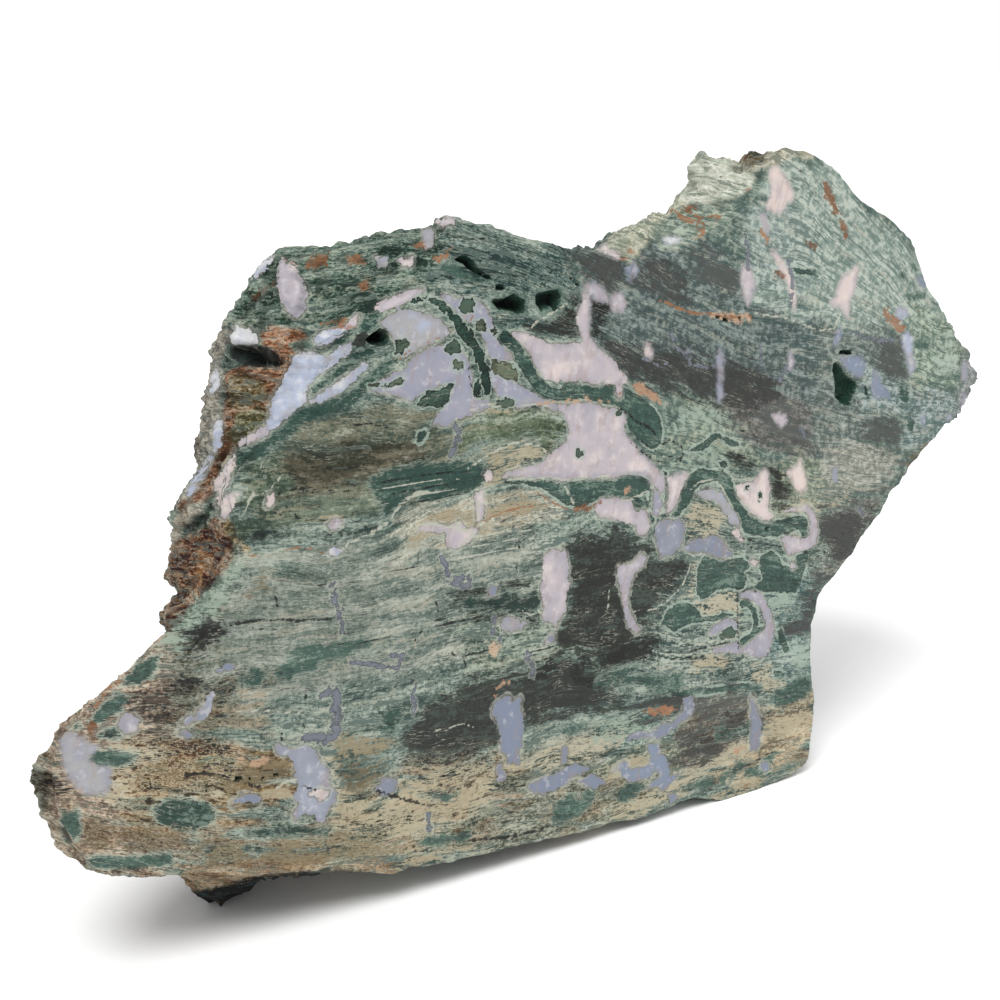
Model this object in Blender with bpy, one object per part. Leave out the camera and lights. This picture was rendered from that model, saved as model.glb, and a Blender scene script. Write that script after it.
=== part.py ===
# Petrified wood slab: one natural stone with a polished front face that leans back a little
import math

import bmesh
import bpy
from mathutils import Vector, noise
from mathutils.geometry import delaunay_2d_cdt

# The face frame, in millimetres: u runs along the polished face, v up the face, depth behind the face
LEAN_DEG = 6.0
MM = 0.001
COLUMNS = 204
STEPS_PER_BAND = (2, 3, 3, 3, 3)

# Roughness of the broken surfaces
ROUGH_COARSE = 0.8
ROUGH_FINE = 0.5
COARSE_SIZE = 7.0
FINE_SIZE = 3.6
GRAIN_STRETCH = 2.2
DEPTH_STRETCH = 1.4
RIM_FADE = (0.0, 0.35, 0.6, 0.85)
RIM_CHIP = 0.32
RIM_CHIP_SIZE = 5.0
NOISE_SEED = Vector((17.3, 5.1, 41.7))

# The natural back
BACK_SPACING = 8.5
BACK_EDGE_GAP = 4.5
BACK_DOME = 3.2
BACK_DOME_REACH = 16.0
BACK_RIDGE = 1.5
BACK_RIDGE_SIZE = 15.0
BACK_ROW_STEP = 0.87
BACK_JITTER = 1.8
BACK_FROM_DEPTH = 30.0
LUMP_REACH_LIMIT = 5.0

# Cross-sections round the stone, clockwise from the nose as seen from the front.
# Each row starts on the rim of the polished face and ends on the edge of the back: (u, v, depth).
SECTIONS = (
    # Nose, upper edge
    ((2.8, 37.5, 0), (0.8, 35.6, 4), (2.0, 33.5, 8), (5.0, 33.0, 11), (8.0, 33.0, 13), (11.5, 33.0, 15)),
    ((4.4, 41.2, 0), (2.2, 39.6, 4), (4.6, 37.4, 8), (8.0, 36.8, 11.5), (11.0, 36.4, 14), (14.0, 36.2, 16)),
    ((7.3, 44.1, 0), (5.9, 42.6, 4), (8.2, 40.4, 8.5), (11.5, 38.8, 12.5), (14.5, 38.0, 15.5), (17.5, 37.5, 18)),
    ((13.3, 48.0, 0), (12.6, 46.8, 4), (14.8, 44.4, 9), (17.5, 42.2, 14), (20.5, 40.8, 18.5), (23.5, 40.0, 22)),
    ((20.2, 53.4, 0), (21.2, 52.0, 4), (22.8, 49.6, 10), (24.6, 47.0, 16), (27.0, 45.0, 22), (30.5, 44.0, 28)),
    # Brown broken mass behind the left edge
    ((26.0, 55.6, 0), (25.8, 55.0, 4), (25.4, 52.6, 11), (27.0, 49.8, 19), (32.0, 47.5, 28), (37.0, 47.0, 36)),
    ((29.0, 58.0, 0), (29.0, 57.4, 4), (29.2, 55.8, 10), (29.8, 54.0, 19), (34.0, 51.5, 29), (39.0, 51.0, 39)),
    ((32.0, 60.6, 0), (31.0, 60.0, 4), (28.4, 59.2, 11), (28.0, 57.2, 20), (31.6, 55.5, 29.5), (38.0, 55.0, 40)),
    ((33.6, 62.4, 0), (32.6, 62.4, 4), (29.8, 61.8, 11), (28.2, 60.2, 20), (32.0, 59.0, 30), (38.5, 59.0, 41)),
    ((33.9, 65.0, 0), (33.0, 65.0, 4), (31.0, 64.8, 11), (29.0, 63.9, 20), (33.0, 62.5, 30), (39.5, 62.5, 41)),
    ((33.3, 67.8, 0), (32.8, 67.8, 5), (31.6, 67.4, 12), (31.2, 67.4, 20), (35.2, 66.0, 30), (41.0, 66.0, 42)),
    ((33.1, 71.7, 0), (33.2, 71.6, 5), (33.2, 71.2, 12), (33.4, 70.8, 20), (37.8, 69.6, 30), (43.0, 69.5, 42)),
    # Left wall, layered and rusty
    ((34.8, 76.0, 0), (34.6, 76.0, 5), (34.4, 75.8, 12), (35.6, 75.2, 20.5), (40.0, 74.2, 31), (45.0, 74.0, 43)),
    ((38.6, 79.0, 0), (37.6, 79.4, 5), (36.6, 79.6, 12), (36.8, 79.4, 20.5), (41.0, 78.4, 31), (46.2, 78.0, 43)),
    ((43.5, 82.2, 0), (40.9, 83.0, 5), (37.6, 83.4, 12), (37.8, 83.6, 20.5), (42.2, 82.6, 31), (47.5, 82.0, 43)),
    ((47.6, 86.4, 0), (43.7, 87.0, 5), (38.8, 87.2, 12), (38.9, 87.4, 20.5), (43.4, 86.6, 31), (49.0, 86.0, 43.5)),
    ((51.0, 90.4, 0), (46.4, 90.8, 5), (40.0, 90.6, 12), (39.9, 91.0, 20.5), (44.4, 90.4, 31), (50.2, 89.6, 43.5)),
    ((54.5, 93.6, 0), (50.4, 94.2, 5.5), (44.0, 94.6, 12), (42.2, 95.0, 20.5), (47.0, 94.4, 31), (52.5, 93.5, 43.5)),
    ((57.5, 95.4, 0), (54.0, 97.0, 6), (49.2, 99.2, 12.5), (44.4, 99.0, 21), (49.6, 98.4, 31.5), (55.5, 97.5, 44)),
    # Dark green facet that slopes back from the crease to the top left corner
    ((59.5, 96.2, 0), (56.0, 99.0, 6), (51.8, 103.6, 13), (49.2, 104.4, 20.5), (54.4, 103.6, 32), (60.0, 101.5, 44)),
    ((62.4, 97.6, 0), (59.2, 101.0, 6), (55.6, 105.2, 13), (52.8, 108.2, 19.5), (58.6, 107.0, 32), (64.0, 104.0, 44)),
    ((65.4, 99.0, 0), (62.8, 102.2, 5.5), (60.2, 105.4, 11.5), (57.8, 108.0, 17), (62.5, 107.0, 30.5), (67.0, 104.6, 43.5)),
    ((67.6, 100.6, 0), (65.4, 103.6, 5), (63.2, 106.2, 10.5), (61.2, 108.2, 16), (66.0, 107.0, 30), (70.0, 104.8, 43)),
    ((69.4, 102.6, 0), (68.0, 105.0, 4.5), (66.9, 107.3, 9), (65.8, 109.0, 13.5), (70.0, 107.4, 29), (73.5, 104.8, 43)),
    ((71.0, 104.8, 0), (70.4, 107.0, 3.5), (70.0, 108.8, 7.5), (70.0, 109.6, 11.5), (74.0, 108.0, 28), (77.5, 104.8, 43)),
    ((72.2, 107.6, 0), (72.2, 109.0, 3), (73.0, 110.2, 6), (74.2, 110.5, 9.5), (78.5, 108.2, 27), (82.0, 104.6, 43)),
    ((73.0, 110.6, 0), (74.2, 111.0, 3), (76.4, 110.9, 7), (79.2, 110.2, 13), (83.0, 107.6, 28), (87.0, 104.0, 43)),
    # Top edge
    ((78.0, 109.8, 0), (78.4, 109.9, 3), (80.5, 109.6, 9), (83.5, 108.8, 17), (87.5, 106.4, 29), (91.5, 103.0, 43)),
    ((82.6, 108.7, 0), (83.0, 108.8, 3), (85.0, 108.0, 9), (88.0, 107.0, 17), (91.5, 104.6, 29), (95.5, 101.5, 43)),
    ((91.5, 106.1, 0), (91.8, 106.2, 3), (93.5, 105.6, 9), (96.0, 104.6, 17), (99.0, 102.6, 29), (102.0, 100.0, 43)),
    ((96.7, 104.8, 0), (97.5, 104.9, 3), (100.5, 104.7, 8), (104.0, 103.6, 16), (106.0, 101.6, 29), (108.0, 99.5, 43)),
    ((102.0, 103.6, 0), (103.4, 104.2, 4), (106.4, 104.8, 9), (110.0, 103.6, 17), (112.0, 101.6, 30), (113.0, 99.5, 43)),
    ((106.4, 102.4, 0), (107.6, 104.4, 4), (110.0, 106.0, 9), (114.0, 104.2, 17), (116.5, 102.0, 30), (117.5, 99.5, 43)),
    ((111.0, 102.0, 0), (112.0, 105.0, 4), (114.6, 108.2, 9), (119.0, 106.0, 17), (121.5, 102.8, 30), (122.0, 99.5, 43)),
    ((117.0, 102.6, 0), (118.0, 106.0, 4), (121.0, 110.2, 9.5), (125.0, 108.6, 17), (127.5, 104.2, 30), (127.5, 100.0, 43)),
    ((123.7, 104.2, 0), (124.0, 108.0, 4), (126.4, 112.0, 9), (130.0, 110.6, 16), (133.0, 106.2, 29), (133.5, 101.5, 43)),
    # Pale knob behind the upper edge
    ((129.0, 106.4, 0), (129.0, 110.0, 4), (129.2, 114.0, 9), (133.0, 112.4, 17), (137.5, 108.4, 29), (138.5, 103.5, 43)),
    ((133.5, 109.1, 0), (132.0, 113.0, 4), (128.8, 117.2, 9), (134.0, 116.6, 15), (141.0, 111.0, 28), (143.5, 105.5, 43)),
    ((137.0, 111.8, 0), (135.4, 116.0, 4), (132.8, 119.5, 9), (138.0, 118.6, 15), (145.5, 113.3, 28), (148.5, 107.0, 43)),
    ((139.7, 114.3, 0), (139.0, 117.0, 4), (139.4, 118.2, 9.5), (144.0, 117.6, 16), (150.0, 114.3, 28), (152.5, 108.5, 43)),
    ((140.6, 117.4, 0), (141.4, 119.0, 4), (144.2, 119.0, 9), (149.0, 118.4, 16), (154.0, 115.2, 28), (156.5, 109.5, 43)),
    ((142.2, 119.8, 0), (144.0, 120.0, 3), (149.0, 119.6, 9), (153.5, 118.4, 17), (157.5, 115.0, 28), (160.0, 110.0, 42)),
    ((147.6, 119.7, 0), (148.6, 119.8, 3), (152.5, 118.8, 9), (156.5, 117.0, 17), (160.5, 114.0, 28), (163.0, 109.5, 42)),
    # Upper right shoulder
    ((154.2, 117.4, 0), (155.0, 117.6, 3), (157.5, 116.5, 9), (161.0, 114.5, 17), (164.0, 112.0, 28), (166.0, 108.0, 42)),
    ((160.2, 111.5, 0), (161.0, 111.8, 3), (163.5, 111.0, 9), (166.5, 109.0, 17), (168.5, 106.5, 28), (169.5, 103.0, 41)),
    ((165.0, 108.8, 0), (166.0, 108.8, 3), (168.5, 107.8, 9), (171.0, 106.0, 17), (173.0, 103.0, 28), (173.0, 100.0, 40)),
    ((169.8, 106.4, 0), (170.6, 106.4, 3), (173.0, 105.0, 9), (175.5, 103.0, 17), (177.0, 100.0, 27), (176.5, 97.0, 38)),
    ((175.7, 101.8, 0), (176.6, 101.8, 3), (179.0, 100.5, 9), (181.0, 98.5, 16), (182.0, 96.0, 25), (180.5, 93.0, 35)),
    ((178.2, 97.0, 0), (179.4, 96.8, 3), (182.0, 95.5, 9), (184.0, 93.5, 16), (184.5, 91.5, 25), (182.5, 89.5, 34)),
    ((180.1, 92.6, 0), (181.6, 92.4, 3), (185.0, 91.0, 9), (187.0, 89.0, 16), (187.0, 87.0, 25), (184.5, 85.5, 34)),
    # Rough rind at the right end
    ((183.6, 88.4, 0), (185.6, 88.2, 3), (189.0, 87.0, 8.5), (190.5, 85.0, 15.5), (189.5, 83.0, 24), (186.5, 82.0, 33)),
    ((186.6, 84.6, 0), (189.4, 84.6, 2.5), (193.0, 83.5, 8), (193.5, 81.5, 15), (191.5, 79.5, 23.5), (187.5, 78.5, 32)),
    ((188.6, 79.6, 0), (192.4, 79.4, 2), (195.6, 78.5, 7.5), (195.5, 77.0, 14), (193.0, 75.5, 23), (188.5, 75.0, 31)),
    ((189.6, 75.0, 0), (195.8, 74.4, 1.5), (198.0, 73.5, 6.5), (197.0, 72.0, 13), (194.0, 71.0, 22), (188.5, 71.5, 30)),
    ((189.2, 70.6, 0), (194.6, 69.6, 1.8), (197.4, 69.0, 6.5), (196.0, 68.0, 13), (192.5, 67.5, 22), (187.0, 68.0, 30)),
    ((187.6, 66.6, 0), (191.6, 65.6, 2), (194.0, 65.2, 7), (192.8, 64.5, 14), (189.5, 64.5, 23), (184.5, 65.0, 31)),
    # Lower right edge
    ((182.5, 62.3, 0), (184.4, 61.8, 3), (187.0, 61.0, 9), (186.5, 60.5, 16), (184.0, 60.5, 25), (180.5, 61.5, 34)),
    ((174.6, 56.7, 0), (175.8, 56.2, 3), (178.5, 55.5, 9), (178.5, 55.0, 17), (176.5, 55.5, 27), (173.0, 57.0, 37)),
    ((169.8, 52.4, 0), (171.0, 51.8, 3), (173.5, 51.0, 9), (173.5, 50.5, 17), (171.5, 51.5, 28), (168.0, 54.0, 38)),
    ((165.1, 48.0, 0), (166.0, 47.6, 3), (168.0, 47.0, 9), (168.0, 46.5, 17), (166.0, 48.0, 28), (163.0, 51.0, 39)),
    ((157.8, 41.2, 0), (158.8, 40.8, 3), (160.6, 40.3, 9), (160.5, 40.0, 17), (159.5, 42.0, 29), (157.5, 46.0, 40)),
    ((152.5, 37.2, 0), (153.6, 36.8, 3), (155.0, 36.5, 9), (155.0, 36.5, 17), (154.5, 39.0, 30), (153.0, 43.0, 41)),
    # Concave corner and the straight edge below it
    ((149.8, 35.2, 0), (150.8, 34.6, 3), (152.0, 34.3, 9), (152.2, 34.5, 17), (152.0, 36.0, 30), (150.5, 39.0, 42)),
    ((148.6, 30.0, 0), (149.4, 29.8, 3), (150.6, 29.5, 9), (151.0, 29.5, 18), (150.5, 30.0, 31), (148.5, 32.0, 43)),
    ((147.9, 24.0, 0), (148.8, 24.0, 3), (150.0, 23.8, 9), (150.4, 23.8, 18), (149.8, 24.2, 31), (147.5, 25.5, 43)),
    ((148.6, 18.5, 0), (149.6, 18.4, 3), (151.0, 18.0, 9), (151.0, 18.0, 18), (150.0, 18.2, 31), (147.2, 19.0, 43)),
    ((149.0, 14.0, 0), (150.0, 14.0, 3), (151.2, 13.5, 9), (150.8, 13.0, 18), (149.2, 13.0, 31), (146.0, 14.0, 43)),
    ((148.0, 8.0, 0), (149.0, 7.8, 3), (149.8, 7.6, 9), (149.5, 7.4, 18), (147.8, 7.8, 31), (144.5, 9.5, 43)),
    ((147.2, 3.5, 0), (147.6, 3.0, 3), (147.8, 2.8, 9), (147.4, 3.0, 18), (145.5, 4.4, 31), (142.0, 7.5, 43)),
    # Underside at the right, where the stone stands
    ((144.3, 1.2, 0), (144.4, 0.7, 3), (144.2, 0.9, 9), (143.6, 1.8, 18), (141.5, 3.3, 31), (138.0, 6.8, 43)),
    ((139.5, 0.7, 0), (139.5, 0.3, 3), (139.4, 0.9, 9), (139.0, 1.8, 18), (137.5, 3.2, 31), (134.0, 6.4, 43)),
    ((134.7, 0.2, 0), (134.7, 0.2, 3), (134.6, 0.9, 9), (134.4, 1.8, 18), (133.4, 3.2, 31), (130.0, 6.2, 43)),
    ((130.0, 0.1, 0), (130.0, 0.2, 3), (130.0, 0.9, 9), (129.8, 1.8, 18), (129.0, 3.2, 31), (126.0, 6.2, 43)),
    ((125.2, 0.2, 0), (125.2, 0.3, 3), (125.2, 0.9, 9), (125.0, 1.8, 18), (124.4, 3.2, 31), (122.0, 6.0, 43)),
    ((120.0, 1.6, 0), (120.0, 1.4, 3), (120.0, 1.2, 9), (120.0, 1.8, 18), (119.5, 3.2, 31), (118.0, 6.0, 43)),
    ((115.5, 2.6, 0), (115.5, 2.3, 3), (115.5, 1.6, 9), (115.4, 1.9, 18), (115.0, 3.2, 31), (113.0, 6.0, 43)),
    ((108.0, 1.8, 0), (108.0, 1.2, 3), (108.0, 1.2, 9), (108.0, 1.9, 18), (108.0, 3.4, 31), (107.0, 6.4, 43)),
    # Underside between the two feet
    ((100.0, 2.3, 0), (100.0, 1.9, 3), (100.0, 1.8, 9), (100.0, 2.6, 18), (100.0, 4.4, 31), (99.0, 7.4, 43)),
    ((92.0, 2.8, 0), (92.0, 2.4, 3), (92.0, 2.6, 9), (92.0, 3.4, 18), (92.0, 5.6, 31), (91.5, 8.6, 43)),
    ((84.8, 3.3, 0), (84.8, 3.0, 3), (84.8, 3.4, 9), (84.8, 4.4, 18), (84.8, 6.8, 31), (84.5, 9.8, 43)),
    ((74.9, 3.7, 0), (74.9, 3.4, 3), (74.9, 4.2, 9), (75.0, 5.4, 18), (75.2, 7.8, 31), (75.5, 11.0, 43)),
    ((67.0, 4.6, 0), (67.0, 4.3, 3), (67.0, 5.0, 9), (67.2, 6.2, 18), (67.6, 8.6, 31), (68.5, 11.8, 43)),
    ((60.4, 5.5, 0), (60.4, 5.2, 3), (60.4, 5.8, 9), (60.5, 6.9, 18), (61.0, 9.2, 31), (62.0, 12.4, 42)),
    ((56.2, 5.4, 0), (56.2, 5.2, 3), (56.0, 6.4, 9), (56.0, 7.4, 18), (56.5, 9.6, 31), (58.0, 12.8, 42)),
    ((51.0, 7.2, 0), (51.0, 6.9, 3), (50.6, 7.2, 9), (50.5, 7.6, 18), (51.5, 10.0, 30), (53.5, 13.5, 41)),
    ((45.7, 9.0, 0), (45.6, 8.4, 3), (45.0, 7.4, 9), (44.6, 6.8, 18), (46.0, 9.6, 29), (49.0, 14.5, 40)),
    # Left foot, set back behind the face
    ((39.0, 10.6, 0), (38.8, 9.6, 3), (38.0, 6.8, 9), (38.4, 3.0, 17), (40.5, 7.5, 28), (44.5, 16.0, 38)),
    ((33.0, 11.9, 0), (32.6, 10.6, 3), (32.4, 5.8, 9), (33.6, 1.7, 17), (35.5, 4.4, 27), (40.5, 17.0, 36)),
    ((29.1, 12.9, 0), (28.6, 11.2, 3), (28.6, 6.0, 9.5), (30.4, 1.7, 17), (32.0, 5.4, 25), (37.0, 18.5, 34)),
    ((24.1, 15.2, 0), (23.6, 13.2, 3), (24.4, 8.6, 10), (26.8, 3.8, 17), (29.0, 8.6, 23), (34.0, 20.0, 31)),
    # Nose, lower edge
    ((18.4, 16.4, 0), (18.0, 15.4, 3), (19.5, 13.4, 9), (22.0, 12.0, 15), (25.0, 15.0, 20), (30.0, 22.5, 28)),
    ((13.0, 17.6, 0), (12.6, 16.8, 3), (14.0, 16.2, 8), (17.0, 16.4, 13), (20.5, 19.0, 18), (25.0, 25.0, 24)),
    ((8.8, 19.0, 0), (8.4, 18.2, 3), (9.6, 17.8, 7.5), (12.5, 18.6, 12), (16.0, 21.0, 16.5), (20.0, 26.0, 21)),
    ((6.4, 21.2, 0), (5.2, 19.6, 3.5), (6.4, 19.8, 7.5), (9.5, 21.6, 11.5), (13.0, 24.0, 15), (17.0, 27.5, 18.5)),
    ((5.0, 24.8, 0), (3.2, 22.8, 4), (4.0, 23.6, 8), (7.2, 25.0, 11.2), (10.5, 26.5, 14), (14.6, 28.6, 17)),
    ((3.6, 28.6, 0), (2.0, 26.8, 4.5), (2.6, 27.0, 8), (6.0, 28.0, 11), (9.0, 29.0, 13.5), (13.0, 30.0, 16)),
    ((2.8, 32.6, 0), (1.0, 30.8, 4.5), (1.7, 30.4, 8), (5.2, 30.8, 11), (8.2, 31.0, 13), (12.0, 31.4, 15.5)),
)

# Lumps and hollows of the broken surfaces: centre (u, v, depth), reach along u, v and depth, height outwards
LUMPS = (
    # White lump on the left wall, with the dark hollow and the ledge under it
    ((42.5, 95.2, 19.0), (5.0, 2.4, 5.0), 1.5),
    ((43.5, 91.6, 15.0), (6.5, 1.9, 6.5), -3.4),
    ((41.0, 88.2, 17.0), (6.0, 2.2, 7.0), 0.9),
    ((39.5, 82.6, 13.0), (5.0, 1.9, 6.0), -1.3),
    ((37.5, 79.0, 17.0), (5.0, 2.2, 6.0), 0.8),
    # Chalcedony shell at the top left corner
    ((49.0, 104.6, 20.0), (4.0, 2.8, 4.0), 1.4),
    ((50.5, 100.0, 13.0), (3.5, 3.5, 4.0), 1.0),
    # Groove along the left wall and the brown mass below it
    ((34.5, 74.0, 13.0), (3.5, 2.4, 6.0), -1.8),
    ((31.2, 68.5, 14.0), (4.0, 2.4, 6.0), 1.3),
    ((29.0, 58.5, 17.0), (5.0, 4.0, 6.0), 1.2),
    ((28.5, 54.2, 17.0), (4.0, 1.8, 7.0), -1.4),
    ((27.0, 50.0, 19.0), (4.5, 2.6, 6.0), 1.2),
    # Broken top facet
    ((62.0, 104.0, 9.0), (5.0, 3.0, 4.0), -0.9),
    ((69.0, 107.0, 6.5), (3.0, 2.5, 3.0), 0.8),
    ((58.5, 107.0, 15.0), (3.0, 2.5, 4.0), 0.9),
    # Crystals on the top edge
    ((77.5, 110.6, 9.0), (3.0, 2.5, 3.0), 0.9),
    ((103.5, 104.6, 9.5), (4.0, 2.5, 3.0), 0.7),
    # Upper right surface and the knob
    ((119.0, 107.5, 7.0), (4.0, 3.0, 4.0), -0.9),
    ((131.0, 118.0, 10.0), (4.0, 3.5, 4.0), 1.2),
    ((138.5, 118.5, 10.0), (2.4, 3.0, 4.0), -1.0),
    # Right end
    ((195.0, 72.5, 6.0), (5.0, 3.5, 6.0), 1.4),
    ((193.0, 66.5, 10.0), (4.0, 3.0, 6.0), -1.2),
    ((186.0, 60.5, 9.0), (4.0, 3.0, 6.0), 1.0),
    ((172.0, 50.5, 13.0), (5.0, 4.0, 8.0), -1.3),
    ((150.5, 14.0, 12.0), (5.0, 5.0, 8.0), 1.2),
    ((150.0, 26.0, 24.0), (5.0, 5.0, 9.0), -1.6),
    # Underside
    ((47.5, 7.5, 15.0), (6.0, 4.0, 8.0), -1.4),
    ((70.0, 6.0, 26.0), (10.0, 4.0, 9.0), -1.6),
    ((86.0, 4.5, 12.0), (6.0, 3.0, 6.0), -0.9),
    ((31.5, 4.5, 12.0), (4.0, 4.0, 5.0), 1.0),
    # Back
    ((70.0, 78.0, 45.0), (20.0, 12.0, 14.0), 2.4),
    ((112.0, 60.0, 46.0), (26.0, 10.0, 14.0), -3.2),
    ((140.0, 90.0, 44.0), (18.0, 14.0, 14.0), 2.6),
    ((90.0, 28.0, 44.0), (24.0, 9.0, 14.0), 2.0),
    ((52.0, 40.0, 38.0), (14.0, 12.0, 14.0), -2.2),
    ((165.0, 72.0, 38.0), (12.0, 14.0, 14.0), -1.8),
)

# Hollows in the polished face: outline (u, v), depth of the floor
FACE_HOLLOWS = (
    # Openings below the top edge
    (
        (
            (80.2, 97.5), (82.8, 97.8), (84.6, 98.5), (86.8, 97.2),
            (86.7, 95.0), (85.3, 94.8), (83.4, 95.4), (81.4, 96.0),
        ),
        3.0,
    ),
    (
        (
            (88.6, 98.0), (90.6, 98.3), (93.4, 98.4), (94.3, 97.5),
            (93.6, 95.8), (92.4, 94.4), (91.0, 95.0), (89.4, 95.0),
        ),
        2.4,
    ),
    (
        (
            (73.6, 104.6), (75.8, 105.2), (77.5, 104.2), (78.4, 102.9),
            (80.6, 101.6), (79.4, 101.0), (77.4, 101.9), (75.4, 103.4),
        ),
        2.8,
    ),
    # Dark hole at the upper end of the left crease
    (
        (
            (57.0, 92.8), (57.8, 93.9), (59.6, 94.9), (61.4, 94.5),
            (61.6, 92.9), (60.4, 91.9), (58.6, 92.0),
        ),
        3.4,
    ),
    # Rusty crack at the upper right
    (
        (
            (125.2, 91.3), (127.8, 91.2), (131.0, 90.8), (134.8, 90.6),
            (134.7, 89.8), (131.6, 89.6), (129.4, 89.6), (127.0, 90.3),
        ),
        2.0,
    ),
    # Dark green pocket
    (
        (
            (155.0, 80.2), (156.6, 82.3), (160.4, 82.1), (163.2, 81.9), (162.4, 79.0),
            (161.3, 76.0), (160.8, 73.2), (158.8, 71.2), (156.4, 72.3), (155.3, 75.0),
        ),
        1.6,
    ),
    # Long hollow and open crack in the lower left
    (
        (
            (23.6, 31.1), (28.0, 30.2), (32.8, 29.0), (37.6, 28.5),
            (38.4, 27.0), (36.2, 25.9), (31.2, 26.9), (26.0, 29.2),
        ),
        2.8,
    ),
    (
        (
            (45.2, 27.8), (49.0, 27.8), (53.6, 27.3), (58.0, 26.0),
            (57.4, 25.2), (53.8, 26.0), (50.0, 26.4), (47.0, 26.6),
        ),
        2.4,
    ),
)
HOLLOW_EDGE_STEP = 2.2
INSIDE_ONLY = 1
HOLLOW_MID_SIZE = 0.72
HOLLOW_MID_DEPTH = 0.62
HOLLOW_FLOOR_SIZE = 0.34
HOLLOW_WOBBLE = 0.18

# Flat resting places on the floor, given as (u, depth) rectangles: low u, high u, near depth, far depth
FEET = (
    (27.5, 37.0, 12.5, 22.0),
    (122.0, 144.0, 0.5, 30.0),
    (104.0, 111.0, 8.0, 26.0),
)
FOOT_CATCH = 1.1

COLOUR = (0.25, 0.34, 0.29, 1.0)
ROUGHNESS = 0.45


def clear_scene():
    for obj in list(bpy.data.objects):
        bpy.data.objects.remove(obj, do_unlink=True)


def grain_noise(p, size, salt):
    q = Vector((p.x / (size * GRAIN_STRETCH), p.y / size, p.z / (size * DEPTH_STRETCH)))
    return noise.noise(q + NOISE_SEED * salt)


def section_columns():
    """Sections spread evenly along the rim of the polished face."""
    count = len(SECTIONS)
    lengths = []
    for i in range(count):
        a = Vector(SECTIONS[i][0])
        b = Vector(SECTIONS[(i + 1) % count][0])
        lengths.append((b - a).length)
    total = sum(lengths)
    columns = []
    index = 0
    start = 0.0
    for c in range(COLUMNS):
        want = total * c / COLUMNS
        while index < count - 1 and start + lengths[index] <= want:
            start += lengths[index]
            index += 1
        t = (want - start) / lengths[index]
        a = SECTIONS[index]
        b = SECTIONS[(index + 1) % count]
        columns.append([Vector(p).lerp(Vector(q), t) for p, q in zip(a, b)])
    return columns


def wall_rings(columns):
    """Rings of points from the polished rim to the edge of the back."""
    rings = [[col[0].copy() for col in columns]]
    for band, steps in enumerate(STEPS_PER_BAND):
        for s in range(1, steps + 1):
            rings.append([col[band].lerp(col[band + 1], s / steps) for col in columns])
    return rings


def chip_rim(ring):
    for p in ring:
        du = noise.noise(Vector((p.x / RIM_CHIP_SIZE, p.y / RIM_CHIP_SIZE, 3.7)))
        dv = noise.noise(Vector((p.x / RIM_CHIP_SIZE, p.y / RIM_CHIP_SIZE, 9.2)))
        p.x += RIM_CHIP * du * 2.0
        p.y += RIM_CHIP * dv * 2.0


def inside(polygon, x, y):
    hit = False
    j = len(polygon) - 1
    for i in range(len(polygon)):
        xi, yi = polygon[i][0], polygon[i][1]
        xj, yj = polygon[j][0], polygon[j][1]
        if (yi > y) != (yj > y) and x < (xj - xi) * (y - yi) / (yj - yi) + xi:
            hit = not hit
        j = i
    return hit


def edge_distance(polygon, x, y):
    best = 1e9
    p = Vector((x, y))
    for i in range(len(polygon)):
        a = Vector(polygon[i - 1][:2])
        b = Vector(polygon[i][:2])
        ab = b - a
        t = max(0.0, min(1.0, (p - a).dot(ab) / max(ab.length_squared, 1e-9)))
        best = min(best, (p - a - ab * t).length)
    return best


def fine_outline(outline):
    points = []
    for i, a in enumerate(outline):
        b = outline[(i + 1) % len(outline)]
        a2, b2 = Vector(a), Vector(b)
        steps = max(1, round((b2 - a2).length / HOLLOW_EDGE_STEP))
        for s in range(steps):
            points.append(a2.lerp(b2, s / steps))
    return points


def fill_flat(bm, loops, extra, keep):
    """Triangles between loops of existing vertices, in the u-v plane."""
    verts = []
    edges = []
    for loop in loops:
        base = len(verts)
        verts.extend(loop)
        edges.extend((base + i, base + (i + 1) % len(loop)) for i in range(len(loop)))
    verts.extend(extra)
    flat = [v.co.xy for v in verts]
    result = delaunay_2d_cdt(flat, edges, [], INSIDE_ONLY, 1e-7)
    origin = result[3]
    faces = []
    for face in result[2]:
        ids = [origin[i][0] for i in face]
        centre = sum((flat[i] for i in ids), Vector((0.0, 0.0))) / len(ids)
        if keep(centre.x, centre.y):
            faces.append(bm.faces.new([verts[i] for i in ids]))
    return faces


def add_hollow(bm, outline, depth):
    centre = sum(outline, Vector((0.0, 0.0))) / len(outline)
    rim = [bm.verts.new((p.x, p.y, 0.0)) for p in outline]
    rings = [rim]
    for size, down in ((HOLLOW_MID_SIZE, HOLLOW_MID_DEPTH), (HOLLOW_FLOOR_SIZE, 1.0)):
        ring = []
        for p in outline:
            q = centre + (p - centre) * size
            wobble = 1.0 + HOLLOW_WOBBLE * noise.noise(Vector((p.x, p.y, depth)))
            ring.append(bm.verts.new((q.x, q.y, depth * down * wobble)))
        rings.append(ring)
    for a, b in zip(rings, rings[1:]):
        for i in range(len(a)):
            j = (i + 1) % len(a)
            bm.faces.new((a[i], a[j], b[j]))
            bm.faces.new((a[i], b[j], b[i]))
    floor = bm.verts.new((centre.x, centre.y, depth))
    last = rings[-1]
    for i in range(len(last)):
        bm.faces.new((last[i], last[(i + 1) % len(last)], floor))
    return rim


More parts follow.
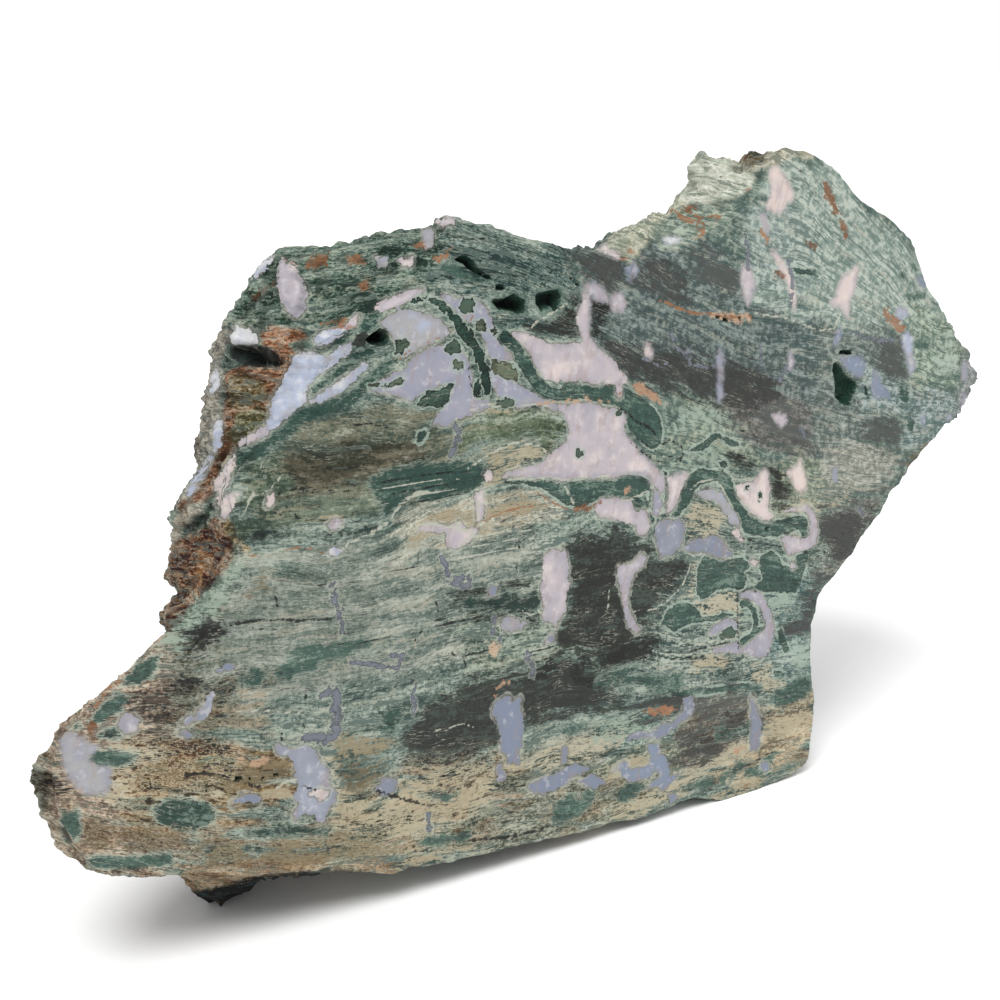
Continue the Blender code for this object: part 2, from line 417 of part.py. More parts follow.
def back_points(edge_ring):
    """Points of the natural back, inside its edge."""
    polygon = [(p.x, p.y) for p in edge_ring]
    xs = [p[0] for p in polygon]
    ys = [p[1] for p in polygon]
    rows = int((max(ys) - min(ys)) / (BACK_SPACING * BACK_ROW_STEP)) + 2
    cols = int((max(xs) - min(xs)) / BACK_SPACING) + 2
    points = []
    for r in range(rows):
        for c in range(cols):
            x = min(xs) + (c + 0.5 * (r % 2)) * BACK_SPACING
            y = min(ys) + r * BACK_SPACING * BACK_ROW_STEP
            x += BACK_JITTER * noise.noise(Vector((c * 1.7, r * 1.3, 2.0)))
            y += BACK_JITTER * noise.noise(Vector((c * 1.7, r * 1.3, 8.0)))
            if not inside(polygon, x, y):
                continue
            gap = edge_distance(polygon, x, y)
            if gap < BACK_EDGE_GAP:
                continue
            weight = 0.0
            depth = 0.0
            for p in edge_ring:
                w = 1.0 / (math.hypot(p.x - x, p.y - y) ** 3)
                weight += w
                depth += w * p.z
            depth /= weight
            depth += BACK_DOME * (1.0 - math.exp(-gap / BACK_DOME_REACH))
            points.append(Vector((x, y, depth)))
    return points


def roughen(bm, amounts):
    """Push the broken surfaces in and out: noise that follows the grain, lumps and hollows."""
    bm.normal_update()
    moves = {}
    for v in bm.verts:
        amount = amounts.get(v, 0.0)
        if amount <= 0.0:
            continue
        p = v.co
        coarse = grain_noise(p, COARSE_SIZE, 1.0)
        fine = grain_noise(p, FINE_SIZE, 2.0)
        push = ROUGH_COARSE * coarse * 2.0 + ROUGH_FINE * fine * 2.0
        if p.z > BACK_FROM_DEPTH:
            q = Vector((p.x / (BACK_RIDGE_SIZE * GRAIN_STRETCH), p.y / BACK_RIDGE_SIZE, 0.3))
            push += BACK_RIDGE * (1.0 - 2.0 * abs(noise.noise(q + NOISE_SEED) * 2.0))
        for centre, reach, height in LUMPS:
            x = (p.x - centre[0]) / reach[0]
            y = (p.y - centre[1]) / reach[1]
            z = (p.z - centre[2]) / reach[2]
            far = x * x + y * y + z * z
            if far < LUMP_REACH_LIMIT:
                push += height * math.exp(-far)
        moves[v] = v.normal * push * amount
    for v, move in moves.items():
        v.co = v.co + move


def build_slab():
    bm = bmesh.new()
    rings = wall_rings(section_columns())
    chip_rim(rings[0])
    walls = [[bm.verts.new(p) for p in ring] for ring in rings]
    amounts = {}
    for k, ring in enumerate(walls):
        for v in ring:
            amounts[v] = RIM_FADE[k] if k < len(RIM_FADE) else 1.0
    for r, (a, b) in enumerate(zip(walls, walls[1:])):
        for i in range(COLUMNS):
            j = (i + 1) % COLUMNS
            if (i + r) % 2:
                bm.faces.new((a[i], a[j], b[j]))
                bm.faces.new((a[i], b[j], b[i]))
            else:
                bm.faces.new((a[i], a[j], b[i]))
                bm.faces.new((a[j], b[j], b[i]))
    # Polished face with its hollows
    outlines = [fine_outline(outline) for outline, _ in FACE_HOLLOWS]
    rims = [add_hollow(bm, outline, hollow[1]) for outline, hollow in zip(outlines, FACE_HOLLOWS)]

    def on_front(x, y):
        return not any(inside(o, x, y) for o in outlines)

    fill_flat(bm, [walls[0]] + rims, [], on_front)
    # Natural back
    back = [bm.verts.new(p) for p in back_points(rings[-1])]
    for v in back:
        amounts[v] = 1.0
    fill_flat(bm, [walls[-1]], back, lambda x, y: True)
    bmesh.ops.recalc_face_normals(bm, faces=bm.faces)
    roughen(bm, amounts)
    return bm


def stand_up(bm):
    """Turn the face frame into the standing stone and flatten its feet."""
    lean = math.radians(LEAN_DEG)
    for v in bm.verts:
        u, w, d = v.co
        up = w * math.cos(lean) - d * math.sin(lean)
        back = w * math.sin(lean) + d * math.cos(lean)
        foot = any(f[0] <= u <= f[1] and f[2] <= d <= f[3] for f in FEET)
        if up < 0.0 or (foot and up < FOOT_CATCH):
            up = 0.0
        v.co = Vector((u, back, up)) * MM
    lows = [min(v.co[i] for v in bm.verts) for i in range(3)]
    highs = [max(v.co[i] for v in bm.verts) for i in range(3)]
    shift = Vector(((lows[0] + highs[0]) / 2, (lows[1] + highs[1]) / 2, lows[2]))
    for v in bm.verts:
        v.co -= shift


def main():
    clear_scene()
    bm = build_slab()
    stand_up(bm)
    bmesh.ops.recalc_face_normals(bm, faces=bm.faces)
    mesh = bpy.data.meshes.new("slab")
    bm.to_mesh(mesh)
    bm.free()
    slab = bpy.data.objects.new("slab", mesh)
    bpy.context.scene.collection.objects.link(slab)
    stone = bpy.data.materials.new("slab_stone")
    stone.use_nodes = True
    shader = stone.node_tree.nodes["Principled BSDF"]
    shader.inputs["Base Color"].default_value = COLOUR
    shader.inputs["Roughness"].default_value = ROUGHNESS
    mesh.materials.append(stone)


main()
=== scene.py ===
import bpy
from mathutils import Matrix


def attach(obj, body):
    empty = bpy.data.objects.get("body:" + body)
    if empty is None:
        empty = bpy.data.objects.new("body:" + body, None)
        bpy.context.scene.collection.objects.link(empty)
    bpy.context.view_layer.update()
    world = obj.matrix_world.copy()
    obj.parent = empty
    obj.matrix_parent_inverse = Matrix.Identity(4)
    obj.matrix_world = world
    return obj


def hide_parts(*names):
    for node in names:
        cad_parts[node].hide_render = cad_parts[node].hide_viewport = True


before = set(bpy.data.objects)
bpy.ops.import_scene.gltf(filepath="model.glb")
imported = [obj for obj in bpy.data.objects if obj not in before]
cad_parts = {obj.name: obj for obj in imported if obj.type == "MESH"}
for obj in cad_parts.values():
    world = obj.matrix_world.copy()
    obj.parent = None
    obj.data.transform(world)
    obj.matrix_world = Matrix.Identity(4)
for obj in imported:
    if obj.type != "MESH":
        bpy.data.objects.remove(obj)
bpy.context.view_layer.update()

# Petrified wood slab: fine broken surfaces, the polished face and its markings, seen as in the photograph
import math

import bpy
import numpy as np
from mathutils import Vector, noise
from mathutils.geometry import delaunay_2d_cdt

# The face frame in millimetres: u along the polished face, v up the face, d behind it
LEAN = math.radians(6.0)
U_SHIFT = 100.110
Y_SHIFT = -28.598
MM = 0.001

# Camera in the row frame, millimetres
CAMERA_TARGET = (-24.61, -28.60, 66.7)
CAMERA_DISTANCE = 240.0
CAMERA_AZIMUTH = math.radians(-32.0)
CAMERA_ELEVATION = math.radians(16.0)
CAMERA_LENS = 54.0
CAMERA_SENSOR = 36.0
CAMERA_CLIP_START_M = 0.01

# How near the solid's vertices lie to the polished plane and to the floor that they belong to, millimetres
ON_FACE = 0.02
ON_FLOOR = 0.05

# Mesh sizes, millimetres: polished face, rim, broken surfaces that the camera sees, hidden ones
FACE_STEP = 0.58
RIM_STEP = 0.62
SEEN_STEP = 0.62
HIDDEN_STEP = 1.9
# Growth of the hidden triangles with each millimetre behind the face, and how deep the rim's sizes reach
HIDDEN_GROWTH = 0.11
RIM_DEPTH = 0.3
# Space left between the even points of the face and its rim, and between them and a hollow's outline
RIM_GAP = 0.33
HOLLOW_GAP = 0.24
OUTLINE_STEP = 0.45
# An edge is split when it is this many times as long as wanted
SPLIT_OVER = 1.35
SPLIT_ROUNDS = 7
# Each round of smoothing moves the vertices towards their neighbours and back
SMOOTH_ROUNDS = 7
SMOOTH_STEPS = (0.55, -0.57)
# Cosine of the angle to the camera above which a vertex gets the fine mesh, and the full relief
FINE_LOOK = -0.12
RELIEF_LOOK = -0.1

# Each round of work takes at most this many points: against a long outline, and against the grain curves
FEW_POINTS = 4000
MANY_POINTS = 20000
# Guards against division by nothing and a logarithm of nothing
TINY = 1e-9
SMALLEST_SQUARE = 1e-12
# Vertices that share a place to a thousandth of a millimetre are one
WELD_PER_METRE = 1e6
# Points of the face nearer than this many millimetres are one
MERGE_GAP = 1e-6
# Triangulation that drops what lies outside the outlines
KEEP_INSIDE = 1
# How freely the layers pass by the grain curves
GRAIN_EASE = 2.0

# Distances in millimetres over which the relief grows: behind the rim, above the floor, and for the forms and
# the corrections of the outline behind the rim; the forms also grow with the look to the camera
RIM_FADE = 2.0
FLOOR_FADE = 2.5
FORMS_FADE = 1.0
NUDGE_FADE = 4.0
FORMS_LOOK = 0.25
# Where the slope of a hollow starts inside its outline, and of a form outside its own
HOLLOW_LIP = 0.02
FORM_LIP = 0.1

# What brings the noise to about -1 to 1
NOISE_GAIN = 1.6
# Chips of the rim: size and amount in millimetres, then a salt along u and along v
RIM_CHIPS = ((2.6, 0.22), (0.9, 0.16))
RIM_SALTS = (3.7, 9.1)
# Unsteadiness of the hollows' outlines: amount and size in millimetres, a salt along u and along v
OUTLINE_WOBBLE = 0.12
OUTLINE_WOBBLE_SIZE = 0.9
OUTLINE_SALTS = (5.3, 7.9)
# Floors of the hollows: size in millimetres, salt and weight of each noise
BOWLS = ((1.6, 2.2, 0.28), (0.7, 4.4, 0.14))
# Patterns of the broken surfaces: size in millimetres along u, the grain or v, and d, then a salt
LEDGES = ((9.0, 2.6, 5.0), 4.4)
GRIT = ((3.2, 2.4, 3.0), 12.1)
FINE_GRIT = ((1.5, 1.2, 1.4), 15.3)
STEP_BENDS = ((7.0, 5.0, 6.0), 8.8)
BLOCKS = ((4.2, 2.2, 3.6), 3.3)
CHIPS = ((2.6, 1.6, 2.4), 6.1)

# Heights of the broken surfaces' relief, millimetres
LEDGE_HEIGHT = 0.32
STEP_HEIGHT = 0.28
BLOCK_HEIGHT = 0.62
GRIT_HEIGHT = 0.22
FINE_GRIT_HEIGHT = 0.08
CHIP_HEIGHT = 0.14
# Share of the small relief on hidden surfaces, and how far all of it is sunk
HIDDEN_SHARE = 0.6
RELIEF_SINK = 0.1
# Share of the larger relief that counts for the painted highlight on the high spots and the painted shade in
# the dips
SHADING_RELIEF_SHARE = 0.5
# Steps along the layers: height of one step, how far it bends, share of it that rises slowly, level that
# counts as zero
STEP_RISE = 1.7
STEP_BEND = 0.9
STEP_SLOPE = 0.75
STEP_LEVEL = 0.5
# Blocks: how much nearer the nearest cell is than the next where a block is full, level that counts as zero
BLOCK_FULL = 0.45
BLOCK_LEVEL = 0.6

# Drift of the points that the blocks, the grain and the hidden zones are read at: amount and size in
# millimetres, a salt for each direction
BLOCK_DRIFT = (0.8, 3.0, (2.1, 5.2, 8.3))
GRAIN_DRIFT = (0.6, 8.0, (1.1, 2.3, 3.7))
GRAIN_RIPPLE = (0.14, 2.2, (4.1, 5.3, 6.7))
BACK_WANDER = (5.0, 13.0, (5.9, 8.1))
# How much the patterns along the grain lean over from one layer to the next
GRAIN_SLANT = 0.3

# Patterns of the colour: size in millimetres, salt and weight of each noise in the sum
WIDE_BANDS = (((13.0, 1.7, 7.0), 1.3, 1), ((6.0, 0.9, 4.0), 2.4, 0.6))
TAN_BANDS = (((8.0, 1.8, 5.0), 9.3, 1), ((3.0, 0.8, 2.5), 3.9, 0.5))
CLOUDS = ((5.0, 2.9, 1), (2.0, 7.1, 0.5))
SLOW_SPOTS = ((2.6, 8.5, 1), (1.3, 4.6, 0.4))
VEIN_GATES = (((6.0, 3.0, 4.0), 14.2, 1),)
FEATHERS = (((9.0, 1.3, 6.0), 18.4, 1), ((4.5, 0.7, 3.0), 16.3, 0.6))

# Cosine of the angle to the camera at which a surface counts as fully seen
SEEN_LOOK = 0.2

# How far from its outline a mark still counts, and how far from a line, millimetres
CRISP_REACH = 2.0
SOFT_REACH = 6.0
LINE_REACH = 2.0
# Distance given to the points that no line is near, in half widths of the line
FAR_FROM_LINE = 9.0
# Half width of the edges of the parts with a habit of their own, and of the frayed ones, millimetres
PART_EDGE = 2.0
FRAY_EDGE = 1.0
# Share of the feathering that the zones' edges have on the broken surfaces, and the most of it anywhere
WALL_WARP = 0.3
MOST_WARP = 2.5

# Layers of the grain: a height for each curve that follows the grain across the face
GRAIN = (
    (5, ((8, 23), (25, 14.5), (45, 9), (70, 4), (100, 1), (140, -1))),
    (15, ((3, 31), (12, 27), (25, 21.5), (40, 16.8), (60, 14), (90, 12), (120, 10), (148, 8))),
    (25, ((2, 37.5), (12, 35), (25, 31), (38, 27), (60, 24.5), (90, 22.5), (115, 20), (148, 17))),
    (35, ((6, 43), (15, 41.5), (28, 38.5), (45, 35.5), (70, 33), (90, 33), (104, 31), (125, 27), (148, 25))),
    (45, ((12, 49), (25, 47.4), (40, 45.6), (55, 44.6), (75, 44.8), (95, 43.6), (118, 40), (135, 37),
        (150, 34))),
    (55, ((24, 57.6), (32, 56), (40, 54.6), (50, 53.4), (62, 53), (75, 53.6), (90, 53.6), (112, 52), (130, 48),
        (150, 43))),
    (65, ((28, 66), (34, 64.6), (42, 63.2), (50, 62.4), (60, 63.4), (70, 65), (80, 66), (100, 65), (116, 60),
        (135, 55), (155, 50))),
    (75, ((35, 75), (50, 73), (65, 72), (85, 74), (105, 71), (120, 67), (138, 60), (160, 54))),
    (85, ((45, 84), (60, 82), (75, 83), (90, 82), (105, 79), (125, 71), (145, 64), (172, 57))),
    (95, ((55, 92), (70, 95), (85, 94), (98, 90), (112, 82), (128, 73.5), (148, 67), (176, 60))),
    (105, ((70, 104), (85, 101), (98, 95), (116, 87), (133, 78.5), (150, 72), (172, 65))),
    (115, ((85, 107), (98, 102), (106, 97), (121, 90), (137, 83), (155, 79), (172, 74), (189, 69))),
    (125, ((100, 106), (108, 103), (121.5, 95), (132.4, 90.5), (145, 88), (160, 85), (172, 80), (189, 74))),
    (135, ((122, 104), (135, 98), (150, 95), (160, 90.5), (172, 84.5), (184, 78))),
    (145, ((130, 110), (140, 106), (150, 103), (157, 98), (172, 88.5), (181, 83))),
    (155, ((142, 117), (150, 113), (160, 105), (170, 97), (180, 88))),
)

# Corrections of the broken outline as the camera sees it: place (u', v'), radius, move along x and z
NUDGES = (
    (20.4, 52.6, 5.0, 2.2, 0.0),
    (17.0, 50.0, 4.0, 1.4, -0.8),
    (14.0, 47.0, 4.0, 0.8, -0.6),
    (23.4, 67.4, 4.5, 2.2, 0.0),
    (27.4, 77.0, 4.5, 1.3, 0.0),
    (20.6, 61.0, 3.0, -1.0, 0.0),
    (18.0, 63.0, 7.0, 1.2, 0.0),
    (30.7, 90.2, 4.0, 0.6, 0.0),
    (101.0, 105.5, 3.0, 0.0, -1.0),
    (116.5, 111.0, 4.0, 0.0, -1.9),
    (121.6, 115.0, 3.0, 0.6, -0.4),
    (124.6, 118.5, 3.4, 0.0, 1.2),
    (130.0, 118.0, 4.0, 0.0, 2.6),
    (135.5, 118.5, 3.0, 0.0, 1.3),
    (39.5, 9.8, 6.0, 0.0, -1.2),
    (26.5, 9.0, 3.0, 0.0, 0.5),
    (0.0, 37.0, 4.5, -1.0, 0.0),
    (193.3, 73.1, 5.0, 1.7, 0.0),
    (185.7, 87.5, 3.0, 1.6, 0.0),
    (17.5, 15.5, 2.5, 0.0, 0.4),
)

# Outlines of the left broken surface that give both a form and a mark or a zone
CAVE = ((34.9, 94.2), (36.4, 94.5), (39.7, 94.1), (42.1, 93.1), (43.5, 91.6), (41.9, 90.8), (38.5, 90.8),
    (36.1, 91.8), (35, 93))
OLIVE_LEDGE = ((35, 84.5), (35.9, 84.8), (38.8, 84.9), (40, 83.9), (39.4, 81.6), (36.7, 80.4), (34.2, 79.5),
    (33.5, 81.6))
BROWN_LEDGE = ((34.3, 90), (36.8, 90.2), (39.6, 89.1), (40.3, 87.1), (38.9, 85.6), (35.5, 84.9), (33.5, 85.5))
GREEN_RIDGE = ((45.6, 84.6), (46.2, 86.6), (48.6, 87.7), (51, 88.7), (54, 90.6), (57.4, 92.4), (58.6, 91.4),
    (55, 88.9), (52, 87.3), (49, 86.1), (46.8, 85))

# Forms of the broken surfaces: height, width of the sloping side, outline as the camera sees it
WALL_FORMS = (
    (-3.4, 1.0, CAVE),
    (0.9, 0.8, ((35, 96.5), (36.6, 97.1), (39, 96.3), (39.6, 95.3), (38.9, 94.4), (36.4, 94.5), (35.2, 95))),
    (0.9, 1.4, OLIVE_LEDGE),
    (0.7, 1.2, BROWN_LEDGE),
    (-1.6, 1.2, ((32.8, 87), (33.4, 90), (34.4, 88), (34, 84), (33.4, 80), (31.4, 76), (28, 72.6), (26.6, 73.1),
        (30.3, 77.3), (32.6, 80.9))),
    (-1.2, 0.8, ((25.4, 69), (28.4, 70.5), (31.1, 73.3), (31, 71), (27.7, 68), (26.1, 67.2))),
    (0.8, 0.6, ((43.6, 107), (44.8, 106.4), (46.6, 104.6), (47.6, 102), (47.2, 99.2), (45.6, 97.8),
        (43.6, 100.6), (43.4, 104))),
    (1.2, 0.8, GREEN_RIDGE),
    (1.1, 0.7, ((47.4, 92.6), (50, 93.8), (53, 94.8), (56, 95.4), (55.6, 94), (51, 92.6), (49, 92.2))),
    (-0.8, 0.8, ((46, 88.6), (50, 91.6), (55, 94), (56.4, 93), (52, 90.4), (48, 88.6))),
    (1.3, 0.9, ((56, 95.6), (57.4, 96.8), (59.6, 98.1), (60.2, 97.4), (59.8, 96), (58, 94.6), (56.4, 94.6))),
    (-2.2, 0.9, ((54.6, 92.9), (55.8, 94.4), (57.4, 94.4), (57.4, 93), (56, 92.2))),
    (-0.9, 0.6, ((34.4, 77.9), (37, 78.8), (39.2, 80.2), (38.6, 78.5), (36.6, 77.4))),
    (1.0, 1.0, ((103, 104.4), (107, 106.6), (114, 109.8), (119, 110.8), (119, 108), (113, 106), (106, 103.6))),
    (-0.8, 0.6, ((121.6, 113.2), (127, 113.4), (133, 114.6), (133.4, 113.8), (127, 112.4), (122, 112.2))),
    (0.8, 0.8, ((119, 110.8), (124, 111.8), (131, 112.2), (131, 110.2), (124, 109.6), (119.6, 109.4))),
    (-0.9, 0.8, ((0.6, 34), (1.2, 37), (3, 37), (3.4, 34.4), (2, 33))),
)

# Parts of the surface with a habit of their own, each a strength and an outline. Marks without rims:
SOFT_PARTS = (
    (1.0, ((2, 30), (3, 44), (8, 43), (12, 36), (11, 31))),
    (1.0, ((104, 62), (108, 84), (98, 90), (96, 112), (150, 124), (200, 90), (196, 60), (166, 50), (142, 58),
        (130, 64))),
)
# Ground with little contrast:
CALM_PARTS = (
    (0.75, ((26, 36), (27, 52), (34, 60), (36, 62.4), (48, 61), (54, 62), (70, 62), (86, 58), (84, 50),
        (70, 50), (66, 40), (44, 38))),
    (0.85, ((33, 66), (35, 78), (46, 84), (66, 83), (76, 79), (90, 77), (90, 72), (76, 70), (70, 66), (56, 65),
        (44, 66))),
)
# Frayed teal marks:
RAGGED_PARTS = (
    (0.75, ((33, 61.6), (33, 68), (58, 67), (58, 62))),
    (0.6, ((70, 92), (70, 106), (96, 101), (96, 92), (84, 93))),
    (0.3, ((-10, 0), (-10, 60), (30, 60), (30, 0))),
    (0.75, ((30, 0), (30, 60), (56, 60), (76, 54), (90, 30), (116, 20), (150, 22), (152, -10), (0, -10))),
    (0.6, ((150, 40), (150, 124), (200, 124), (200, 40))),
    (0.6, ((32, 74), (32, 100), (62, 100), (62, 86), (50, 80))),
    (0.6, ((90, 26), (92, 34), (122, 34), (122, 22))),
    (0.6, ((52, 62), (52, 74), (80, 74), (80, 68.6), (76, 66))),
    (0.5, ((68, 44), (68, 51), (89, 51), (89, 44))),
)
# Porous stone:
PORE_PARTS = (
    (1.0, ((8, 34), (14, 39), (26, 37), (31, 33), (30, 28), (20, 26), (10, 28))),
    (0.6, ((8, 28), (4, 32), (2, 28), (6, 20), (20, 15), (34, 15), (46, 12), (58, 10), (60, 16), (44, 20),
        (30, 22), (18, 26))),
    (0.6, ((46, 10), (46, 20), (62, 24), (80, 22), (84, 12), (70, 6))),
    (0.5, ((20, 42), (22, 36), (36, 35), (38, 44), (28, 46))),
    (0.4, ((84, 4), (84, 12), (108, 13), (108, 4))),
)

# Hollows of the polished face: floor depth, width of the sloping side, outline (u, v)
HOLLOWS = (
    (3.0, 0.9, ((80.2, 97.6), (81.4, 97.9), (82.8, 97.8), (84.6, 98.5), (86.8, 97.2), (86.7, 95.0),
        (85.4, 94.9), (83.6, 95.5), (81.8, 95.9), (80.8, 96.6))),
    (2.4, 0.8, ((88.6, 98.0), (90.4, 98.3), (93.2, 98.5), (94.3, 97.6), (93.6, 95.8), (92.4, 94.3),
        (91.6, 95.6), (89.8, 94.9), (88.8, 96.2))),
    (2.8, 0.7, ((73.4, 104.7), (75.8, 105.2), (77.4, 104.2), (78.2, 102.9), (79.6, 102.0), (81.4, 101.3),
        (80.0, 100.8), (78.0, 101.7), (76.2, 102.8), (75.2, 103.7))),
    (2.0, 0.6, ((80.4, 100.0), (82.0, 100.3), (83.4, 99.8), (82.8, 98.8), (81.4, 99.1))),
    (1.6, 0.4, ((94.0, 102.0), (95.4, 101.2), (96.8, 99.7), (98.4, 98.3), (97.4, 98.4), (95.8, 99.8),
        (94.6, 101.0))),
    (3.4, 1.0, ((56.6, 93.0), (57.8, 94.0), (59.8, 95.0), (61.4, 94.5), (61.6, 92.9), (60.4, 92.0),
        (58.4, 92.3))),
    (1.8, 0.4, ((125.9, 91.5), (127.6, 91.2), (128.8, 90.7), (130.6, 90.5), (130.3, 89.8), (129.2, 89.9),
        (127.6, 90.5), (126.2, 91.0))),
    (1.6, 0.35, ((131.9, 90.6), (133.6, 90.6), (135.1, 90.4), (134.6, 89.8), (132.2, 89.9))),
    (1.6, 0.7, ((155.0, 80.2), (156.6, 80.2), (157.6, 78.6), (159.0, 77.4), (160.8, 76.2), (161.2, 74.8),
        (160.6, 73.0), (158.8, 71.3), (156.6, 72.2), (155.3, 73.6), (155.4, 76.0), (154.8, 78.4))),
    (1.8, 0.3, ((156.3, 82.0), (157.6, 82.3), (160.0, 82.0), (163.0, 82.0), (161.6, 81.2), (158.6, 81.1),
        (156.8, 81.3))),
    (1.5, 0.4, ((23.5, 31.1), (27, 30.1), (30, 29), (33, 28.1), (37.6, 27.8), (38, 27.3), (34, 27.4),
        (30, 28.3), (26, 29.8))),
    (1.8, 0.3, ((45.2, 27.3), (48, 27.3), (51, 27.2), (54, 26.8), (58, 25.8), (57.5, 25.4), (54, 26.3),
        (51, 26.7), (47.5, 26.9))),
    (0.9, 0.4, ((45.2, 59.5), (45.6, 60.3), (46.3, 60.0), (46.1, 59.3))),
    (0.8, 0.3, ((136.8, 50.4), (137.4, 51.2), (138.3, 50.8), (137.6, 50.1))),
    (0.9, 0.3, ((91.7, 81.9), (92.6, 82.1), (93.1, 81.9), (92.7, 81.4), (91.8, 81.4))),
    (0.9, 0.3, ((93.7, 82.9), (95.7, 82.7), (95.5, 82.2), (93.8, 82.3))),
    (0.9, 0.3, ((98.3, 82.3), (99.9, 81.8), (100.1, 81.2), (98.7, 81.5))),
    (0.8, 0.3, ((163.0, 74.6), (163.8, 75.4), (164.3, 73.6), (165.1, 72.0), (164.3, 71.8), (163.4, 73.0))),
    (0.8, 0.3, ((161.3, 72.4), (162.1, 72.4), (162.1, 71.2), (161.2, 71.2))),
    (0.8, 0.3, ((169.3, 69.4), (171.5, 69.3), (171.2, 68.8), (169.8, 68.7))),
)
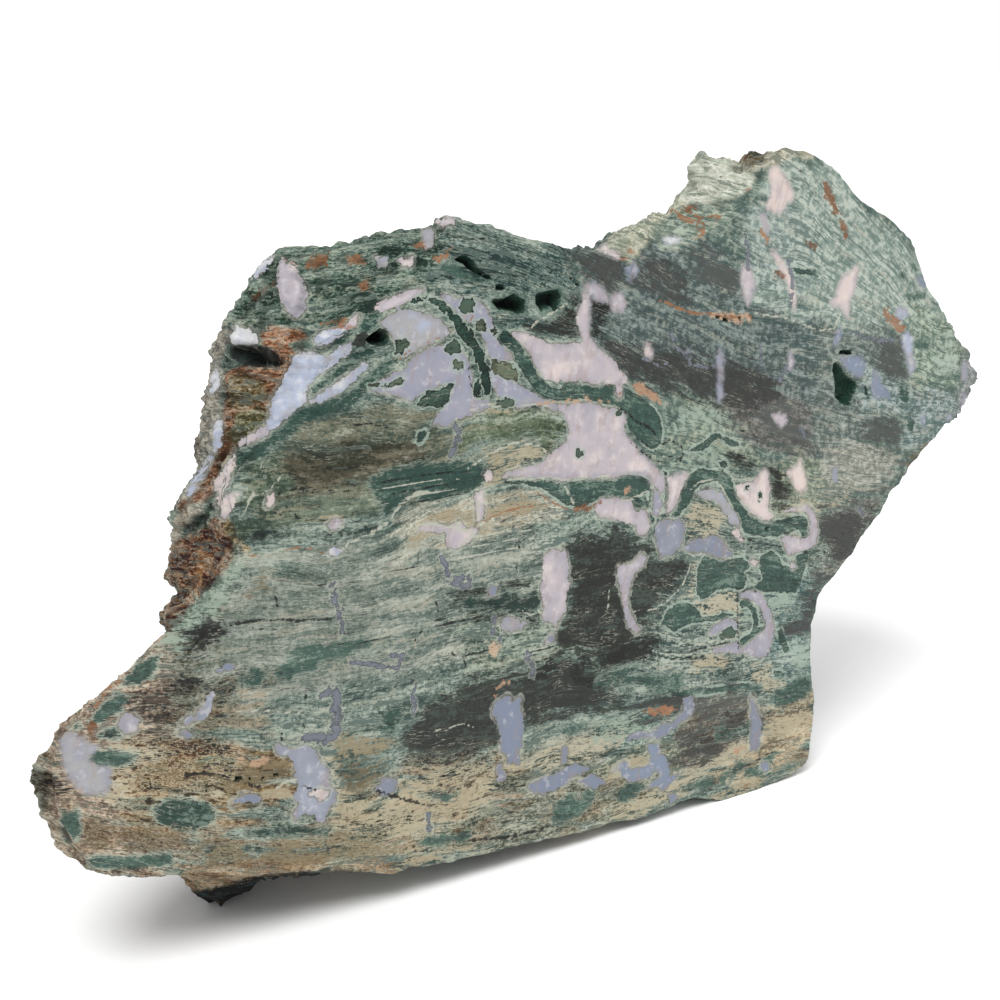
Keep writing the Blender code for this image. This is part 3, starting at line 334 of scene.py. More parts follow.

# Markings of the polished face, drawn as outlines (u, v) in millimetres.
# Each entry is a tint from 0 to 1 and the outline.

# Milky chalcedony: 0 is cream-pink, 0.6 is grey-violet, 0.9 is pale blue, 1 is white
MILK = (
    # Middle of the face: upright pink window, pink patch, brown-pink patch with a pale core, ladder
    (0.24, ((88.2, 54.1), (88.9, 54.6), (90, 54.5), (90.9, 54), (91.7, 54.3), (92.4, 54), (92.2, 52.8),
        (92.6, 51.5), (92.4, 49.9), (92.6, 48.1), (92.2, 46.5), (91.7, 45.2), (91.9, 43.7), (90.6, 42.6),
        (89.6, 41.8), (89.6, 40.9), (88.7, 42), (87.5, 42.6), (86.9, 43.4), (87.4, 44.7), (87.1, 46.5),
        (86.9, 48.1), (87.4, 49.6), (87.2, 51.5), (87.5, 52.8))),
    (0.16, ((64.5, 62.4), (65.6, 62.9), (67.2, 62.7), (68.8, 62.1), (69.9, 61.7), (70.9, 62.4), (71.9, 62.2),
        (72.5, 61.5), (73.2, 60.6), (74.2, 60.8), (75, 60.4), (74.5, 59.6), (73.6, 59.1), (72.8, 58.7),
        (71.6, 58.1), (70.3, 58.2), (69.2, 59.1), (69.1, 60.2), (69.4, 61.2), (68.1, 61.4), (66.6, 61.5),
        (65.3, 61.8))),
    (0.1, ((76.9, 68.4), (77, 69.3), (77.8, 69.8), (78.5, 69.3), (78.3, 68.5), (77.6, 68.1))),
    (0.12, ((75, 62.1), (75.2, 64.4), (75.2, 66.8), (76.4, 66.8), (76.5, 64.6), (76.1, 62.1))),
    # Spot near the left rim and crystals on the nose
    (0.05, ((38.6, 70), (38.8, 71.4), (39.6, 71.8), (39.9, 70.8), (39.3, 69.9))),
    (0.7, ((4, 41), (5.5, 42), (7.5, 40.6), (9, 38.6), (7.6, 37.4), (8.8, 36), (10.8, 35.2), (10.6, 33.2),
        (10.2, 31.8), (8, 32), (6.2, 33), (4.8, 35), (4.2, 38))),
    (0.35, ((13.2, 41.2), (14.2, 42.4), (15.2, 41.4), (14.6, 40.6))),
    # Core of the blue-grey mark at the lower left
    (0.05, ((41.5, 23.2), (43, 23.6), (45, 22.8), (44.6, 22.2), (43.6, 21.6), (42.6, 22.4))),
    # Thin patches in the lower middle
    (0.6, ((78.4, 44), (80, 44.6), (82, 43.6), (83.4, 43), (82.6, 42.2), (80.6, 42.2), (79, 43))),
    # Spots of the nose and the left middle, upper right vein, left rim
    (0.4, ((13, 42.5), (13.9, 42.7), (15.1, 42.1), (15.6, 41.1), (15.1, 40), (13.9, 39.8), (13, 40.8))),
    (0.0, ((140.1, 102), (141.3, 101.6), (143.2, 99.5), (145.3, 96.4), (146, 93.3), (145.7, 90.4),
        (144.8, 92.7), (144, 95.6), (141.9, 98.7))),
    (0.9, ((48.3, 61.3), (49.2, 61.6), (50.4, 61.2), (49.8, 60.5), (48.6, 60.6))),
    (0.3, ((48.3, 65.4), (49.6, 66), (51.2, 65.6), (50.4, 64.8), (49, 64.8))),
    (0.1, ((30.9, 71.7), (32.7, 72.6), (34.3, 72.4), (33.3, 70.6), (31.7, 69.2), (31, 70.1))),
    # Left upper windows
    (0.75, ((60.2, 96), (61.6, 96.8), (63.4, 97.4), (66, 97), (69, 96), (70.4, 95), (71.6, 94), (72, 93),
        (71, 92.4), (69, 92), (66.4, 91.4), (64.4, 90.6), (62.8, 89.8), (62.4, 91), (63, 92), (62, 93),
        (61.6, 94.2), (60.6, 95))),
    (0.55, ((57.4, 85.6), (59.4, 86.8), (61.4, 87.4), (63.6, 88), (66, 90.2), (70, 91), (72.6, 91.4),
        (74, 90.6), (75.2, 88), (75.6, 85), (75.6, 83), (76.4, 81.8), (78.6, 81.4), (79, 80.6), (76, 79.8),
        (73, 79.2), (70.6, 78.4), (68.4, 79), (69, 80), (70, 81), (71, 82.6), (72, 84), (72.4, 85), (70, 85),
        (68, 84.6), (66, 84), (64.4, 83), (63, 83.6), (60.6, 84.6))),
    # Window beyond the dark arch
    (0.6, ((69.4, 99.4), (72, 99), (74, 98.2), (76.6, 98.2), (78, 97.6), (79, 96.4), (80, 94.8), (80.4, 92.6),
        (81, 91), (82, 89.6), (83.6, 88), (82, 87.6), (80, 87.8), (79.2, 89), (78.8, 91), (77.6, 93),
        (76.6, 94.6), (75.4, 95), (74, 95.6), (72.6, 97.4), (71, 98.8))),
    (0.6, ((79.2, 84.4), (79, 86), (79.6, 87.4), (80.6, 87.4), (82, 85), (84.4, 83.6), (86.4, 82.2),
        (88.6, 80.8), (90.6, 79.8), (93, 78.4), (91, 78.6), (89, 79.8), (86, 79.8), (84, 79.6), (83.4, 80.8),
        (81.8, 81.2), (80.4, 82), (79.8, 83.4))),
    # Upper milk band
    (0.2, ((83.8, 92), (86, 91.8), (88, 91), (90, 90), (92, 89.2), (94, 89), (97, 89.2), (98, 89.6), (97.4, 91),
        (96.6, 92.6), (97, 94.4), (98, 95.6), (98.4, 98), (99, 98.6), (99.6, 96.4), (99.4, 93), (99, 90),
        (100, 88.6), (102, 87), (104, 85.4), (105, 84), (106.4, 82.6), (106.6, 81.6), (105.4, 81.6),
        (105.2, 79.2), (104.6, 79), (104.4, 81.4), (102, 81.8), (100, 82), (98, 82.6), (96, 83.2), (94, 83),
        (93, 83.6), (92.4, 82.6), (91, 83.4), (89.6, 84), (88.6, 85.8), (87.8, 87.6), (86.2, 89.8),
        (84.6, 91.2))),
    (0.3, ((98.4, 98.6), (100, 99), (101.6, 98.6), (103, 97), (103.4, 96), (105, 97), (106.4, 96.8),
        (107.2, 95), (106.6, 93.6), (105, 93.6), (104, 94.2), (104, 95.2), (102.4, 95.8), (101, 96), (100, 97),
        (99, 97.6))),
    # Big milk patch and the stream that leaves it
    (0.22, ((91.5, 79.3), (94, 78.8), (97, 79), (100, 78.2), (102, 77.6), (104, 77), (105.6, 76), (106, 75),
        (105.6, 74), (105.4, 72.8), (106.6, 71.6), (108, 70.2), (109, 68.6), (110.6, 67.4), (112, 66),
        (113, 65), (113.8, 63.8), (114, 62), (113.4, 61.2), (112.4, 62), (111, 63.4), (110.8, 64.2), (109, 65),
        (106, 65.6), (103, 65.4), (100, 65.8), (97, 66.2), (95, 66.6), (92, 66.4), (89.5, 67.4), (87, 67.6),
        (84, 68.2), (80.5, 68.5), (82, 69), (85, 69.5), (88.5, 69.8), (90, 71), (92, 72), (93.8, 73),
        (94.5, 75), (93.6, 77))),
    # Pale strip below the dark lens
    (0.2, ((98.6, 60.8), (100, 61.8), (102, 61.6), (104.6, 61), (106.4, 60.6), (107, 59), (107.6, 57.8),
        (108.4, 58.4), (109.4, 58.6), (110, 57), (110.4, 55), (109, 54.2), (108, 54.4), (107.4, 56),
        (106, 56.6), (104, 57.6), (102, 58.2), (100, 58.8), (99.2, 59.4))),
    (0.5, ((111.8, 62), (112.8, 61), (113.2, 59), (112.2, 56.8), (111.4, 58))),
    # Pale wedge in front of the folded band
    (0.15, ((114.8, 63.6), (117, 64), (119.6, 64), (118.6, 62.4), (117.4, 61), (117, 59.6), (116.4, 58.6),
        (115, 57.4), (114.4, 57.4), (114.6, 59), (115.2, 61))),
    (0.8, ((121, 59.6), (124, 60.2), (126.8, 59), (128.6, 56.6), (130, 54.6), (131, 52.6), (129.4, 53),
        (127.4, 55.4), (126, 57.6), (123.4, 58.4))),
    # Small pale spots
    (0.1, ((128.9, 51.4), (130.4, 51.8), (131.2, 50.6), (131.8, 49.4), (130.8, 49.6), (130, 50.6))),
    (0.05, ((133.6, 45.4), (135, 45), (135.6, 44.6), (134.6, 44), (133.8, 44.6))),
    (0.2, ((143.4, 43.4), (144.2, 43.2), (144.4, 42.2), (143.8, 42))),
    # Right pale patches
    (0.06, ((130.4, 59.6), (132, 60), (134.6, 60), (135.8, 60.6), (136.4, 61.6), (137.8, 61.8), (138.4, 59.6),
        (138.4, 57), (138, 55), (138.4, 53.8), (139.6, 52.6), (138, 52.2), (136, 53), (134, 54.4), (132, 56.6),
        (130.6, 58.4))),
    (0.0, ((143.4, 61), (145.4, 61.6), (146.4, 62.8), (147, 60.4), (148, 58), (147.6, 56.4), (146, 56.2),
        (144.8, 57.6), (144, 59.4), (143, 60.4))),
    (0.2, ((141.2, 48.4), (142.6, 48.2), (144.6, 48), (146, 47.2), (147.4, 46.8), (148.4, 48), (148.8, 50),
        (148, 52), (146, 53), (142, 53.2), (144, 53.7), (147.6, 53.6), (149.4, 52), (150.2, 50), (150.4, 48),
        (149.8, 46), (148, 45.2), (145, 45), (143, 45), (142.2, 46.4))),
    # Cross-shaped pale patch in the charcoal and its tail
    (0.35, ((102.8, 48), (103.4, 49.8), (105, 49.2), (106.6, 49.6), (108, 50.8), (109.2, 50), (108.6, 48.6),
        (106.6, 47.6), (105.6, 46), (105, 43.6), (105.2, 41), (106, 39), (107.4, 36.8), (106.4, 36.6),
        (105, 38.4), (104.2, 41), (103.8, 44), (103.2, 46.4))),
    # Ring and arc in the lower right
    (0.5, ((122.8, 33.2), (125, 34.5), (127.5, 35), (129.8, 34.2), (129.7, 32.2), (128, 32.2), (126.5, 33.2),
        (125, 33.2), (124, 32.6))),
    (0.42, ((131, 39.2), (133, 39.5), (135, 39), (136.5, 37.8), (137.5, 35.6), (138.5, 33), (138.8, 31),
        (138.2, 28.5), (137.2, 26.5), (135.5, 26.2), (134, 26.6), (132.5, 27.5), (130, 28), (127, 28.8),
        (124.5, 29.3), (124, 30), (126, 30), (129.8, 30), (130.2, 28.7), (132, 29), (134, 29.8), (136.2, 31),
        (137, 32), (136.8, 33), (136, 35.2), (134.6, 37), (133, 38.3), (131, 38.8))),
    # Upper right patches
    (0.1, ((154.4, 91.4), (156, 92.4), (156.6, 94.4), (158, 96), (160, 97), (161.2, 98), (162, 97),
        (161.2, 95.4), (160.8, 93), (159.6, 91.6), (159.4, 90), (159, 88), (158.2, 88.6), (157.6, 89.6),
        (156.6, 90.4), (155.4, 90.6))),
    (0, ((140, 115.6), (140.4, 116.8), (142, 117), (143, 116), (144.6, 114), (146, 112), (145.6, 110.4),
        (144, 110), (143, 108.6), (141, 108.8), (139.4, 109.4), (139.8, 111), (140.6, 112.6))),
    (0.2, ((139.4, 71.8), (141, 72), (143, 71.6), (143, 69.8), (141.6, 69.4), (140.4, 70.6))),
    (0.15, ((110.8, 87.8), (112, 87.6), (112.4, 86), (111.6, 84.8), (110.8, 85.4))),
    (0.2, ((132.8, 98.4), (133.6, 99.6), (134.8, 99.6), (136, 97), (136.2, 95.4), (135.4, 94.6), (134.8, 92.6),
        (134, 92.4), (133.4, 94.4), (132.8, 96.4))),
    (0.6, ((126.6, 84), (127.6, 85.4), (128.4, 84), (128, 81), (127.6, 78.6), (128.4, 77), (127, 75.6),
        (126.4, 78), (127, 80))),
    (0.35, ((143.8, 82.6), (144.6, 83.2), (145.2, 81), (144.6, 79.4), (143.8, 80.4))),
    (0.85, ((173.6, 83.6), (175, 84), (176.4, 82.8), (176, 80.8), (177, 78), (176.6, 76.2), (175.6, 75.4),
        (174.8, 78), (174.2, 80), (173.4, 82.4))),
    (0.8, ((171.6, 88.4), (173.2, 89.2), (174.6, 88.6), (175, 87.4), (173.6, 86.8), (172, 87.4))),
    (0.2, ((137.6, 108.4), (138.6, 108.6), (139.8, 106.4), (139.8, 105.2), (139, 105), (138, 107))),
)

# Blue-grey chalcedony: 0 is pale, 1 is blue
BLUE = (
    (0.35, ((87, 38.6), (88, 40), (89.2, 39.6), (89, 38.6))),
    (0.2, ((111.8, 55.6), (114, 56), (117, 55.4), (118, 54), (117.6, 52.2), (117, 50.4), (115, 49.8),
        (112.6, 49.6), (112.2, 51.6), (111.6, 53.4))),
    (0.45, ((117.8, 50.4), (120, 51), (122, 51.2), (125, 51.4), (127, 50), (128.4, 48), (129, 47), (126.6, 47),
        (124, 48.2), (122, 49), (119, 49.4))),
    (0.12, ((36.6, 32.5), (38, 31.8), (39, 30.8), (41.5, 31.2), (43, 30), (43.6, 28.4), (44.8, 26.6),
        (45.3, 25.2), (45.2, 23.6), (46, 22), (45.5, 20.5), (44.4, 19.8), (43.5, 18), (42.4, 18.4), (42, 19.6),
        (40.5, 20.3), (39, 19.4), (38.7, 20.6), (39.6, 22), (39.2, 23.6), (39.8, 25), (39.6, 26.5),
        (39.6, 28.3), (39.2, 29.8), (37.6, 30.6), (36.8, 31.4))),
    (0.65, ((76, 29.6), (77.2, 30.6), (79.3, 30.9), (79.8, 29.6), (81.6, 30.2), (81.5, 28.5), (81.8, 26),
        (81.8, 23.8), (81, 21.5), (80.4, 20.6), (80.6, 18.6), (79.4, 19), (78.5, 19.2), (78.4, 20.6),
        (77.2, 21.6), (77.2, 24), (77, 26.5), (76.2, 28))),
    (0.4, ((76, 19.2), (77, 19.5), (77.2, 18), (78, 17), (77.4, 16), (76.2, 16.6))),
    (0.7, ((82, 14.2), (84, 14.4), (87.5, 14.8), (90, 15.4), (92.5, 15.2), (95, 14), (93, 13.4), (91, 13.6),
        (90.6, 12.6), (88, 12), (85, 12), (82.8, 13))),
    (0.7, ((93, 12), (95, 12.8), (97, 11.5), (98.6, 10.4), (96, 10.2), (94, 11))),
    (0.3, ((89, 16.2), (89.8, 19.4), (90.4, 19), (90.2, 16.4))),
    (0.85, ((108.2, 14.6), (108.4, 15.6), (109.2, 15), (110, 15), (110.6, 14.6), (110.8, 13), (111.8, 11.6),
        (112.6, 10.4), (112.6, 9), (113, 8), (114.8, 7.8), (113.4, 7), (112.4, 6.4), (111.6, 5.8), (110.6, 6),
        (110.4, 7), (109.2, 6.8), (108, 6.8), (108.2, 7.6), (109.8, 8.2), (110.8, 8.6), (110.6, 9.4),
        (109.6, 9.8), (109.4, 10.6), (108.6, 9.6), (107, 9.2), (105, 9), (103.4, 9.8), (102.4, 10.6),
        (101.6, 12), (101.4, 13), (103, 13.2), (103.6, 12.6), (103.8, 11.6), (105, 11.2), (107.4, 11.2),
        (108.6, 11.8), (108.8, 13))),
    (0.5, ((103.6, 17.4), (105, 18.2), (107, 18.2), (109, 17.4), (112, 18.2), (113.5, 17.8), (115.5, 19),
        (116.6, 20), (116.6, 22), (118.6, 22), (119.2, 20.6), (118.8, 19), (117.2, 18.2), (115, 17.6),
        (112.6, 16.4), (110.4, 15.8), (108.6, 16.6), (106.4, 17))),
    (0.35, ((132.6, 19), (134, 17), (134.6, 14.6), (135, 13.4), (135, 11), (134.6, 9), (134, 8.2), (132.6, 8.4),
        (132.4, 10), (132.6, 12), (133, 13.8), (132.2, 15), (132.6, 17))),
    (0.8, ((134.8, 5.1), (136, 4.9), (137, 3.6), (136, 3), (134.8, 3.8))),
    (0.15, ((21.8, 39.5), (23, 40), (24.5, 40.2), (25.5, 41.2), (26.3, 42.9), (27.6, 43), (27.2, 41.5),
        (26.8, 40.3), (25.8, 39.2), (24.6, 39.7), (23, 39.1))),
    (0.7, ((21.3, 38.4), (22.3, 38.2), (23.2, 37.2), (22.6, 36.9), (21.8, 37.8))),
    (0.7, ((28.2, 25), (29.8, 25.8), (31.5, 25.6), (33.5, 24.8), (33, 24), (31.5, 24.6), (29.5, 24.6))),
    (0.7, ((28.2, 46.4), (30, 46.9), (31.5, 46.6), (30.5, 46), (29, 46))),
    (0.6, ((76.5, 48.6), (77, 50.4), (78.2, 50.4), (78, 48.8))),
    (0.4, ((100.4, 12.4), (102, 13.4), (103, 12.8), (104, 11), (102.4, 11.4))),
    (0.35, ((53, 21), (55, 22.4), (57, 21.6), (56.4, 20), (54.4, 19.6))),
    (0.9, ((112.2, 4.4), (113.6, 4.2), (114.4, 3.4), (113, 2.9))),
    (0.75, ((107.2, 100.8), (109, 101.8), (110, 101), (109.6, 99.6), (108, 99))),
    (0.8, ((165.8, 77.4), (167, 77), (167.6, 74.6), (169.6, 73), (170, 71.6), (167.6, 72), (166, 71.8),
        (165, 74))),
    (0.8, ((156.8, 81), (160, 80.8), (162.4, 80.4), (163.4, 78.6), (162.6, 76.6), (160.8, 77.2),
        (158.6, 78.4))),
    (0.9, ((178.4, 66.4), (179.4, 67), (180, 65.8), (179.2, 64.8))),
    (0.05, ((185.8, 65.6), (187, 66.4), (188, 65.2), (186.8, 64.6))),
    (0.85, ((155.2, 83.4), (156, 86), (157, 86.8), (157.4, 85.2), (156.2, 83.2))),
    (0, ((154.6, 59.4), (155.6, 59.6), (155.6, 57), (154.8, 56.8))),
    (0.7, ((178, 95), (179.6, 93.8), (180.2, 92.4), (178.6, 92.4), (177.6, 94))),
)

# Dark green patches: 0 is pale, 1 is dark
TEAL = (
    (0.95, ((35.6, 66.4), (38, 66.4), (44, 65.4), (50, 64.4), (56, 64.2), (57, 63.6), (50, 63.4), (44, 64),
        (38, 64.7), (35.8, 65))),
    # Nose
    (0.5, ((9.8, 40.2), (11.4, 41), (13, 40.8), (12.4, 40))),
    (0.5, ((5.8, 42), (6.6, 43), (7.6, 42.8), (7, 42))),
    (0.4, ((8.5, 42.4), (10.4, 44.6), (13, 46), (14.4, 45), (13, 43.4), (10.6, 42.2))),
    (0.5, ((7.6, 37), (9, 38.2), (11, 37.8), (13, 36.8), (15, 36.2), (14, 35.3), (11, 35.2), (9, 35.8))),
    (0.45, ((2.7, 28), (3.4, 30.3), (5.6, 30), (5.4, 26), (3.6, 25.6))),
    (0.4, ((6, 22.3), (8, 22.2), (10, 21.3), (14, 20.6), (18.5, 19.6), (18.3, 18), (13, 18.8), (9, 20),
        (6.5, 21))),
    (0.75, ((16.3, 27.3), (19, 28.3), (22, 27.5), (25, 26), (26, 24.5), (25.5, 23), (23, 22.5), (20, 23.5),
        (17, 25))),
    (0.75, ((28.8, 20.3), (33, 19.8), (38, 18.8), (42, 17.4), (44.6, 16.4), (44.2, 15.6), (40, 16.6),
        (36, 17.8), (31, 19))),
    (0.6, ((32, 43), (34, 45), (36, 44.4), (35, 42.6), (33.4, 42))),
    (0.4, ((38.5, 45), (41, 47), (43, 47.6), (46, 46.6), (50, 46.8), (54, 46), (54, 44.6), (50, 44), (46, 44.5),
        (44, 43), (42, 43.6), (40, 42.6), (38, 43.4))),
    (0.5, ((14, 47.2), (16.4, 49.6), (19.6, 50.4), (19, 48.4), (16.4, 46.8))),
    # Lower middle
    (0.6, ((54.5, 30.4), (56, 33), (58.5, 34.2), (59, 33), (58, 31.2), (57.5, 30), (56, 29.4))),
    (0.4, ((88, 21.8), (90, 22.8), (94, 22.8), (95.4, 22), (92, 21.4))),
    (0.35, ((60.5, 18), (63, 18.4), (66, 17), (68, 15.8), (66, 15.6), (63, 17))),
    (0.35, ((60, 9.6), (62, 10.4), (65, 9.8), (67, 8.6), (65, 7.9), (62, 8.6))),
    (0.35, ((67.4, 8.2), (68.4, 9.2), (70, 8.8), (69.6, 7.6), (68, 7.5))),
    (0.35, ((86, 7), (88, 9.6), (91, 10), (93, 9), (95, 11.4), (96, 9.4), (95, 6.6), (91, 5.4), (88, 5.4))),
    (0.35, ((101, 7), (103, 9.4), (106, 9.6), (107, 8), (105, 6.4), (102.4, 6))),
    (0.5, ((97, 28.8), (99, 30.4), (102, 31), (104, 30.6), (107, 30.6), (105, 29.4), (101, 28.6))),
    (0.5, ((100, 30.2), (101, 29.2), (104, 28.6), (108, 28.4), (112, 27.8), (115.5, 27), (117, 26.8), (116, 26),
        (117, 24.6), (115, 23.8), (112, 24.4), (109, 25), (107.5, 26.5), (105, 27.8), (102, 28), (99.4, 28.8))),
    (0.45, ((114, 23.6), (119, 23.3), (123, 22.8), (126, 22.4), (130, 22.2), (133, 21.4), (135.4, 20.2),
        (135, 19.7), (132, 20.6), (128, 21), (124, 21.5), (120, 22.1), (116, 22.6))),
    # Middle: mottled teal above the arch island, lenses and lines
    (0.5, ((112, 37), (113.4, 39.4), (116, 40.2), (118.4, 40.2), (120.4, 38.4), (121.5, 36.7), (124.4, 36.2),
        (127, 36.5), (129.4, 35.6), (126.6, 35.2), (123, 35.6), (119, 36), (115, 35.2))),
    (0.5, ((120.4, 41), (121.6, 40), (123, 40.2), (124.6, 41), (128, 41), (130.4, 40.2), (131.8, 40.4),
        (132.6, 42), (131.6, 43.4), (133.4, 44.2), (131.6, 46.2), (127, 46.6), (124, 48), (122.6, 47.8),
        (120.8, 46), (120.6, 43.4))),
    (0.55, ((134, 40), (136, 38.6), (139, 38.2), (142, 37.6), (144.5, 36.8), (145.6, 38.4), (146.6, 41),
        (147.7, 43), (147.7, 44.9), (145, 44.4), (143.6, 42.4), (141.2, 43), (140.8, 44.8), (138.6, 46.2),
        (136, 45.6), (135.6, 43.4), (136.4, 41.4))),
    (0.5, ((130.4, 38), (131.5, 38.4), (133, 37.8), (134.5, 36), (135.2, 33.5), (134.8, 31.9), (136.2, 32),
        (137, 32), (136.6, 31.2), (134, 30.2), (131.5, 29.2), (130.3, 28.8), (130.2, 30), (130.6, 30.8),
        (132, 31), (133.5, 31.6), (134, 33.4), (133.4, 35.4), (132, 36.6), (130.6, 36.8))),
    (0.5, ((137.6, 17.6), (139, 18.6), (141, 18.4), (143, 19.4), (145, 20.2), (147.6, 20), (148.2, 17.6),
        (146, 15.6), (143.4, 15.2), (140.6, 14.6), (139, 15.6), (138, 16.6))),
    (0.5, ((138.4, 23), (140.4, 22.4), (141.8, 21.4), (140.4, 21), (138.6, 21.8))),
    (0.5, ((139.4, 30.6), (140.8, 30.8), (142, 28), (142.6, 26), (141.6, 25.8), (140.4, 27.6))),
    (0.3, ((116, 5), (119, 4.6), (122, 3.2), (126, 3.2), (130, 5), (132, 6), (129, 6.8), (127.8, 6), (124, 4.8),
        (119, 5.4))),
    (0.4, ((130.6, 4.2), (134, 4.6), (137, 6.6), (139.4, 6.3), (138, 5), (136.2, 2.6), (141, 2.4), (144, 2.6),
        (141, 1.8), (135.4, 2.2), (131.6, 3.2))),
    (0.35, ((123.6, 14.4), (126, 14.2), (128, 13), (129.4, 11.6), (127, 12), (124, 12.6))),
    # Dark lens under the big milk patch
    (0.6, ((80, 67.6), (82, 68), (85, 67.4), (88, 67), (90, 66.8), (92, 66), (95, 65.8), (98, 65.8),
        (100, 65.4), (103, 65.2), (106, 65.3), (108.6, 65), (110.4, 63.8), (111, 62.8), (110, 61.6), (107, 61),
        (104, 61.4), (102, 61.8), (99, 61.8), (96, 61.2), (94, 61.4), (92, 62.6), (90.5, 63.6), (89, 65),
        (87.5, 65.8), (85, 66.6), (82.5, 67))),
    (0.7, ((106.6, 60.6), (108, 61), (109.8, 61.2), (110.2, 58.6), (108.6, 58.4), (107.6, 57.6), (107, 58.6))),
    (0.7, ((110.8, 62), (111.8, 62), (112, 60), (111.6, 58.2), (110.8, 58.4), (110.4, 60))),
    (0.7, ((109.8, 58.2), (111, 57.6), (111.8, 56.2), (110.4, 55.6))),
    (0.75, ((113.8, 65.4), (114.6, 64.4), (114.8, 62), (115, 60), (114.4, 57.8), (113.6, 58), (114, 60.4),
        (114.2, 63))),
    (0.65, ((115.6, 62.8), (116.3, 63.1), (116.6, 62), (115.9, 61.6))),
    (0.65, ((112.8, 63.4), (113.5, 63.2), (113.6, 62.3), (112.9, 62.2))),
    # Folded band
    (0.6, ((115.2, 56), (115.4, 57), (117, 59), (117.6, 61), (119, 63), (120.6, 64), (122.6, 64.2),
        (124.4, 63.8), (127, 63), (129.4, 61.8), (130, 60), (130.6, 58), (132, 56), (134, 54), (136.4, 52.6),
        (139, 52), (142, 51.8), (145, 52), (147, 51.6), (148, 50.4), (148, 48.6), (147.4, 47), (146.4, 47),
        (146.2, 48), (145.6, 49.2), (143, 48.8), (140, 48.8), (137, 49.2), (134, 50), (132, 51), (130.4, 54),
        (129, 57), (127.6, 60), (125.6, 61.6), (122, 61.2), (120.6, 60), (119.6, 58.4), (118, 57.2),
        (116.6, 56.2))),
    (0.8, ((126.6, 64.8), (128, 65), (128.8, 64), (128, 63.4), (126.8, 64))),
    (0.6, ((119, 67.8), (121, 67.4), (123, 67.4), (124.6, 68.4), (126, 69.2), (127.4, 69.4), (129.6, 68.6),
        (131.6, 67.8), (131.4, 67), (129.4, 67.2), (128.4, 68), (127, 69), (127, 70), (125, 70), (123.4, 68.9),
        (121, 68.4))),
    # Teal swarm right of the second dark band
    (0.55, ((100, 81.5), (102, 81.2), (104.4, 80.9), (107, 80.2), (109, 79), (111, 77.6), (112.6, 76),
        (113.6, 74.6), (114, 72), (113.4, 69.4), (112, 69.2), (110.4, 70), (108.6, 71.6), (107, 73),
        (106.3, 74.4), (106.4, 75.6), (104.4, 77.4), (101, 78.4), (98, 79.3), (99, 79.8))),
    # Lens of the left middle and small lines
    (0.65, ((58, 64.2), (60, 66.2), (62.5, 67.8), (64, 68), (66, 66.8), (70, 66.6), (74, 67.2), (76.5, 67.9),
        (78, 69.4), (76.6, 71.4), (72, 72.4), (66, 72.6), (60, 72.8), (56, 71.6), (56.4, 69), (58.4, 67))),
    (0.75, ((64.8, 76.6), (65.4, 77.8), (66.8, 78), (66.6, 76.8), (65.4, 76.2))),
    (0.95, ((9.7, 40.9), (11, 41.1), (12.9, 40.2), (12.4, 39.4), (10.7, 39.9))),
    (0.9, ((73.8, 48.8), (77, 48.6), (80, 49.3), (83, 48), (86, 48.4), (87, 46), (86, 44.8), (83, 44.4),
        (80, 45.6), (77, 46.8), (75, 47.4))),
    (0.8, ((71.5, 48.6), (73, 49.4), (74, 48.2), (72.6, 47.2))),
    # Second dark band
    (0.65, ((81, 92), (82.4, 92.6), (84, 91.6), (86, 89.6), (87.6, 87.4), (88.4, 85.4), (89.6, 83.6),
        (91, 82.4), (92.6, 82), (94, 82.6), (96, 82.8), (98, 82.4), (100, 81.8), (104, 81.5), (104.4, 80),
        (100, 79.8), (97, 79.6), (93.4, 79.6), (91, 80), (89, 81), (87, 83), (85.4, 85.4), (84, 87.6),
        (82.6, 89.6), (81.4, 91))),
    # Left: lower green ridge and blob
    (0.65, ((34.2, 77), (34.6, 78.4), (36.4, 79.2), (38.4, 80), (41, 81.4), (43, 82.4), (45, 84), (48, 84.6),
        (52, 85), (56, 86.4), (60, 89.4), (62.4, 91), (62.8, 89.8), (60, 87.4), (57, 85.2), (54, 83),
        (49, 82.4), (45, 81), (41, 79), (38, 77.4))),
    (0.8, ((35.6, 65.6), (36.4, 66.6), (38.2, 66.4), (37.8, 65.2), (36.4, 65))),
    # Upper middle
    (0.5, ((80.2, 97.8), (84.6, 98.8), (87.2, 97.4), (87, 94.6), (84, 94.8), (81, 95.6))),
    (0.45, ((88.4, 98.2), (93.4, 98.8), (94.6, 97.6), (93.8, 95.4), (92.2, 93.8), (89, 94.6))),
    (0.4, ((71, 104.6), (74, 104), (77, 102), (80, 100.4), (77, 100.8), (73, 102), (70.6, 103.4))),
    # Far right
    (0.4, ((173, 96), (174, 95.4), (175.6, 94), (177, 92.8), (175.6, 93.2), (174, 94.6), (172.8, 95.6))),
    (0.35, ((175, 91.6), (177, 91.4), (180, 91), (179.8, 90.2), (177, 90), (175.4, 90.8))),
    (0.35, ((176, 96.8), (178, 96.6), (177.4, 95.8), (176.2, 96))),
    (0.6, ((154.9, 80.2), (156.4, 80), (157.4, 78.4), (158.6, 77.2), (160.6, 76), (161.2, 75), (160.6, 73.6),
        (160, 72.4), (158.8, 71.2), (156.6, 72.2), (155.3, 73.6), (155.4, 75.6), (155, 78))),
    (0.6, ((174.8, 68.4), (176, 68.2), (176.6, 66), (176.2, 64), (175, 65))),
    (0.6, ((172.6, 73), (173.6, 73.8), (174.8, 72.6), (175.2, 70.6), (174, 70.4), (173, 71.6))),
    (0.35, ((176.4, 82.2), (179, 82), (181.6, 81.2), (180.8, 80.2), (177.6, 80.8))),
    (0.5, ((145, 98.6), (148, 98), (151, 97.4), (151.4, 96.4), (149, 96.8), (146, 97.4))),
)

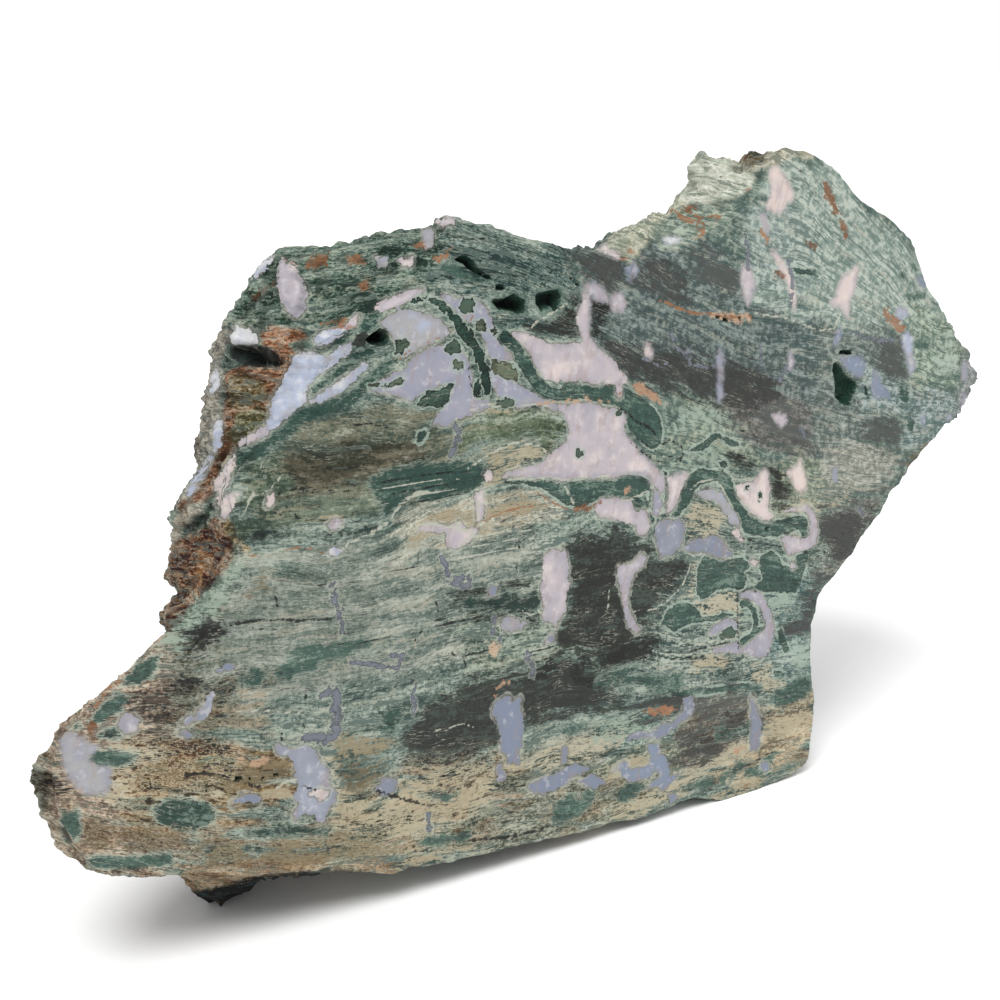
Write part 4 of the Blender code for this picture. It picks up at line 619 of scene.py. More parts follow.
# Charcoal patches: 0 is grey, 1 is near black
CHAR = (
    (0.75, ((82, 33.4), (88, 35), (96, 36), (98, 32.4), (104, 31), (105, 27), (96, 28), (86, 31))),
    (1.0, ((13.6, 45), (17, 45.6), (20, 45.3), (23, 46), (25, 45.2), (23.6, 43.2), (21, 42.3), (18.6, 42.2),
        (15.6, 42.6))),
    (0.95, ((14.6, 42.2), (18, 42.2), (21.4, 41.9), (24, 41), (21, 38.9), (17.4, 39.4), (14.8, 40.4))),
    (0.8, ((97, 34), (100, 36), (104, 36.6), (108, 36.4), (110.4, 34.6), (108.6, 32.2), (105, 31), (100, 30.6),
        (97, 31.6))),
    # Dark spots of the nose
    (0.9, ((0.7, 36.2), (1.7, 36.8), (3, 35.8), (2.6, 34), (1.1, 33.8))),
    (1.0, ((24.8, 50.7), (26, 53), (27.9, 53.6), (30, 52.6), (28.5, 50.6), (26.4, 49.9))),
    # Dark plumes of the middle
    (0.9, ((71.6, 49), (73, 49.6), (76, 49.2), (80, 49.4), (84, 48.8), (87, 48.4), (86.6, 46.4), (82, 45.8),
        (78, 46.4), (74, 47.2), (72, 47.4))),
    (1.0, ((76.6, 45.8), (79, 46.5), (82, 46.1), (84, 44.8), (86.8, 43.6), (86, 42.4), (83, 42.8), (80.6, 44.4),
        (78, 44.6))),
    (0.8, ((18.6, 38.6), (21.4, 37.6), (25, 36.2), (27.6, 34.6), (25.6, 34.9), (21, 36.6), (18, 37.9))),
    (0.9, ((27.4, 43), (30, 42.9), (31.6, 42), (30, 41), (27.6, 41.4))),
    # Charcoal band of the lower middle
    (0.5, ((60, 29), (62, 32), (64, 32.8), (69, 33), (70, 35), (73, 35), (80, 34.6), (84, 33.6), (90, 35.5),
        (93, 36.5), (95, 34), (94.6, 31), (97, 28.8), (100, 27.2), (104, 26.4), (104, 22.8), (100, 24),
        (97, 24.8), (92, 24.4), (86, 25), (82, 25.5), (78, 24), (76, 22.5), (73, 21.2), (68, 21.5), (65, 23.4),
        (60, 24.8), (58.5, 26))),
    # Big charcoal patch, left of its pale vein
    (0.55, ((92.5, 55), (95, 57.5), (98, 56), (100, 55.8), (103, 55.2), (106, 54), (109, 53), (111, 52),
        (112, 51), (112, 49.6), (113, 49.4), (116, 49), (119, 49), (119.6, 48), (118.6, 47), (118.2, 45.6),
        (116.6, 43.6), (114, 41.6), (111, 40.6), (109.8, 39), (109.6, 37.2), (107, 35.6), (105, 33.6),
        (104, 31.4), (100, 31.6), (97, 33.4), (93, 36), (90, 36.4), (89, 38.6), (90.5, 42), (92, 44),
        (92.5, 48), (93, 52))),
    # Brown-charcoal lens with rust, lower right
    (0.35, ((103.4, 23.8), (106, 23.8), (110, 23.4), (114, 22.6), (116.4, 22), (116.5, 20.6), (115, 19.6),
        (112.5, 19.4), (110, 20.2), (107, 21), (104.6, 22))),
    (0.1, ((119, 21.6), (122, 21.2), (126, 20.4), (130, 20), (132, 18.6), (131, 17.6), (128, 17.4), (125, 17.6),
        (122, 16), (120, 16.4), (120.6, 18), (118.6, 19.5))),
    (0.25, ((116, 15), (119, 14.6), (122.6, 14.4), (123, 13.6), (121, 12.8), (118, 12.4), (116.2, 13))),
    (0.35, ((114.5, 12), (116.6, 12.9), (121, 12.2), (123, 11.6), (124.6, 10), (122.8, 9), (120, 9), (117, 9.4),
        (114, 10), (112.8, 10.4))),
    (0.2, ((125, 14.8), (128, 15), (130, 14.8), (129, 13.2), (127, 13.6))),
    # Upper right charcoal zone
    (0.4, ((101.3, 88.3), (104, 88.6), (108.5, 88), (114.8, 86.7), (121, 85.1), (125.4, 83.3), (127.3, 83.9),
        (133.5, 81.7), (139.8, 78.6), (141.6, 75.1), (139, 73.6), (136, 73.6), (131, 74.5), (126.6, 75.6),
        (121, 77.3), (114.8, 79.8), (108.5, 82.6), (104.1, 85.1))),
    (0.0, ((136, 75), (142, 74), (146, 70), (148, 66), (143, 66), (138, 70))),
    (0.05, ((122, 103), (126, 102), (130, 100.6), (132.8, 99.6), (132.6, 96), (131, 95), (127, 96.4),
        (124, 98.4), (122, 100), (120.6, 101.6))),
    (0.25, ((108, 99), (110, 100), (113, 101.8), (116, 101.8), (117, 100.4), (119.6, 98), (121.6, 95),
        (121, 93.4), (118.4, 94), (114, 96.6), (110.6, 98))),
    (0.25, ((95, 104.6), (99, 104.6), (103, 103.4), (106, 102.6), (107, 100), (105.6, 97.8), (103.6, 97.6),
        (101.6, 98.9), (100, 99.4), (97, 101), (95, 103))),
    (0.55, ((93, 95), (96.6, 95.6), (97.2, 93.6), (96, 91.6), (93, 91), (90, 91.2), (87.6, 92.4), (89, 93),
        (91, 93.4), (92.4, 94))),
    (0.65, ((99.4, 95.6), (101, 96), (103.6, 95.6), (104, 94.6), (102.6, 92.6), (102, 90.8), (100.4, 90),
        (99.6, 92.6))),
    # Right
    (0.6, ((129.4, 66), (131, 65.4), (133, 64.6), (134.6, 63.6), (134.4, 62), (132.6, 62.2), (131, 63.4),
        (130, 64.6))),
    (0.6, ((139, 62), (141, 60.6), (142.6, 59.2), (143, 57), (142.6, 54.8), (141, 54.4), (139.4, 55),
        (138.8, 57), (138.8, 59.6))),
    (0.3, ((150.4, 48), (150.8, 51.4), (152, 51.8), (155, 51.2), (159, 50.2), (162, 49.2), (165, 47.8),
        (162, 44.4), (159, 42), (157, 41.2), (154.8, 42.4), (153.4, 44), (151.2, 45.8))),
    (0.15, ((163, 67), (166, 68), (170, 67.6), (172.6, 66.6), (173, 64), (172.4, 61.6), (171, 60.8),
        (169.6, 62.4), (166, 63), (163, 64))),
    (0.3, ((141.6, 29.4), (144, 30.8), (145.4, 32), (145.4, 34), (149.6, 34.2), (149, 27.8), (146, 28.2),
        (143, 28.6))),
    (0.2, ((148, 37.4), (150.6, 39.6), (152.6, 38.4), (151, 35.8), (149, 35.8))),
    (0.1, ((165.6, 82.2), (170, 82.8), (173, 82.4), (174, 78), (173.4, 76), (169, 76.6), (166.6, 78.6))),
)

# Warm patches: 0 is cream, 0.5 is tan, 1 is brown
WARM = (
    (0.95, ((28, 28.6), (33, 28.6), (38, 28.6), (39, 26.4), (36, 25.8), (31, 26.6))),
    (0.0, ((10.9, 33.9), (12.4, 34.4), (13.9, 32.6), (13.2, 30.5), (11.4, 30.3), (10.5, 32.1))),
    (0.6, ((46, 27.6), (46.4, 30.8), (51, 30.8), (56, 28.4), (54, 26.8), (50, 26.8))),
    (0.9, ((47, 26), (47.6, 23), (50, 21.6), (54, 23), (55.4, 25.6), (51, 26.6))),
    (0.3, ((45.4, 21.6), (47, 22), (50, 20.2), (52.6, 17.6), (51.6, 15.6), (48.6, 15.4), (46, 16.8))),
    (0.35, ((76.9, 68.7), (77.4, 70.6), (78.1, 71.8), (79.7, 72.8), (81.2, 73.4), (83.8, 73.5), (84, 72.8),
        (82.5, 71.8), (81.2, 70.9), (80.6, 69.3), (80, 68.1), (78.8, 67.6), (77.5, 67.9))),
    (0.15, ((10, 36), (13, 39), (17, 39), (19, 37), (17, 35), (13, 35))),
    (0.3, ((10.5, 30), (11, 34), (14, 35), (14.4, 31))),
    (1.0, ((5.2, 26.8), (6.5, 29), (8, 28), (9.5, 26.5), (9.7, 22.6), (7.5, 22.8), (5.2, 24))),
    (1.0, ((11.5, 21.5), (12, 25), (16, 24.5), (20, 23.2), (22, 22.5), (20, 20.4), (17, 20.4))),
    (0.85, ((22.5, 16), (24, 19.4), (26, 20.6), (29.6, 19.3), (30, 16), (26, 15.4))),
    (0.75, ((30, 13.6), (36, 17.5), (43, 15.5), (48, 14), (54, 12.5), (57.5, 11), (57, 8.6), (52, 9.4),
        (46, 11.5), (38, 12.2))),
    (0.8, ((14, 33.6), (20, 33.4), (26, 32), (31, 30.6), (36, 30), (37.6, 28.8), (33, 26), (28, 27.4),
        (22, 29.8), (15, 31.6))),
    (0.1, ((22, 26.8), (23, 28.2), (24.3, 27.6), (23.4, 26.6))),
    (0.1, ((24.8, 27), (26, 28), (27.6, 27.4), (26.4, 26.3))),
    (0.4, ((34, 26), (36.5, 25.6), (38.6, 24), (38.8, 22.8), (37, 23.2), (35, 24.6))),
    (0.1, ((44.8, 18), (46.6, 20), (46.8, 24), (46, 28), (45.2, 28), (45.8, 24), (46.6, 22), (45.6, 20))),
    (0.25, ((50, 16), (56, 19), (64, 21.6), (74, 20.4), (76, 18.6), (75, 14), (70, 12.4), (60, 11.6),
        (54, 13))),
    (0.1, ((82, 17), (88, 19), (98, 19.6), (104, 20.4), (103, 17), (94, 16.6), (86, 15.4))),
    (0.35, ((55, 6), (58, 8.2), (64, 7.6), (70, 6.4), (70, 5.4), (60, 5.2))),
    (0.3, ((77, 17.8), (78, 19.2), (80.6, 19), (81, 17.9), (79, 17.4))),
    (0.35, ((100, 12.6), (103, 14), (106, 13.4), (108, 12.6), (108.4, 11.9), (105, 11.3), (101, 10.4),
        (99, 11.4))),
    (0.15, ((100, 4), (104, 6), (110, 5.6), (116, 6.6), (118, 8.6), (121, 8.8), (124, 9.8), (128, 10.2),
        (132, 9.8), (132.8, 8), (130, 7), (126, 7.2), (123, 6.6), (118, 5.8), (114, 4), (108, 2.8))),
    (0.3, ((124, 9.4), (128, 10.2), (132, 9.8), (132.8, 8), (130, 7.2), (126, 7.4), (123.6, 8.4))),
    (0.25, ((136.6, 12.6), (139, 13.6), (142, 14.6), (145, 15.4), (147.4, 15), (147.6, 12), (147, 9.8),
        (142, 9.2), (138, 8.4), (136.4, 9.4), (135.6, 10.8))),
    (0.1, ((133, 22.6), (135, 24.6), (137.6, 24.2), (138.6, 22.6), (138, 21), (140.6, 20), (141, 19.4),
        (139, 18.8), (136.6, 18.4), (135.4, 20.4), (134, 21.4))),
    (0.3, ((125, 1), (127, 2.2), (130, 3), (133, 3.4), (135, 2.8), (135.2, 0.4), (128, 0.2))),
    (0.05, ((118.6, 42), (119.6, 45), (119.4, 48), (121, 48), (120.8, 44), (120, 41.4))),
    (0.1, ((120, 38), (122, 39.4), (124, 40.4), (127, 40.9), (129.5, 40.2), (130, 38), (130, 35), (129, 35.4),
        (127, 36), (124.5, 36), (121.5, 36.6))),
    (0.2, ((119.4, 29.4), (122, 29), (126, 28), (128, 26.4), (124, 26.6), (120, 27.4))),
    (0.15, ((118, 54.6), (120, 57.6), (124, 58.2), (126, 56.4), (127.6, 53.6), (126, 52.2), (121, 52.4),
        (118.4, 53.4))),
    (0.35, ((77.5, 69.6), (78, 73), (80, 73.3), (82, 71), (80.6, 69.2))),
    (0.2, ((80, 69.4), (82, 73), (86, 73.6), (88, 71.6), (84, 69.6))),
    (0.45, ((48.3, 65.3), (50, 66), (51, 65.6), (50, 64.9))),
    (0.5, ((62, 60.6), (68, 63.4), (76, 64.6), (84, 64.6), (88, 62.6), (86, 60.8), (76, 61.4), (68, 60))),
    (0.85, ((34.8, 58), (35.6, 59.2), (38, 58.8), (37.4, 57.8))),
    (0.35, ((79.5, 80.2), (80.4, 81.5), (83, 81.4), (83.5, 80.4), (81.6, 79.9))),
    (0.4, ((143.6, 48.8), (145.6, 48.9), (146.1, 47.7), (144.8, 47.9))),
    (0.95, ((175, 57.4), (175.4, 59.8), (177.6, 59.6), (178.6, 60.6), (181, 61.8), (182, 61.4), (180.4, 59.4),
        (177.4, 57.6))),
    (0.1, ((140, 52.6), (142, 54), (147, 54.4), (150, 53.4), (154, 53.6), (158, 54.4), (158, 52.8), (152, 52),
        (150, 50.6), (148.4, 52.8), (144, 53.4))),
)

# Pale green patches: 1 is the palest
MINT = (
    (0.4, ((20, 52), (25, 55.5), (30, 59.5), (32.8, 61.8), (33.5, 60.5), (31, 58), (30, 56), (28, 54), (25, 52),
        (23, 50.5))),
    (0.3, ((91.5, 32.8), (96, 33.2), (104, 31.6), (104, 30.4), (99, 29.6), (95.5, 30.4))),
    (0.6, ((116, 74.4), (118, 75.2), (122, 75.4), (126, 74.6), (129, 73.6), (130, 72.4), (128, 72), (124, 71.8),
        (120, 72.2), (117, 71.6), (116, 72.6))),
    (0.4, ((96, 19), (98, 22.6), (102, 23.4), (106, 21.6), (108, 19.6), (106, 18.2), (100, 18))),
    (0.5, ((117, 67), (119, 66.6), (122, 66.8), (125, 67.6), (127, 67), (129.6, 65.6), (128, 65.2), (124, 65),
        (118, 65.2), (115, 65.4))),
    (0.5, ((139, 38.4), (141, 38.4), (143.6, 37.4), (144, 35.8), (141, 34.6), (138.6, 36))),
    (0.6, ((141.2, 44.6), (143, 44.8), (144.8, 44.2), (143.4, 42.6), (141.6, 43))),
    (0.5, ((131.6, 41.6), (133, 43.4), (134.6, 43), (135.6, 41.4), (134, 39.8), (132, 39.9))),
    (0.5, ((131.5, 35.6), (133, 35), (133.2, 33), (131.8, 32.2), (131, 33.6))),
    (0.6, ((144, 24), (144.6, 27), (147.6, 27), (147.8, 22.6), (145, 22))),
    (0.7, ((150.6, 43.6), (152, 45.6), (154.6, 45), (155, 43), (153, 42.2))),
    (0.8, ((182, 78), (186, 79.6), (189, 78), (189, 75), (186, 74.2), (182.4, 75.6))),
    (0.7, ((183, 82), (186, 83), (188.4, 81.8), (188, 80.4), (185, 80.6))),
)

# Rust: 0 is orange-cream, 1 is dark rust
RUST = (
    (0.0, ((76.4, 40.9), (77.4, 41), (78, 39.6), (77.6, 38.5), (76.2, 38.6), (75.9, 39.8))),
    (0.7, ((7.8, 42.2), (8.8, 42.5), (9.9, 41.8), (9.5, 40.8), (8.1, 41))),
    (0.1, ((30, 31.2), (30.8, 32.4), (31.8, 31.8), (30.8, 31))),
    (0.1, ((32.2, 30.8), (34, 31.2), (35.5, 30.5), (34.6, 29.6), (32.8, 30))),
    (0.6, ((93, 61.4), (95, 60.6), (97, 60.2), (98.4, 60.2), (100, 61.6), (98.4, 61.5), (96.5, 61.1),
        (95, 61.2))),
    (0.35, ((107, 22), (109, 22.2), (112, 21.6), (114.4, 21), (115, 20.4), (113, 20), (110.6, 20.2),
        (108.6, 21))),
    (0.2, ((107.6, 80.8), (109.4, 81.1), (111.4, 80), (112.6, 79), (113.6, 78), (113.8, 77), (113, 77),
        (112, 77.8), (110, 78.8), (108.6, 79.6))),
    (0.6, ((152.8, 114), (154, 113.4), (155.2, 111.6), (156.4, 110), (157.6, 107.6), (158.6, 105.6),
        (159.2, 103.6), (158.6, 103), (157.6, 104.6), (156.6, 107), (155, 109), (154, 110.4), (152.6, 110.4),
        (153.6, 111.8))),
    (0.45, ((168, 89), (169.4, 89), (171, 87.6), (172.6, 86), (174.4, 85), (174, 84.2), (172, 84.4), (170, 86),
        (168.6, 87.8))),
    (0.3, ((136.8, 107.2), (138, 106.2), (139.6, 104.2), (139.2, 103.4), (137.8, 105))),
    (0.8, ((148.4, 103), (150, 102.8), (151.6, 101.8), (151, 101.6), (149.2, 102.2))),
    (0.7, ((140.6, 98.4), (142, 98), (143.4, 97), (142.6, 96.8), (141.2, 97.6))),
    (0.15, ((105.2, 62.8), (106, 63), (106.3, 62.4), (105.6, 62.2))),
    (0.2, ((75.5, 31.2), (76.4, 32), (77.2, 31.6), (76.4, 31))),
    (0.2, ((77, 32.7), (78.4, 33.6), (79.5, 33.4), (78.2, 32.6))),
    (0.5, ((130.6, 1.4), (131.2, 2), (131.8, 1.5), (131.2, 1))),
    (0.2, ((126.4, 9), (129, 9.6), (131, 9.2), (129, 8.4))),
    (0.1, ((88, 79.7), (94, 79.8), (99, 79.4), (102.6, 78.6), (100, 79), (94, 79.5))),
    (0.05, ((125.6, 92), (128, 91.7), (131, 91.4), (134.6, 91), (135.4, 90.2), (134, 89.6), (131, 89.9),
        (128, 90.5), (125.6, 91.2))),
)

# Drawn over the milk patches: green bars, arches and rings; the tint goes from olive to dark teal
OVER = (
    (0.8, ((65.4, 98.4), (68, 98.5), (70, 97.6), (71.6, 96.4), (72.6, 95), (73.6, 93.4), (75, 91), (76, 89.6),
        (77, 87.4), (77.6, 85), (77.8, 82.6), (78.6, 82.2), (79.3, 82.8), (79.2, 84.8), (78.8, 87), (78.3, 89),
        (77.3, 91), (76, 92.9), (75, 93.9), (74, 95.2), (72.8, 96.8), (71.4, 98.1), (69, 99.1), (67, 99.2))),
    (0.8, ((75.9, 82.3), (77, 82.1), (77.4, 83.6), (76.9, 85.2), (76.1, 84.4))),
    (0.65, ((65.4, 82.4), (66, 83.2), (67.4, 84.2), (69, 84), (71, 84.8), (72.6, 84.9), (71.6, 83.6),
        (71.2, 82.4), (70, 81.4), (68, 81.6), (66.4, 81.8))),
    (0.3, ((72, 87.4), (72.8, 88.7), (74.1, 88.2), (74.1, 87.2), (73, 86.8))),
    (0.2, ((79.6, 88), (82, 87.4), (84, 86.4), (84.8, 85.2), (84.4, 84), (82.4, 84.6), (80.4, 85.6),
        (79.4, 86.6))),
    (0.75, ((81, 86.9), (83, 86.5), (84, 85.6), (82.6, 85.1), (81.2, 86))),
    (0.3, ((77, 94.2), (78.4, 94.7), (79.1, 94), (78.4, 92.9), (77.1, 93.1))),
    (0.5, ((74, 96.8), (75, 98.2), (76.6, 98.3), (77.4, 97.4), (76.2, 96.2), (74.6, 96.2))),
    (0.35, ((80, 92.6), (80.6, 93.2), (81.2, 92.4), (80.6, 91.6))),
    (0.5, ((94.8, 70), (95.8, 71.2), (97.2, 70.8), (96.6, 69.8), (95.4, 69.6))),
    (0.5, ((103.9, 76.4), (104.6, 76.9), (105.1, 76.3), (104.4, 75.9))),
    (0.4, ((79.4, 80.3), (80.2, 81.4), (83, 81.5), (83.8, 80.6), (82, 79.9))),
    (0.6, ((135.8, 57.6), (136.4, 57.8), (136.7, 56.8), (136.1, 56.2))),
    (0.6, ((132.6, 59.2), (133.2, 59.3), (133.2, 58.7), (132.7, 58.6))),
    (0.5, ((126.6, 33.2), (128, 33.4), (129.6, 32.4), (128.4, 31.2), (126, 31.4), (125.4, 32.4))),
    (0.3, ((57, 86.4), (61, 86.2), (63.6, 87.2), (63, 86), (60.4, 85.4))),
    (0.5, ((62.4, 92.6), (64.2, 93.2), (64.6, 91.8), (63.2, 90.4), (61.8, 90.6))),
    (0.55, ((71, 90.6), (72.6, 92), (74.4, 91), (74, 89.6), (72, 89.6))),
)

# Thin lines: width in millimetres, then the points. Grey chalcedony:
GREY_LINES = (
    (1.2, ((45.2, 38.7), (47.4, 39), (47.4, 37.4), (47, 36.2), (47.7, 35), (46.9, 33.6), (46.8, 31.6),
        (45.2, 31.4), (43.4, 32.2), (41.5, 32.4))),
    (0.7, ((61.8, 36.8), (61, 35.3), (61.3, 33.5), (60.8, 32))),
    (0.7, ((76.8, 42.5), (77.1, 43.8), (77.4, 45))),
    (0.6, ((78.2, 40), (78.4, 41.4), (78.7, 42.8))),
    (0.9, ((83.6, 37.4), (83.4, 36.4), (84.4, 35.2), (84.2, 33.6))),
    (0.8, ((62.4, 14), (62.3, 11.5))),
    (1.0, ((48.2, 55.8), (48.6, 54.5), (48.3, 53), (49.2, 52), (49, 50.5), (49.4, 49), (49.3, 48))),
    (0.9, ((72.2, 78), (72.8, 76.5), (72, 75), (71, 73.4))),
    (0.7, ((50.5, 42.8), (53, 42.2), (56, 41), (57.5, 40.4), (58.8, 40.2), (59.4, 42), (57.6, 42.4))),
    (0.8, ((68.8, 52.8), (70, 52), (72.8, 51.5), (73.1, 53), (70.4, 52.9))),
    (0.8, ((116.6, 89), (117.4, 87.6), (117.6, 86.4), (119.4, 85))),
    (0.8, ((120, 87), (120.6, 85), (120.4, 83.4), (122, 83), (124.6, 82.2), (126.4, 82.4))),
    (0.6, ((137, 85), (137.3, 83), (137, 80.6))),
    (0.9, ((134, 105), (134.6, 103), (134.5, 101), (134.4, 99))),
    (0.5, ((110, 85.4), (112, 84.6), (114, 83.4), (115.6, 84))),
    (0.7, ((141.4, 78), (142.6, 79.6), (143.6, 80.8))),
    (0.9, ((146.4, 68.6), (147.4, 67.4), (148, 66.4))),
    (0.9, ((144.4, 99.6), (145, 97), (145, 94.6), (144.8, 92))),
    (1.0, ((160, 85.4), (163, 84), (167, 83), (171, 83))),
    (0.7, ((161.6, 51), (162.6, 49.6))),
    (0.7, ((69, 53.8), (68.8, 55.6), (68, 57))),
)

# Pale lines
PALE_LINES = (
    (0.25, ((57, 69.7), (66, 69.9), (73, 69.4))),
    (0.25, ((58, 67.4), (64, 67.8), (72, 67.9))),
    (0.3, ((70, 61.6), (73, 60.8), (76, 61.2), (80, 60.6), (84, 61), (88, 60.2))),
    (0.3, ((72, 59.6), (76, 59.2), (80, 59.4), (84, 58.8), (88, 59))),
    (0.3, ((74, 57.8), (78, 57.6), (82, 57.8), (86, 57.2))),
    (0.3, ((70, 56.4), (75, 56.2), (80, 56.4), (85, 55.8))),
    (0.4, ((74, 70.8), (78, 72.6), (83, 73.9), (88, 72.8), (90, 71))),
    (0.3, ((31, 70.6), (33.6, 71.4), (36, 71.6), (39, 72.2), (41.8, 74.6))),
    (0.22, ((38.8, 77.4), (37.6, 74.8), (36.4, 72), (35, 69.6))),
    (0.35, ((64, 28.5), (66.5, 27.8), (68, 28), (70, 28.2), (72, 27))),
    (0.4, ((56, 62.8), (58.5, 64), (61, 66.5), (64.5, 68.4), (67, 68))),
    (0.4, ((50.3, 61), (51.5, 62), (54, 62.6), (58, 64))),
    (0.4, ((92.5, 65.5), (93.4, 63.8), (94.5, 62))),
    (0.45, ((76, 66.4), (75.6, 64), (75.3, 62))),
    (0.5, ((64.8, 62.6), (67, 62.8), (69.2, 61.8))),
    (0.5, ((69.8, 61.8), (72, 62.2), (71.6, 61), (73, 60.6), (74.6, 60.2), (71.4, 58.2))),
    (0.4, ((83, 45), (84.6, 44.2), (86, 44.6), (87.4, 43.6))),
    (0.35, ((100.5, 42), (101, 45), (101.2, 46.6))),
    (0.4, ((100, 61.3), (103, 61.1), (106, 60.9), (110.6, 61.9), (111.6, 62.6))),
    (0.35, ((80, 68), (85, 67.7), (90, 67.1), (93, 66.2), (97, 66.2), (102, 65.7))),
    (0.4, ((136, 91), (140, 90), (143, 89.6), (146, 88.6), (149, 87.4), (152, 86.4), (155, 86.6))),
    (0.3, ((30, 39.4), (36, 38.2), (41, 36.6))),
    (0.5, ((36, 25.6), (38, 26.2), (39.4, 26))),
    (0.35, ((105.4, 40.4), (106.8, 40.6), (110, 40.2), (111, 40.2), (114.4, 41.4), (117.4, 43.6), (118.8, 45.6),
        (119.2, 47.2))),
    (0.35, ((119.8, 60.6), (121.4, 61.6), (124, 61.9), (126, 61.4), (128, 59), (129.6, 56.6))),
    (0.3, ((72, 79), (74, 80), (78, 81), (80, 80.3), (84, 80), (88, 79.8), (91, 79))),
    (0.3, ((116, 32.6), (119, 31.4), (122, 31.8), (126, 31.4), (129.6, 31.2))),
    (0.3, ((110, 32.6), (113, 31.2), (117, 30.4), (121, 29.8), (124, 29.6))),
    (0.4, ((87.6, 92.6), (89, 93.6), (92, 94.6), (95, 96))),
    (0.35, ((155.6, 86.4), (156.6, 88.6), (158.2, 90))),
)

# Dark lines and cracks
DARK_LINES = (
    (0.35, ((58, 70.8), (66, 71), (74, 70.4))),
    (0.35, ((59, 68.6), (68, 68.8), (77, 69.2))),
    (0.35, ((61, 66.6), (68, 66.9), (75, 67))),
    (0.3, ((38.5, 69.3), (42, 67.7), (46, 66.6), (49, 66), (54, 65.2))),
    (0.2, ((40.4, 71.4), (43, 70.4), (45.4, 68.6))),
    (0.2, ((40.4, 72), (43.6, 71.8), (46.6, 70.6))),
    (0.2, ((40.2, 70.8), (42, 69.2), (43.6, 67.4))),
    (0.2, ((40.4, 72.8), (44, 73.4), (48, 73.4))),
    (0.25, ((34, 51.8), (37, 51), (40, 50.4))),
    (0.25, ((44, 56.6), (48, 56), (52, 55.8))),
    (0.25, ((50, 50.6), (55, 50), (60, 50))),
    (0.25, ((58, 56.4), (62, 56.2), (66, 56.6))),
    (0.25, ((46, 46.6), (52, 45.8), (58, 45.6))),
    # Painted shade along the top edge of the open crack on the nose
    (0.6, ((22, 31.3), (24.9, 30.8), (28.8, 28.9), (33.5, 26.4))),
    (0.45, ((30, 53), (36, 52.6), (40, 52), (42, 51.4), (46, 50.8), (48, 50.4))),
    (0.4, ((41.8, 51.7), (41.8, 50.4))),
    (0.35, ((38.6, 56.5), (38.9, 54.3))),
    (0.4, ((68.6, 41), (69.4, 40), (72, 39.8), (76, 39.6))),
    (0.35, ((71, 39.8), (71.2, 37.8))),
    (0.35, ((84, 37.6), (87, 37.6), (90, 38))),
    (0.35, ((65, 20.2), (69, 19.4), (75, 19.2))),
    (0.3, ((69.7, 20.8), (72, 20.8))),
    (0.55, ((53, 20.8), (57, 18.5), (62, 15.8), (63.5, 15.4))),
    (0.55, ((70, 7.4), (77, 6), (85, 5.2))),
    (0.4, ((58, 8.4), (60, 8.3), (62, 7.8))),
    (0.4, ((66.4, 50.4), (66.6, 49.2), (66.8, 48))),
    (0.35, ((66, 46.8), (70, 46.4), (74, 46.6), (77, 46.2))),
    (0.35, ((66, 45.8), (70, 45.6), (75, 45.7))),
    (0.35, ((83, 58), (83, 56))),
    (0.35, ((82.6, 54.5), (82.2, 53), (82.4, 51.5))),
    (0.3, ((62, 44), (63, 45), (64, 46))),
    (0.35, ((110, 33.6), (112, 32), (115, 31.4), (119, 30.6), (122, 30.9), (126, 30.6), (129.8, 30.4))),
    (0.3, ((110, 31.8), (114, 30.2), (118, 29.6), (122, 29.2))),
    (0.35, ((130, 28.6), (130, 31), (130, 34), (130.1, 38.8))),
    (0.5, ((42.4, 40), (42.3, 38.5))),
    (0.4, ((37.7, 34.3), (37.7, 32.5))),
    (0.4, ((41.6, 35), (41.5, 33.8))),
    (0.35, ((131, 50), (135, 48.6), (139, 47.2), (142, 46.4))),
    (0.35, ((133, 48), (137, 46.4))),
    (0.4, ((131, 5.4), (134, 5.9), (137, 6.7), (139.4, 6.3))),
    (0.3, ((75.4, 89), (75.2, 86.6), (75.6, 84), (76.2, 82.2))),
    (0.4, ((40.3, 25), (41.4, 24.2), (42.5, 23.6))),
    (0.5, ((25.4, 51.2), (27, 52.2), (29.4, 52.8))),
    (0.45, ((104.4, 77.2), (106.4, 76.2), (108, 74.6), (110.6, 73.4), (112.6, 71.6))),
    (0.35, ((107, 70.8), (109.6, 68.8), (112, 67), (115, 66.2), (119, 66))),
    (0.35, ((113.6, 69.6), (115.6, 70.2), (118, 68.8), (118.6, 67.2))),
    (0.35, ((108, 71.8), (110.6, 69.8), (114, 67.6), (118, 66.8))),
    (0.4, ((132, 69.8), (134, 69.6), (135.4, 68.4), (136, 67))),
    (0.3, ((46, 75), (50, 74.2), (56, 73.6))),
    (0.3, ((44, 72), (48, 71), (54, 70))),
    (0.4, ((52, 80.6), (56, 80.4), (60, 79.4))),
    (0.35, ((75.4, 107.8), (77, 107.6), (78.4, 107.8), (80, 107.1))),
    (0.35, ((73, 107.4), (75.2, 108))),
)

